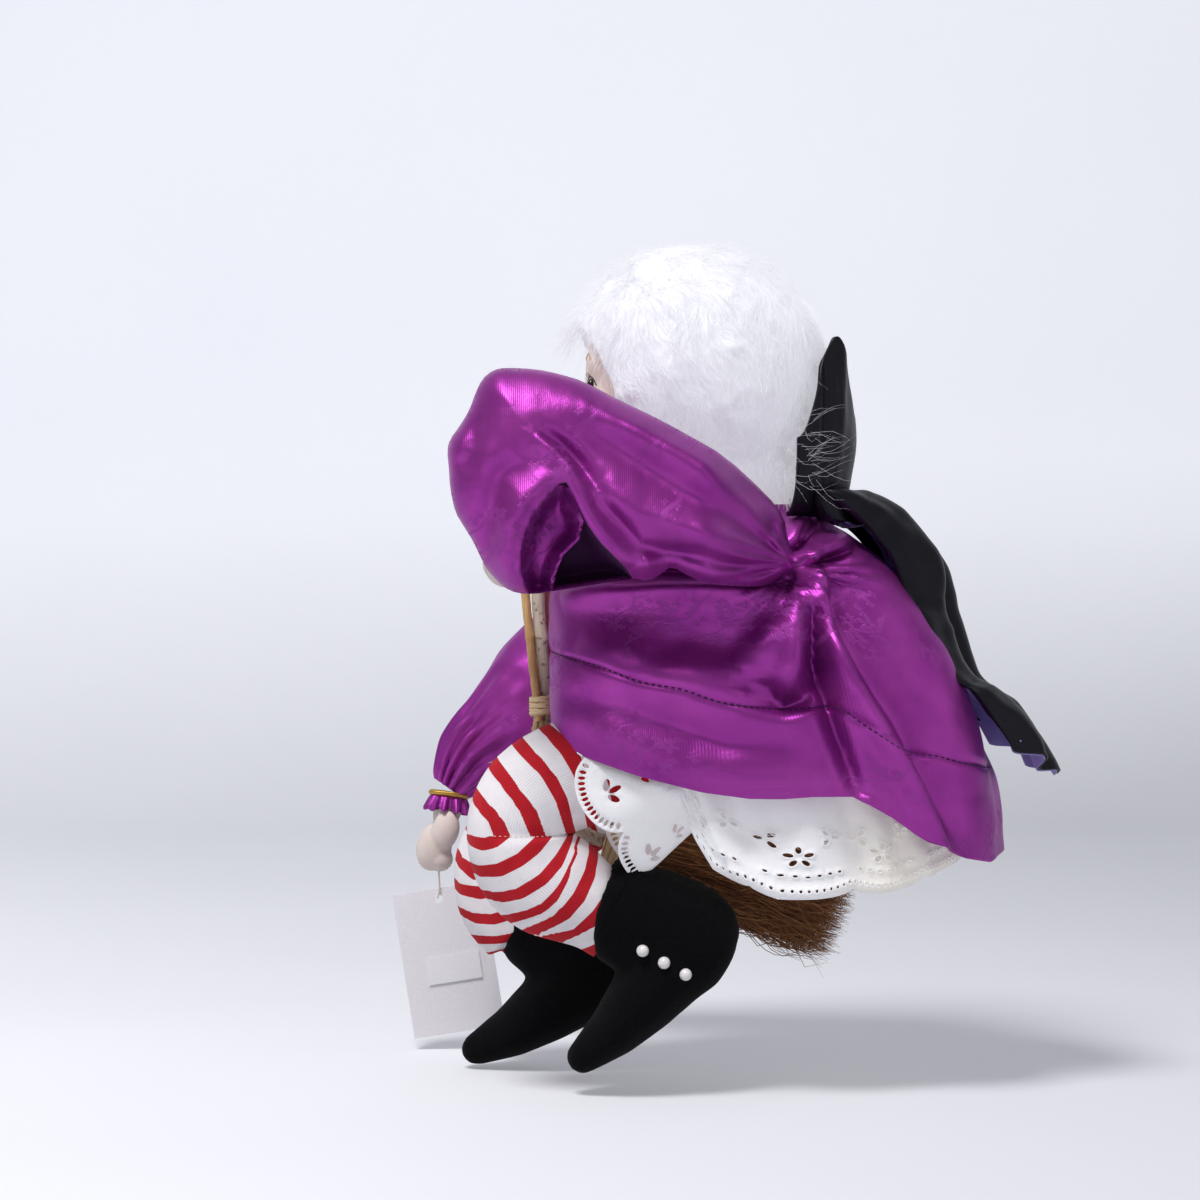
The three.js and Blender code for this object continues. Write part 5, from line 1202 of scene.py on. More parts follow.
# %% [markdown]
# ## Striped legs
# The legs are sewn bent. A dart on the inside of the knee takes up the cloth, so the stripes of the thigh meet those
# of the shin at an angle on the dart, and run as a fan round the knee's front.
# Each edge between red and white is a line read off the photograph. A point's place between two of these lines is
# its V in the stripe pattern, so the stripes lie where the photograph has them, all the way round the leg.

# %% Striped legs
HIP = (36, -200)
LEG_SIDE = 36
LEG_WIDE, LEG_HIGH, KNEE_RADIUS, ANKLE = 19, 24, 25, 18.5
KNEE_RINGS, SHIN_RINGS, LEG_AROUND = (14, 20), 16, 72
LEG_SHAPES = {"left": ((-50, -262), 29, 27), "right": ((-59, -288), 43, 4)}
STRIPE_DEPTH = -50
THIGH_EDGES = [
    [(470, 795), (473, 804), (480, 813), (489, 822), (493, 834)],
    [(473, 786), (480, 797), (493, 808), (505, 822), (511, 836)],
    [(487, 767), (497, 780), (510, 795), (520, 810), (532, 839)],
    [(497, 760), (510, 777), (523, 793), (537, 810), (548, 842)],
    [(512, 747), (527, 760), (543, 777), (557, 803), (567, 837)],
    [(522, 740), (540, 757), (557, 777), (567, 797), (574, 827)],
    [(540, 730), (560, 752), (573, 773), (582, 797), (586, 822)],
    [(549, 725), (573, 743), (582, 758), (593, 790), (597, 813)],
]
SHIN_EDGES = [
    [(461, 825), (465, 832), (473, 837), (485, 838), (493, 834)],
    [(462, 837), (470, 847), (483, 851), (497, 847), (511, 836)],
    [(463, 862), (477, 867), (497, 863), (517, 853), (532, 839)],
    [(466, 872), (480, 878), (502, 876), (523, 865), (540, 852), (548, 842)],
    [(478, 892), (497, 893), (517, 888), (540, 873), (557, 853), (567, 837)],
    [(485, 900), (503, 903), (523, 898), (547, 883), (563, 865), (572, 843), (575, 830)],
    [(510, 915), (527, 910), (543, 902), (560, 883), (573, 860), (576, 846)],
    [(525, 920), (543, 913), (558, 900), (567, 880), (575, 853)],
    [(533, 925), (553, 915), (573, 893), (585, 870), (589, 853), (588, 837)],
    [(555, 927), (570, 918), (585, 900), (595, 877), (598, 857), (597, 840)],
    [(558, 933), (573, 930), (593, 910), (607, 890), (613, 877)],
    [(577, 936), (597, 925), (612, 907), (620, 887), (623, 880)],
]
STRIPE_PIXELS = 16.2
SIGN = {"left": -1, "right": 1}


def turned_about(p, centre, degrees):
    a = math.radians(degrees)
    dx, dz = p[0] - centre[0], p[1] - centre[1]
    return centre[0] + dx * math.cos(a) - dz * math.sin(a), centre[1] + dx * math.sin(a) + dz * math.cos(a)


def long_line(line, by=60):
    """A line drawn out at both ends."""
    (ax, ay), (bx, by2) = line[0], line[1]
    (cx, cy), (dx, dy) = line[-2], line[-1]
    first, last = math.hypot(bx - ax, by2 - ay), math.hypot(dx - cx, dy - cy)
    return ([(ax - (bx - ax) / first * by, ay - (by2 - ay) / first * by)] + list(line)
            + [(dx + (dx - cx) / last * by, dy + (dy - cy) / last * by)])


LONG_EDGES = {"thigh": [long_line(e) for e in THIGH_EDGES], "shin": [long_line(e, 14) for e in SHIN_EDGES]}


def stripe_place(edges, px, py, sign):
    """How many edges lie before a pixel, with the share to the next. The lines run so that sign times side grows."""
    gaps = []
    for line in edges:
        gap, _, side = beside(line, px, py)
        gaps.append(sign * side * gap)
    if gaps[0] < 0:
        return max(gaps[0] / STRIPE_PIXELS, -0.92)
    for k in range(len(gaps) - 1):
        if gaps[k + 1] < 0:
            return k + gaps[k] / (gaps[k] - gaps[k + 1])
    return len(gaps) - 1 + gaps[-1] / STRIPE_PIXELS


def leg_frame(side):
    """The same centre line as the CAD leg: hip, start of the knee's arc, its end, the ankle and the angles."""
    bend, fall, shin_length = LEG_SHAPES[side]
    reach = math.hypot(bend[0] - HIP[0], bend[1] - HIP[1])
    thigh = math.atan2(bend[1] - HIP[1], bend[0] - HIP[0]) - math.asin(KNEE_RADIUS / reach)
    arc = [a - math.pi / 2 + 2 * math.pi for a in (thigh, -math.radians(fall))]
    shin = (math.cos(math.radians(fall)), -math.sin(math.radians(fall)))
    return bend, thigh, arc, shin, shin_length


def leg_stations(side):
    """Rings as (x, z, direction of the ring's height, high, wide, part)."""
    bend, thigh, arc, shin, shin_length = leg_frame(side)
    on_arc = lambda a: (bend[0] + KNEE_RADIUS * math.cos(a), bend[1] + KNEE_RADIUS * math.sin(a))
    start, stop = on_arc(arc[0]), on_arc(arc[1])
    thigh_up, shin_up = ((math.cos(a), math.sin(a)) for a in arc)
    out = []
    for i in range(6):
        d = (1 - i / 6) * 0.98
        back = (HIP[0] - math.cos(thigh) * LEG_HIGH * 0.9 * d, HIP[1] - math.sin(thigh) * LEG_HIGH * 0.9 * d)
        share = math.sqrt(1 - d * d) * 0.98
        out.append((*back, thigh_up, LEG_HIGH * share, LEG_WIDE * share, "thigh"))
    for i in range(30):
        t = i / 30
        swell = 1 + 0.03 * math.sin(math.pi * t)
        out.append((mix(HIP[0], start[0], t), mix(HIP[1], start[1], t), thigh_up, LEG_HIGH * swell * mix(0.98, 1, t),
                    LEG_WIDE * swell * mix(0.98, 1, t), "thigh"))
    for i in range(KNEE_RINGS[0]):
        a = mix(arc[0], math.pi, i / KNEE_RINGS[0])
        out.append((*on_arc(a), (math.cos(a), math.sin(a)), LEG_HIGH, LEG_WIDE, "thigh"))
    for i in range(KNEE_RINGS[1] + 1):
        a = mix(math.pi, arc[1], i / KNEE_RINGS[1])
        out.append((*on_arc(a), (math.cos(a), math.sin(a)), LEG_HIGH, LEG_WIDE, "dart" if i == 0 else "shin"))
    for i in range(1, SHIN_RINGS + 1):
        s = (shin_length + 5) * i / SHIN_RINGS
        t = min(s / max(shin_length, 1), 1)
        out.append((stop[0] + shin[0] * s, stop[1] + shin[1] * s, shin_up, mix(LEG_HIGH, ANKLE, ease(t, 0, 1)),
                    mix(LEG_WIDE, ANKLE * 0.86, ease(t, 0, 1)), "shin"))
    return out


def build_leg(side):
    """A closed sock of oval rings. The dart sinks into it, and its stripes are laid by the photograph's edges."""
    sign, around = SIGN[side], LEG_AROUND
    rings = leg_stations(side)
    points = []
    for x, z, up, high, wide, part in rings:
        for k in range(around):
            a = 2 * math.pi * k / around
            p = Vector((x + up[0] * high * math.cos(a), sign * LEG_SIDE + wide * math.sin(a),
                        z + up[1] * high * math.cos(a)))
            out = Vector((up[0] * math.cos(a) * wide, math.sin(a) * high, up[1] * math.cos(a) * wide)).normalized()
            lump = 0.7 * wrinkle(p * MM, 22, 4.4) + 0.25 * wrinkle(p * MM, 8, 1.9)
            points.append((p + out * lump) * MM)
    faces = grid_faces(around, len(rings) - 1, True)
    first = len(points)
    points.append(Vector((rings[0][0], sign * LEG_SIDE, rings[0][1])) * MM)
    points.append(Vector((rings[-1][0], sign * LEG_SIDE, rings[-1][1])) * MM)
    last_row = (len(rings) - 1) * around
    faces += [(first, (k + 1) % around, k) for k in range(around)]
    faces += [(first + 1, last_row + k, last_row + (k + 1) % around) for k in range(around)]
    made = add_object(f"{side}_leg_stuffed", points, faces, jersey, [(0, 0)] * len(points))
    dart_row = next(i for i, ring in enumerate(rings) if ring[5] == "dart")
    for k in range(around):
        a = 2 * math.pi * k / around
        outward = math.cos(a)
        deep = 1.5 * (1 - ease(outward, 0.35, 0.75)) + 1.2 * (1 - ease(outward, -1, -0.6))
        for row, share in zip(range(dart_row - 2, dart_row + 3), (0.2, 0.6, 1.0, 0.6, 0.2)):
            v = made.data.vertices[row * around + k]
            inward = (Vector((rings[row][0] * MM, sign * LEG_SIDE * MM, rings[row][1] * MM)) - v.co).normalized()
            v.co += inward * (deep * share * MM)
    near_bend, near_thigh = leg_frame("left")[:2]
    bend, thigh = leg_frame(side)[:2]
    turns = {"thigh": math.degrees(near_thigh - thigh), "shin": LEG_SHAPES[side][1] - LEG_SHAPES["left"][1]}
    layer = made.data.uv_layers["cloth"].data
    for polygon in made.data.polygons:
        row = min(polygon.loop_indices, key=lambda q: made.data.loops[q].vertex_index)
        ring = min(made.data.loops[row].vertex_index // around, len(rings) - 1)
        part = "thigh" if ring < dart_row else "shin"
        for q in polygon.loop_indices:
            index = made.data.loops[q].vertex_index
            k = index % around
            p = made.data.vertices[index].co / MM
            local = turned_about((p.x - bend[0], p.z - bend[1]), (0, 0), turns[part])
            px, py = pixel(Vector((local[0] + near_bend[0], STRIPE_DEPTH, local[1] + near_bend[1])) * MM)
            s = stripe_place(LONG_EDGES[part], px, py, -1 if part == "thigh" else 1)
            layer[q].uv = (k / around * 2 * math.pi * 21.5 * MM, (s + 1) / 2 * STRIPE_PITCH * MM)
    settle(made, f"{side}_leg_body", "striped_knit", f"{side}_thigh", f"{side}_shin")
    return made


legs = {side: build_leg(side) for side in LEG_SHAPES}


def from_aside(side, tree, x, z, lift_mm=0.0):
    """The place on a limb's outer side, at x and z in metres, lifted off it a little."""
    hit = tree.ray_cast(Vector((x, SIGN[side] * 0.2, z)), Vector((0, -SIGN[side], 0)))[0]
    return hit + Vector((0, SIGN[side] * lift_mm * MM, 0)) if hit else None


for side in legs:
    tree = cloth_tree(legs[side])
    bend = LEG_SHAPES[side][0]
    places = []
    for i in range(30):
        place = from_aside(side, tree, mix(bend[0] - 37, bend[0] - 2, i / 29) * MM, bend[1] * MM, 0.2)
        if place:
            places.append(place)
    stitches(f"{side}_dart_stitches", places, thread, 2.2, 1.0, 0.2, f"{side}_leg_body")
print("legs", len(legs["left"].data.vertices), "points each")

# %% [markdown]
# ## Felt boots
# The boots are cut from felt, with a sole that runs out to a long curled toe, and stuffed.
# Three pearl buttons are sewn up the side of each. The top edge is cut, not hemmed, and a row of stitches shows.

# %% Boots and buttons
def boot_place(side, along, forward):
    """A place in a boot's own frame: along the shin and forward of it."""
    bend, _, arc, shin, shin_length = leg_frame(side)
    stop = (bend[0] + KNEE_RADIUS * math.cos(arc[1]), bend[1] + KNEE_RADIUS * math.sin(arc[1]))
    ankle = (stop[0] + shin[0] * shin_length, stop[1] + shin[1] * shin_length)
    return Vector((ankle[0] + shin[0] * along + shin[1] * forward, 0,
                   ankle[1] + shin[1] * along - shin[0] * forward)) * MM


BOOT_RIM = {"left": (4.0, 1.6), "right": (9.0, 3.4)}
boots = {}
for side in LEG_SHAPES:
    boots[side] = stuffed(f"{side}_boot_stuffed", [f"{side}_boot"], f"{side}_leg_body", felt, "black_felt", 1.5, 22,
                          0.9)
    ankle = boot_place(side, 0, 0) + Vector((0, SIGN[side] * LEG_SIDE * MM, 0))
    down = (boot_place(side, 1, 0) - boot_place(side, 0, 0)).normalized()
    rise, widen = BOOT_RIM[side]

    def pull_up(p, n):
        """Draws the cut edge of the felt further up the leg, where the leg is thicker."""
        along = (p - ankle).dot(down)
        share = 1 - ease(along, 0, 16 * MM)
        round_leg = (p - ankle - down * along).normalized()
        return p - down * (rise * MM * share) + round_leg * (widen * MM * share)

    move_points(boots[side], pull_up)


def build_button(name, place, way):
    """A half-round pearl button with a low rim, pressed into the felt."""
    profile = [(0, 2.9), (1.0, 2.75), (1.9, 2.2), (2.45, 1.35), (2.7, 0.5), (2.72, 0.1), (2.5, -0.3), (0, -0.4)]
    points, around = [], 28
    for r, h in profile:
        for k in range(around):
            a = 2 * math.pi * k / around
            points.append(place + Vector((r * math.cos(a), way * h, r * math.sin(a))) * MM)
    return add_object(name, points, grid_faces(around, len(profile) - 1, True), pearl)


for side in LEG_SHAPES:
    tree, body = cloth_tree(boots[side]), f"{side}_leg_body"
    for i in range(1, 4):
        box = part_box(f"{side}_boot_button_{i}")
        centre = (Vector(box[0]) + Vector(box[1])) / 2
        button = build_button(f"{side}_pearl_button_{i}", from_aside(side, tree, centre.x, centre.z), SIGN[side])
        settle(button, body, "pearl", f"{side}_boot_button_{i}")
    seam = [boot_place(side, 13 + 0.9 * i, 2.5 - 0.55 * i) for i in range(24)]
    seam = [from_aside(side, tree, p.x, p.z, 0.05) for p in seam]
    stitches(f"{side}_boot_dart", [p for p in seam if p], felt, 2.6, 1.7, 0.25, body)
    places = []
    for i in range(73):
        a = 2 * math.pi * i / 72
        along = boot_place(side, 0.6, 0)
        front = (boot_place(side, 0.6, 1) - along).normalized()
        out = front * math.cos(a) + Vector((0, 1, 0)) * math.sin(a)
        centre = along + Vector((0, SIGN[side] * LEG_SIDE * MM, 0))
        hit = tree.ray_cast(centre + out * 0.06, -out)[0]
        if hit:
            places.append(hit + out * (0.15 * MM))
    stitches(f"{side}_boot_top_stitches", places, felt, 3.0, 1.8, 0.3, body)
print("boots done")

# %% [markdown]
# ## Petticoat and pantaloons
# Both are white cotton with machine embroidery, broderie anglaise: holes are cut and their rims sewn over.
# The edge is a row of scallops with a ladder of small holes inside it, and a flower with oval petals in each.
# One tile of this cloth is filled with triangles round its holes, with a raised rim of thread on each hole, and
# repeated round the garment.

# %% Lace tile
RIM_MM = 0.75
RIM_HEIGHT_MM = 0.45


def oval(cx, cy, long_radius, short_radius, degrees, count=12):
    a0 = math.radians(degrees)
    out = []
    for k in range(count):
        a = 2 * math.pi * k / count
        x, y = long_radius * math.cos(a), short_radius * math.sin(a)
        out.append((cx + x * math.cos(a0) - y * math.sin(a0), cy + x * math.sin(a0) + y * math.cos(a0)))
    return out


def flower(cx, cy, petals, distance, long_radius, short_radius, start=90, spread=360):
    """Oval holes set out like petals. y grows downward in a tile."""
    out = []
    for i in range(petals):
        degrees = start + spread * (i / petals if spread == 360 else i / max(petals - 1, 1) - 0.5)
        a = math.radians(degrees)
        out.append((cx + distance * math.cos(a), cy - distance * math.sin(a), long_radius, short_radius, -degrees))
    return out


def scallop_edge(width, length, depth, count):
    """The tile's lower edge, from left to right: one arc that hangs between two cusps."""
    out = []
    for i in range(count + 1):
        x = i / count
        out.append((x * width, length - depth * (1 - math.sqrt(max(1 - (2 * x - 1) ** 2 * 0.93, 0)))))
    return out


def ladder(width, length, depth, count, inset, long_radius, short_radius):
    """Small holes that follow the scallop, each pointing square to the edge."""
    out = []
    for i in range(count):
        x = (i + 0.5) / count
        slope = 2 * x - 1
        root = math.sqrt(max(1 - slope * slope * 0.93, 0.05))
        fall = depth * slope * 0.93 * 2 / root / width
        tilt = math.degrees(math.atan(-fall))
        y = length - depth * (1 - root)
        a = math.radians(tilt)
        out.append((x * width + inset * math.sin(a), y - inset * math.cos(a), long_radius, short_radius, 90 + tilt))
    return out


def lace_tile(width, length, depth, holes, fine_from, coarse_mm=4.0, fine_mm=2.0):
    """Points (x, y, height) and triangles of one tile. y is 0 at the top."""
    points, edges = [], []

    def ring(line, height, closed=True, constrain=True):
        first = len(points)
        points.extend((x, y, height) for x, y in line)
        if constrain:
            last = len(line) if closed else len(line) - 1
            edges.extend((first + i, first + (i + 1) % len(line)) for i in range(last))

    side, y = [], 0.0
    low = length - depth * (1 - math.sqrt(0.07))
    while y < low - 0.6 * fine_mm:
        side.append(y)
        y += coarse_mm if y < fine_from else fine_mm
    side.append(low)
    hem = scallop_edge(width, length, depth, max(int(width / 1.2), 8))
    outline = [(0, s) for s in side] + hem[1:-1] + [(width, s) for s in reversed(side)]
    outline += [(width * (1 - (i + 1) / 6), 0) for i in range(5)]
    ring(outline, 0.0)
    cuts = [oval(*hole) for hole in holes]
    for hole, cut_line in zip(holes, cuts):
        cx, cy, a, b, degrees = hole
        ring(cut_line, RIM_HEIGHT_MM)
        ring(oval(cx, cy, a + RIM_MM * 0.5, b + RIM_MM * 0.5, degrees), RIM_HEIGHT_MM * 1.2, constrain=False)
        ring(oval(cx, cy, a + RIM_MM, b + RIM_MM, degrees), 0.05, constrain=False)
    taken = np.array([p[:2] for p in points])
    row, y = 0, coarse_mm / 2
    while y < length:
        step = coarse_mm if y < fine_from else fine_mm
        x = step / 2 if row % 2 else step
        while x < width - 0.3 * step:
            gap = np.min(np.hypot(taken[:, 0] - x, taken[:, 1] - y))
            if gap > 0.55 * step and inside(outline, x, y) and not any(inside(c, x, y) for c in cuts):
                points.append((x, y, 0.0))
            x += step
        y += step * 0.866
        row += 1
    out = geometry.delaunay_2d_cdt([Vector(p[:2]) for p in points], edges, [], 0, 1e-4)
    flat = [tuple(p) for p in out[0]]
    heights = [max((points[i][2] for i in source), default=0.0) for source in out[3]]
    faces = []
    for face in out[2]:
        place = middle_of(flat, face)
        if inside(outline, *place) and not any(inside(c, *place) for c in cuts):
            faces.append(tuple(face))
    return [(x, y, h) for (x, y), h in zip(flat, heights)], faces


def lay_tiles(name, tile, repeats, width, length, place, finish, thick_mm=0.45):
    """Puts tiles side by side round a garment. place(u, v) is the cloth there, in metres."""
    points, faces = tile
    all_points, all_faces, uvs = [], [], []
    for r in range(repeats):
        first = len(all_points)
        for x, y, height in points:
            u, v = (r + x / width) / repeats, y / length
            p = place(u, v)
            if height:
                du, dv = place(u + 0.0015, v) - p, place(u, v + 0.004) - p
                out = dv.cross(du)
                p = p + out.normalized() * (height * MM) if out.length > 0 else p
            all_points.append(p)
            uvs.append((u * width * repeats * MM, v * length * MM))
        all_faces += [tuple(i + first for i in face) for face in faces]
    made = add_object(name, all_points, all_faces, finish, uvs)
    turn_out(made, 0.03)
    thicken(made, thick_mm, 0)
    return made


print("lace rims", RIM_MM, "mm wide")

# %% Petticoat
PETTICOAT_LENGTH, PETTICOAT_TILE = 122, 30
PETTICOAT_TILES = 15
PETTICOAT_TOP = -165
PETTICOAT_FRONT = [-4, -28, -42, -49, -52]
PETTICOAT_BACK = [66, 92, 108, 118, 125]
PETTICOAT_HALF = [38, 51, 55, 57, 59]
PETTICOAT_HEM = [(-60, -206), (-20, -212), (0, -262), (8, -276), (24, -286), (36, -289), (62, -288), (80, -287),
                 (95, -284), (104, -280), (118, -275), (127, -271)]
PETTICOAT_FOLDS = [
    (5.0, (8, 16), 0.3, [(704, 770), (709, 800), (716, 836), (734, 868), (760, 892)]),
    (-3.0, 12, 0.5, [(722, 780), (734, 820), (756, 860)]),
    (3.0, 18, 0.6, [(800, 790), (808, 830), (812, 880)]),
    (-3.5, 9, 0.5, [(842, 792), (852, 830), (862, 880)]),
    (3.0, 10, 0.5, [(868, 800), (880, 840), (888, 890)]),
    (-2.5, 8, 0.5, [(896, 830), (908, 880)]),
    (2.5, 9, 0.5, [(916, 840), (930, 890)]),
]


def petticoat_point(u, v):
    a = 2 * math.pi * u
    c, s = math.cos(a), math.sin(a)
    front, back, half = (float(smooth_list(x, v)) for x in (PETTICOAT_FRONT, PETTICOAT_BACK, PETTICOAT_HALF))
    x = (front + back) / 2 + (back - front) / 2 * math.copysign(abs(c) ** 0.86, c)
    y = half * math.copysign(abs(s) ** 0.86, s)
    z = mix(PETTICOAT_TOP, table(PETTICOAT_HEM, x), v)
    outward = Vector((c * half, s * (back - front) / 2, 0)).normalized()
    px, py = pixel((x * MM, y * MM, z * MM))
    height = relief(PETTICOAT_FOLDS, px, py) * ease(abs(y), 20, 44)
    waves = 1.6 * math.cos(13 * a + math.sin(2 * a)) + 1.3 * wrinkle((x * MM, y * MM, z * MM), 26, 6.2)
    height += ease(v, 0.2, 1) * waves
    return (Vector((x, y, z)) + outward * height) * MM


W, L = PETTICOAT_TILE, PETTICOAT_LENGTH
petticoat_holes = flower(W / 2 - 2, L - 18, 5, 3.0, 1.5, 0.9) + flower(W / 2 - 9.5, L - 25, 3, 2.3, 1.4, 0.8, 60)
petticoat_holes += flower(W / 2 + 8, L - 26, 3, 2.3, 1.4, 0.8, 120)
petticoat_holes += [(W / 2 + dx, L - 9.5 + abs(dx) * -0.16, 0.7, 0.55, 0) for dx in (-10.5, -7, -3.5, 0, 3.5, 7, 10.5)]
petticoat_holes += [(W * (k + 0.5) / 13, L - 3.4 - 3.4 * (2 * (k + 0.5) / 13 - 1) ** 2, 0.7, 0.42, 90)
                    for k in range(13)]
petticoat_tile = lace_tile(W, L, 4.5, petticoat_holes, L - 40, 4.2, 2.0)
petticoat = lay_tiles("petticoat_cloth", petticoat_tile, PETTICOAT_TILES, W, L, petticoat_point, cotton)
settle(petticoat, "torso_body", "white_cotton", "petticoat")

# %% Pantaloons
PANTALOON_LENGTH, PANTALOON_TILE, PANTALOON_TILES = 92, 37, 6
PANTALOON_HIGH = [25.5, 28.5, 34, 40.5, 46]
PANTALOON_WIDE = [20.5, 22, 23, 23.5, 24]
PANTALOON_RUN = 91.6
PANTALOON_TILT = {"left": math.radians(27), "right": math.radians(33)}
CUSP_SHIFT = -0.023
PANTALOON_TUCK = 9
turns = np.linspace(0, 2 * math.pi, 361)
steps = np.hypot(np.diff(44 * np.cos(turns)), np.diff(24 * np.sin(turns)))
ROUND_SHARE = np.concatenate([[0], np.cumsum(steps)]) / np.sum(steps)


def pantaloon_place(side):
    """The cloth keeps to the top of the thigh and hangs down under it, in front of the shin."""
    sign, tilt = SIGN[side], PANTALOON_TILT[side]
    along, up = Vector((-math.cos(tilt), 0, -math.sin(tilt))), Vector((-math.sin(tilt), 0, math.cos(tilt)))

    def place(u, v):
        a = float(np.interp((u + CUSP_SHIFT) % 1, ROUND_SHARE, turns))
        high, wide = float(smooth_list(PANTALOON_HIGH, v)), float(smooth_list(PANTALOON_WIDE, v))
        run = PANTALOON_RUN * v + 6 * ease(v, 0.5, 1) * math.sin(a) ** 2
        run -= 15 * ease(math.cos(a), 0.2, 0.8) * ease(v, 0.6, 1)
        centre = Vector((HIP[0], sign * LEG_SIDE, HIP[1])) + along * run
        out = (up * (wide * math.cos(a)) + Vector((0, 1, 0)) * (high * math.sin(a))).normalized()
        p = centre + up * (high * math.cos(a)) + Vector((0, wide * math.sin(a), 0))
        wave = (1.3 * math.cos(7 * a + 1.0) + 1.2 * wrinkle(p * MM, 20, 8.8)) * ease(v, 0.1, 0.8)
        wave *= 1 - ease(math.cos(a), 0.2, 0.8)
        tuck = Vector((0, -sign * PANTALOON_TUCK * ease(p.z - hem_z(p.x), -2, 3), 0))
        return (p + out * wave + tuck) * MM

    return place


W, L = PANTALOON_TILE, PANTALOON_LENGTH
pantaloon_holes = ladder(W, L, 13, 15, 2.9, 1.5, 0.8)
pantaloon_holes += flower(W / 2, L - 11, 3, 3.8, 2.7, 1.35, 90, 120)
pantaloon_holes += flower(W / 2, L - 25, 3, 3.0, 2.0, 1.0, 90, 120)
pantaloon_tile = lace_tile(W, L, 13, pantaloon_holes, L - 32, 4.0, 2.0)
for side in LEG_SHAPES:
    made = lay_tiles(f"{side}_pantaloon_cloth", pantaloon_tile, PANTALOON_TILES, W, L, pantaloon_place(side), cotton)
    settle(made, f"{side}_leg_body", "white_cotton", f"{side}_pantaloon")

# %% [markdown]
# ## Cape and collar
# The cape is black satin lined with lavender. It is sewn in under the collar, rises a little, then falls outside the
# dress to a point at the back. A deep fold lies beside the dress. The lining turns out by a thin line along the hem.
# The collar is stiffened satin, cut so that it stands up behind the head with a long point at each side.

# %% Cape and lining
CAPE_X = [83.6, 80, 97, 111, 118, 129, 147, 163]
CAPE_Z = [-125.5, -112, -123, -141, -165, -189, -200, -223]
CAPE_HALF_ANGLE = math.radians(62)
CAPE_BODY_ANGLE = math.radians(55)
CAPE_TOP_HALF, CAPE_HEM_HALF = 32, 44
ROLL_FROM, ROLL_TURN = 0.84, 2.5
CAPE_FOLDS = [
    (-7.0, 10, 0.4, [(858, 512), (878, 535), (900, 566), (922, 604)]),
    (5.0, 10, 0.4, [(866, 497), (893, 516), (926, 556), (940, 602)]),
    (4.0, 9, 0.4, [(946, 620), (962, 664), (984, 706), (1008, 742)]),
    (-4.5, 8, 0.4, [(952, 640), (976, 694), (1000, 730)]),
    (3.5, 8, 0.5, [(978, 690), (1010, 722), (1036, 756)]),
    (-3.0, 8, 0.5, [(990, 716), (1014, 740), (1034, 766)]),
]


def cape_point(u, v, inset=0.0):
    across = 2 * u - 1
    half = mix(CAPE_TOP_HALF, CAPE_HEM_HALF, math.sqrt(v))
    spread = max(min(across / ROLL_FROM, 1), -1) * CAPE_BODY_ANGLE
    rolled = max(abs(across) - ROLL_FROM, 0) / (1 - ROLL_FROM) * ROLL_TURN
    bow = half / math.sin(CAPE_HALF_ANGLE)
    wave = 3.2 * ease(v, 0.08, 0.7) * math.cos(across * math.pi * 3)
    wave += 1.4 * ease(v, 0, 0.3) * math.cos(across * 17 + 3 * v)
    x = float(smooth_list(CAPE_X, v)) - bow * (1 - math.cos(spread))
    z = float(smooth_list(CAPE_Z, v)) - 16 * v * v * (1 - abs(across))
    p = Vector((x, bow * math.sin(spread), z))
    px, py = pixel(p * MM)
    flat_out = Vector((math.cos(spread), math.sin(spread), 0))
    sideways = Vector((-math.sin(spread), math.cos(spread), 0)) * math.copysign(1, across)
    roll = mix(7.5, 2.5, ease(v, 0.2, 0.9))
    p += sideways * (roll * math.sin(rolled)) - flat_out * (roll * (1 - math.cos(rolled)))
    out = flat_out * math.cos(rolled) + sideways * math.sin(rolled) + Vector((0, 0, 0.35 * math.cos(rolled)))
    out.normalize()
    height = wave + relief(CAPE_FOLDS, px, py) * ease(abs(p.y), 4, 26)
    height += 1.6 * wrinkle(p * MM, 22, 2.6) * ease(v, 0, 0.15) + 0.6 * wrinkle(p * MM, 9, 9.9)
    return (p + out * (height - inset)) * MM




def lining_point(u, v):
    """The lining lies inside the cape, and only reaches its edges near the hem, where it turns out."""
    margin = mix(0.1, 0.003, ease(v, 0.72, 0.95))
    return cape_point(mix(margin, 1 - margin, u), v * 1.006, 1.5)


for source, point, finish, slot, thick_mm in (("cape", cape_point, black_satin, "black_satin", 0.6),
                                              ("cape_lining", lining_point, lavender_satin, "lavender_lining", 0.45)):
    made = cloth_sheet(f"{source}_cloth", point, 110, 120, finish, (0.13, 0.16), False, thick_mm)
    settle(made, "torso_body", slot, source)

# %% Collar
COLLAR_BASE, COLLAR_TIP = -123.2, 0.585


def collar_point(u, v):
    across = 2 * u - 1
    a = across * math.radians(68)
    side = abs(across)
    top = mix(-78, -47, ease(side, 0.1, COLLAR_TIP)) - 42 * ease(side, COLLAR_TIP + 0.02, 1)
    peak = math.exp(-((side - COLLAR_TIP) / 0.07) ** 2)
    top += 3.0 * peak
    r = mix(33, 52, math.sqrt(v)) - 7 * v * v
    crease = -2.2 * math.exp(-((side - 0.71) / 0.05) ** 2) * ease(v, 0.1, 0.5)
    crease += 1.6 * math.exp(-((side - 0.5) / 0.07) ** 2) * v
    z = mix(COLLAR_BASE, top, v)
    p = Vector((29 + (r + crease) * math.cos(a), (r + crease) * math.sin(a), z))
    p += Vector((math.cos(a), math.sin(a), 0)) * (0.9 * wrinkle(p * MM, 18, 3.3) * ease(v, 0.05, 0.4))
    return p * MM


collar = cloth_sheet("cape_collar_cloth", collar_point, 120, 50, black_satin, (0.12, 0.08), False, 1.8)
settle(collar, "torso_body", "black_satin", "cape_collar")

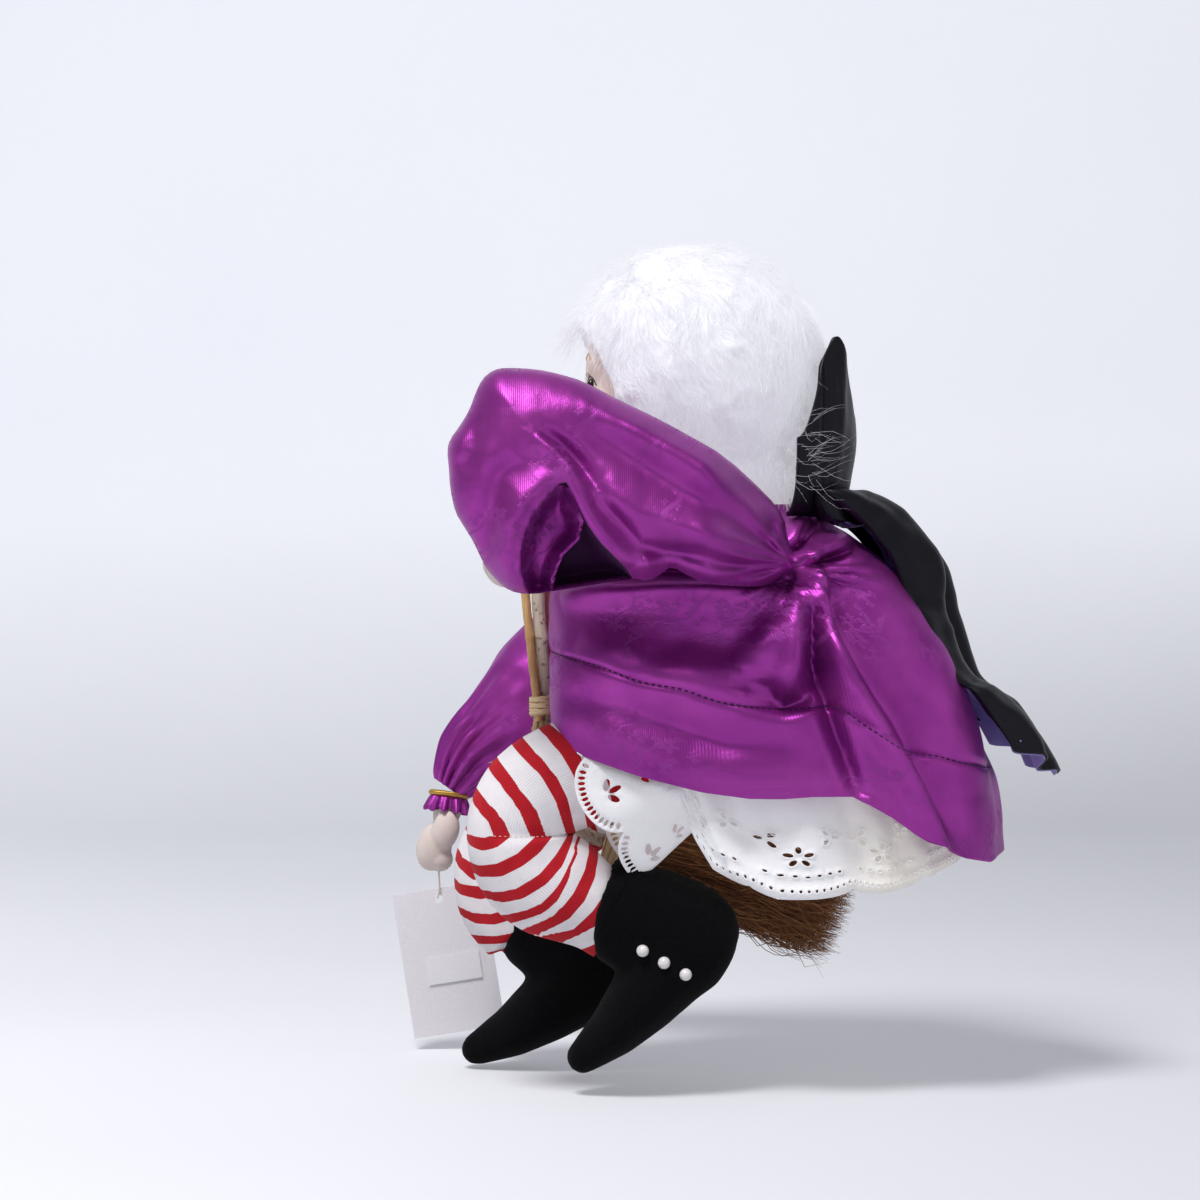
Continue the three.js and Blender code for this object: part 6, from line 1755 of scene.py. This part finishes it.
# %% [markdown]
# ## Broom
# The handle is a weathered twig with two split canes laid beside it, bound with raffia whose ends are frayed.
# The brush is coir, the curly brown fibre of coconut husk. It is not made of straight bristles: the strands wave and
# tangle, and the end is ragged. Each strand is its own thin mesh, longer and wavier toward the outside.

# %% Twig and canes
STICK_ROUTE = [(-69, 0, -124.2), (-68, 0, -160), (-66, 0, -192), (-64.5, 0, -222), (-61.5, 0, -240), (-55, 0, -256.5),
               (-46, 0, -265.5), (-39, 0, -268.3)]


def twig(name, route, radius_mm, finish, sides, knots, bend_mm, seed):
    line, taper = [], []
    for i in range(121):
        t = i / 120
        p = Vector(smooth_list(route, t))
        p += Vector((noise.noise(Vector((t * 9, seed, 0))), noise.noise(Vector((t * 9, seed, 5))), 0)) * bend_mm
        line.append(p * MM)
        knobs = sum(0.16 * math.exp(-((t - k) / 0.012) ** 2) for k in knots)
        taper.append(1 + 0.10 * noise.noise(Vector((t * 26, seed, 8))) + knobs)
    return tube_mesh(name, line, radius_mm * MM, finish, sides, taper)


settle(twig("broom_twig", STICK_ROUTE, 3.1, pale_twig, 20, (0.22, 0.55, 0.8), 0.35, 1.0), "broom_body", "pale_stick",
       "broom_stick")
for place, route, knot, seed in (
        ("front", [(-75.6, 0, -122), (-73.9, -1.2, -158), (-70, -4, -194), (-67.5, -4.8, -214)], 0.5, 2.0),
        ("back", [(-66, 6.2, -126), (-64.8, 6.0, -169), (-64.6, 5.0, -214)], 0.35, 3.0)):
    cane_made = twig(f"broom_cane_{place}", route, 2.0, tan_cane, 14, (knot,), 0.25, seed)
    settle(cane_made, "broom_body", "reed", f"broom_reed_{place}")
print("stick and two canes laid")

# %% Raffia binding
BINDING_CENTRE = Vector((-65.9, 0.3, -208))
BINDING_HALF = (5.4, 8.0)


def raffia_turns(name, centre, half, axis, up, side, turns, length_mm, radius_mm):
    """Strands wound round something as an oval coil, with slightly uneven turns."""
    pieces = []
    for k in range(3):
        line = []
        for i in range(turns * 32 + 1):
            a = 2 * math.pi * i / 32
            t = i / (turns * 32)
            wob = 0.35 * math.sin(3.1 * a / 2 + k * 2) + 0.25 * random.uniform(-1, 1)
            place = centre + axis * (length_mm * (t - 0.5) + wob + k * 0.5)
            place += up * ((half[0] + 0.25 * k) * math.cos(a + k))
            line.append((place + side * ((half[1] + 0.25 * k) * math.sin(a + k))) * MM)
        pieces.append(tube_mesh(f"{name}_{k}", line, radius_mm * MM, raffia_fibre, 6, None, 0.2 + 0.3 * k))
    return pieces


binding = raffia_turns("binding", BINDING_CENTRE, BINDING_HALF, Vector((0, 0, 1)), Vector((1, 0, 0)),
                       Vector((0, 1, 0)), 6, 8.0, 0.7)
frayed = []
for i in range(46):
    root = BINDING_CENTRE + Vector((chance.uniform(-4, 4), chance.uniform(-7, 5), -3 - chance.uniform(0, 2)))
    fall = chance.uniform(6, 12)
    sway = Vector((chance.uniform(-3.0, 2.0), chance.uniform(-3, 3), 0))
    frayed.append([
        (root + sway * (t ** 1.6) + Vector((0.6 * math.sin(5 * t + i), 0.6 * math.cos(4 * t + i), -fall * t))) * MM
        for t in np.linspace(0, 1, 6)])
frayed_mesh = strand_mesh("frayed_raffia", frayed, np.full(len(frayed), 0.42 * MM), raffia_fibre, 4,
                          chance.uniform(0, 1, len(frayed)))
settle(join_meshes("broom_binding_raffia", binding + [frayed_mesh], raffia_fibre), "broom_body", "raffia",
       "broom_binding")
print(len(frayed), "frayed ends")

# %% Coir brush
BRUSH_AT = Vector((-40, 0, -268))
BRUSH_FALL = math.radians(16)
BRUSH_ALONG = Vector((math.cos(BRUSH_FALL), 0, -math.sin(BRUSH_FALL)))
BRUSH_UP = Vector((math.sin(BRUSH_FALL), 0, math.cos(BRUSH_FALL)))
COIR_STRANDS = 2600
COIR_STEPS = 9


def coir_paths():
    paths, radii = [], []
    for i in range(COIR_STRANDS):
        a, r = chance.uniform(0, 2 * math.pi), math.sqrt(chance.uniform(0, 1))
        up0, side0 = 10.5 * r * math.cos(a), 8.0 * r * math.sin(a)
        up1 = 25 * r * math.cos(a) + chance.normal(0, 2.2)
        side1 = 13.5 * r * math.sin(a) + chance.normal(0, 1.6)
        length = 118 - 15 * abs(chance.normal(0, 0.8)) - 5 * r
        start = 4 + 40 * max(chance.uniform(-0.9, 1), 0) ** 1.5
        phase, turns, curl = chance.uniform(0, 6.28, 2), chance.uniform(1.2, 4.2), chance.uniform(0.8, 3.6)
        if i % 12 == 0:
            curl, start, length = chance.uniform(4, 7.5), chance.uniform(20, 70), min(length + 4, 118)
        line = []
        for s in np.linspace(0, 1, COIR_STEPS):
            along = mix(start, length, s)
            t = along / 118
            bow = curl * t * (1.2 if r > 0.7 else 0.8)
            up = mix(up0, up1, t ** 0.85) + bow * math.sin(turns * 6.28 * t + phase[0])
            side = mix(side0, side1, t ** 0.85) + bow * math.cos(turns * 5.1 * t + phase[1])
            line.append((BRUSH_AT + BRUSH_ALONG * along + BRUSH_UP * up + Vector((0, side, 0))) * MM)
        paths.append(line)
        radii.append(chance.uniform(0.22, 0.42) * MM)
    return paths, radii


coir, coir_radii = coir_paths()
brush = strand_mesh("broom_coir", coir, coir_radii, coir_fibre, 3, chance.uniform(0, 1, len(coir)) ** 1.3)
settle(brush, "broom_body", "coir", *(f"broom_bristles_{k}" for k in range(1, 5)))
tie = raffia_turns("tie", BRUSH_AT + BRUSH_ALONG * 5, (12.6, 9.6), BRUSH_ALONG, BRUSH_UP, Vector((0, 1, 0)), 5, 6.0,
                   0.7)
settle(join_meshes("broom_brush_tie_raffia", tie, raffia_fibre), "broom_body", "raffia", "broom_brush_tie")
STRAW = [(537, 712, -3), (533, 738, 4), (526, 758, 10), (515, 766, 14), (507, 761.5, 17), (498, 760.5, 20),
         (488, 763, 22)]
settle(tube_mesh("stray_straw", [spot(*place) for place in STRAW], 0.3 * MM, raffia_fibre, 5,
                 [1, 1, 1, 1, 1, 1, 0.4], 0.3), "broom_body")
print("broom", len(brush.data.polygons), "faces of coir")

# %% [markdown]
# ## Head
# The face is mostly hidden by the sleeve, so it is a plain calm doll's face: muslin over a hard-stuffed ball, with
# needle-sculpted eye hollows, a small nose, bead eyes with a few thread lashes, and a stitched mouth.

# %% Head and face
HEAD = Vector((2, 0, -60))
HEAD_RADII = (49, 45, 50)


def bumps_on_face(y, z):
    """Raised and sunk places of the face in mm, by place across and up from the head's middle."""
    out = 3.4 * math.exp(-(y / 5.2) ** 2 - ((z + 15) / 7.0) ** 2)
    for sign in (-1, 1):
        out -= 2.4 * math.exp(-((y - sign * 15) / 8) ** 2 - ((z + 4) / 6) ** 2)
        out += 2.2 * math.exp(-((y - sign * 19) / 11) ** 2 - ((z + 21) / 10) ** 2)
        out += 0.9 * math.exp(-((y - sign * 15) / 10) ** 2 - ((z - 7) / 4) ** 2)
    out -= 1.0 * math.exp(-(y / 10) ** 2 - ((z + 26.5) / 1.8) ** 2)
    out += 1.5 * math.exp(-(y / 9) ** 2 - ((z + 37) / 7) ** 2)
    return out


def head_point(u, v):
    a, b = 2 * math.pi * u, math.pi * mix(0.004, 0.996, v)
    way = Vector((-math.cos(a) * math.sin(b), -math.sin(a) * math.sin(b), math.cos(b)))
    p = Vector((HEAD_RADII[0] * way.x, HEAD_RADII[1] * way.y, HEAD_RADII[2] * way.z))
    front = ease(-way.x, 0.25, 0.6)
    p += way * (bumps_on_face(p.y, p.z) * front + 0.35 * wrinkle(p * MM, 16, 1.2))
    return (HEAD + p) * MM


def build_head():
    points, uvs = [], []
    across, down = 128, 96
    for j in range(down + 1):
        for i in range(across):
            points.append(head_point(i / across, j / down))
            uvs.append((i / across * 0.28, j / down * 0.15))
    faces = grid_faces(across, down, True)
    faces += [tuple(range(across)), tuple(reversed(range(down * across, (down + 1) * across)))]
    return add_object("head_stuffed", points, faces, muslin, uvs)


head = settle(build_head(), "head_body", "muslin", "head", "nose")
head_tree = cloth_tree(head)


def on_head(y, z, lift_mm=0.2):
    hit = head_tree.ray_cast(Vector((-0.2, y * MM, (HEAD.z + z) * MM)), Vector((1, 0, 0)))[0]
    return hit - Vector((lift_mm * MM, 0, 0))


def arc_on_face(y0, z0, y1, z1, bow, count=14, lift_mm=0.25):
    shares = [i / (count - 1) for i in range(count)]
    return [on_head(mix(y0, y1, t), mix(z0, z1, t) + bow * math.sin(math.pi * t), lift_mm) for t in shares]


EYE_HEIGHT, EYE_SIDE = -3.5, 9.5
for side, sign in SIGN.items():
    seat = on_head(sign * EYE_SIDE, EYE_HEIGHT, 0.2)
    bpy.ops.mesh.primitive_uv_sphere_add(segments=32, ring_count=20, radius=2.3 * MM, location=(0, 0, 0))
    bead = bpy.context.object
    bead.name = f"{side}_eye_bead"
    bead.scale = (0.8, 1, 1)
    bpy.ops.object.transform_apply(location=False, rotation=False, scale=True)
    move_points(bead, lambda p, n: p + seat)
    bead.data.materials.append(eye_glass)
    bead.data.polygons.foreach_set("use_smooth", [True] * len(bead.data.polygons))
    settle(bead, "head_body", "eye", f"{side}_eye")
    lid_arc = arc_on_face(sign * (EYE_SIDE - 4), EYE_HEIGHT - 0.4, sign * (EYE_SIDE + 4.6), EYE_HEIGHT - 1.0, 3.9)
    lid = tube_mesh(f"{side}_lid", lid_arc, 0.3 * MM, eye_glass, 6)
    lashes = []
    for k in range(7):
        t = 0.3 + 0.11 * k
        root = on_head(sign * (EYE_SIDE + mix(-4, 4.6, t)),
                       EYE_HEIGHT + mix(-0.4, -1.0, t) + 3.9 * math.sin(math.pi * t), 0.2)
        tip = root + Vector((-1.4, sign * (1.0 + 2.2 * t), 1.9)) * MM
        bent = root.lerp(tip, 0.5) + Vector((0, 0, -0.3 * MM))
        lashes.append(tube_mesh(f"{side}_lash_{k}", [root, bent, tip], 0.16 * MM, eye_glass, 4, [1, 0.8, 0.3]))
    brow_arc = arc_on_face(sign * (EYE_SIDE - 5.5), 8.2, sign * (EYE_SIDE + 6), 7.0, 2.6)
    settle(tube_mesh(f"{side}_brow", brow_arc, 0.3 * MM, raffia_fibre, 5), "head_body")
    settle(join_meshes(f"{side}_eye_threads", [lid] + lashes, eye_glass), "head_body")
mouth = tube_mesh("stitched_mouth", arc_on_face(-8, -25.4, 8, -25.4, -2.2, 24, 0.3), 0.5 * MM, lip_floss, 6,
                  [0.4 + 0.6 * math.sin(math.pi * i / 23) for i in range(24)])
settle(mouth, "head_body")
print("head", len(head.data.vertices), "points")

# %% [markdown]
# ## Wig
# The hair is a fleece of long white mohair on a cap: soft, airy, a little wavy, hanging down round the head with
# rounder locks over the collar. A particle system would do, but it doesn't come out in the exported model, so each
# strand is a thin three-sided tube. A lumpy felted base fills the fleece, thousands of fine strands lie on it, some
# stand off and make the soft outline, and long wisps hang over the collar. White fibre passes light on from strand
# to strand; a faint glow of its own stands in for that.

# %% Wig base
WIG_CENTRE = Vector((2, 0, -60))
WIG_STRANDS = 17000
WIG_STEPS = 6
FACE_CENTRE = Vector((-58, 0, -91.5))
FACE_RADII = Vector((51, 60, 57.5))
WIG_LOW = -106


def in_face(p, grow=1.0):
    q = p - FACE_CENTRE
    return (q.x / FACE_RADII.x) ** 2 + (q.y / FACE_RADII.y) ** 2 + (q.z / FACE_RADII.z) ** 2 < grow * grow


wig_base = stuffed("wig_base", ["wig"], "head_body", mohair_base, "mohair", 2.0, 14, -1.0)
move_points(wig_base, lambda p, n: p + n * (1.9 * wrinkle(p, 13, 2.2) + 1.2 * wrinkle(p, 5, 4.2)) * MM)
print("wig base", len(wig_base.data.vertices), "points")

# %% Strands of the fleece


def swirl(p, size):
    """A smooth random direction that changes over that many millimetres."""
    q = p / size
    return Vector((noise.noise(q), noise.noise(q + Vector((9, 0, 0))), noise.noise(q + Vector((0, 9, 0)))))


def hair_path(root, length, lift, phase, wave, stray):
    """A strand in mm that hangs down over the ball from its root, and stands off it by lift at its tip."""
    line = []
    p = root.copy()
    reach = (root - WIG_CENTRE).length
    step = length / (WIG_STEPS - 1)
    curl = 1.1 if root.z < -78 and root.x > 10 else 0.55
    for s in range(WIG_STEPS):
        t = s / (WIG_STEPS - 1)
        out = (p - WIG_CENTRE).normalized()
        line.append(p + out * (lift * t * t))
        flow = Vector((0.28, 0, -0.9)) + swirl(p, 26) * 0.9 + swirl(p, 8) * curl + stray
        flow -= out * flow.dot(out)
        if flow.length < 1e-3:
            flow = Vector((1, 0, 0))
        flow.normalize()
        p = p + flow * step + flow.cross(out) * (wave * math.cos(phase + 5.0 * t))
        keep = p - WIG_CENTRE
        p = WIG_CENTRE + keep.normalized() * mix(reach, keep.length, 0.15)
    return line


def over_face(line, loose):
    """Whether a strand would hang over the open face. A few loose ones may at the sides."""
    for q in line[1:]:
        if in_face(q, 0.95) and (q.z < -58 if abs(q.y) < 24 else loose < 0.93):
            return True
    return False


def hair_strands():
    paths, radii = [], []
    while len(paths) < WIG_STRANDS:
        way = Vector(chance.normal(0, 1, 3))
        way.normalize()
        root = WIG_CENTRE + way * chance.uniform(56.0, 59.6)
        if root.z < WIG_LOW + 6 or in_face(root, 1.03):
            continue
        loose = chance.uniform(0, 1)
        lift = 0.8 + 4.6 * loose ** 2 + (4.5 if loose > 0.965 else 0)
        if root.x < -18 and root.z > -62:
            lift += chance.uniform(0, 6)
        line = hair_path(root, chance.uniform(10, 26), lift, chance.uniform(0, 6.28), chance.uniform(0.3, 2.0),
                         Vector(chance.normal(0, 0.3, 3)))
        if any(q.z > 1.5 for q in line) or over_face(line, loose):
            continue
        paths.append([q * MM for q in line])
        radii.append(chance.uniform(0.06, 0.13) * MM)
    return paths, radii


hair, hair_radii = hair_strands()
print(len(hair), "strands on the ball")

# %% Locks in the neck and wisps over the collar
NECK_STRANDS, COLLAR_WISPS, SIDE_WISPS = 2300, 110, 60


def wisp(root, sway, coil):
    """A strand in metres that leaves its root by sway, and coils by coil(t) more and more toward its tip."""
    return [(root + sway * t + Vector(coil(t)) * t) * MM for t in np.linspace(0, 1, WIG_STEPS)]


for _ in range(NECK_STRANDS):
    a = chance.uniform(-1.95, 1.95)
    r = chance.uniform(33, 45)
    root = Vector((2 + r * math.cos(a), r * math.sin(a), chance.uniform(-105, -96)))
    sway = Vector((chance.uniform(-2, 8), chance.uniform(-3, 3), -chance.uniform(11, 22)))
    curl, phase = chance.uniform(0.5, 2), chance.uniform(0, 6.28)
    hair.append(wisp(root, sway, lambda t: (curl * math.sin(6 * t + phase), curl * math.cos(5 * t + phase), 0)))
    hair_radii.append(chance.uniform(0.08, 0.16) * MM)
for _ in range(COLLAR_WISPS):
    y = chance.uniform(-40, 40)
    drop = 38 + chance.uniform(0, 8)
    root = WIG_CENTRE + Vector((math.sqrt(max(57 ** 2 - y * y - drop * drop, 0)), y, -drop))
    sway = Vector((chance.uniform(-4, 12), chance.uniform(-8, 8), -chance.uniform(12, 26)))
    curl, phase = chance.uniform(1, 3), chance.uniform(0, 6.28)
    hair.append(wisp(root, sway, lambda t: (curl * math.sin(5 * t + phase), curl * math.cos(4 * t + phase), 0)))
    hair_radii.append(0.1 * MM)
for _ in range(SIDE_WISPS):
    side = -1 if chance.uniform(0, 1) < 0.6 else 1
    root = Vector((chance.uniform(36, 50), side * chance.uniform(30, 42), -chance.uniform(84, 108)))
    sway = Vector((chance.uniform(6, 26), side * chance.uniform(8, 18), chance.uniform(-14, 16)))
    curl, phase = chance.uniform(2, 5), chance.uniform(0, 6.28)
    hair.append(wisp(root, sway, lambda t: (0.4 * curl * math.cos(5 * t), 0, curl * math.sin(5 * t + phase))))
    hair_radii.append(0.06 * MM)
wig = strand_mesh("wig_strands", hair, hair_radii, mohair, 3, chance.uniform(0, 1, len(hair)))
settle(wig, "head_body", "mohair")
print("wig", len(hair), "strands,", len(wig.data.polygons), "faces")

# %% [markdown]
# ## Tag and thread
# A card tag hangs from the far hand's fingertips on a loop of cotton thread, with a small blank price sticker.
# A real tag of this kind is die-cut card about 0.4 mm thick, a little bowed. No printing is copied onto it.
# The thread is a limp cord, laid hanging: it leaves the hand, runs through the hole and comes back.

# %% Tag card and sticker


def reshape_card(name, node_name, finish, slot, bow_mm, edge_mm):
    """The CAD plate with many small faces, bowed a little as card is."""
    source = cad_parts[node_name]
    plate = bmesh.new()
    plate.from_mesh(source.data)
    bmesh.ops.dissolve_limit(plate, angle_limit=math.radians(2), verts=plate.verts, edges=plate.edges)
    bmesh.ops.triangulate(plate, faces=plate.faces)
    for _ in range(4):
        long_edges = [e for e in plate.edges if e.calc_length() > edge_mm * MM]
        if not long_edges:
            break
        bmesh.ops.subdivide_edges(plate, edges=long_edges, cuts=1, use_grid_fill=False)
        bmesh.ops.triangulate(plate, faces=plate.faces)
    made = link_in(name, mesh_from(plate, name))
    made.data.materials.append(finish)
    low, high = (Vector(c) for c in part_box("hang_tag"))
    middle = (low + high) / 2

    def bow(p, n):
        across = (p.x - middle.x) / (high.x - low.x) * 2
        down = (high.z - p.z) / (high.z - low.z)
        return p + Vector((0, bow_mm * MM * (across * across * 0.6 + down * down * 0.8), 0))

    move_points(made, bow)
    settle(made, "tag_body", slot, node_name)


reshape_card("hang_tag_card", "hang_tag", card, "card", 1.6, 5)
reshape_card("price_sticker_paper", "price_sticker", sticker_paper, "sticker_paper", 1.6, 4)
print("card and sticker bowed")

# %% Thread
string_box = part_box("tag_string")
string_top, string_low = string_box[1][2], string_box[0][2]
TAG_X, TAG_Y = (string_box[0][0] + string_box[1][0]) / 2, (string_box[0][1] + string_box[1][1]) / 2
THREAD_RADIUS = 0.35 * MM


def thread_path():
    """Down from the fingertips, through the hole and up again, a little twisted."""
    line = []
    for i in range(61):
        t = i / 60
        a = math.pi * t
        drop = math.sin(a) ** 0.8
        y = TAG_Y - math.cos(a) * 2.1 * MM * (1 if 0.2 < t < 0.8 else 0.5 + 2.5 * min(t, 1 - t))
        x = TAG_X + 0.7 * MM * math.sin(3 * math.pi * t) * math.sin(a)
        line.append(Vector((x, y, mix(string_top, string_low + 0.3 * MM, drop))))
    return line


string_line = thread_path()
string = tube_mesh("tag_thread", string_line, THREAD_RADIUS, thread, 8)
settle(string, "tag_body", "thread", "tag_string")
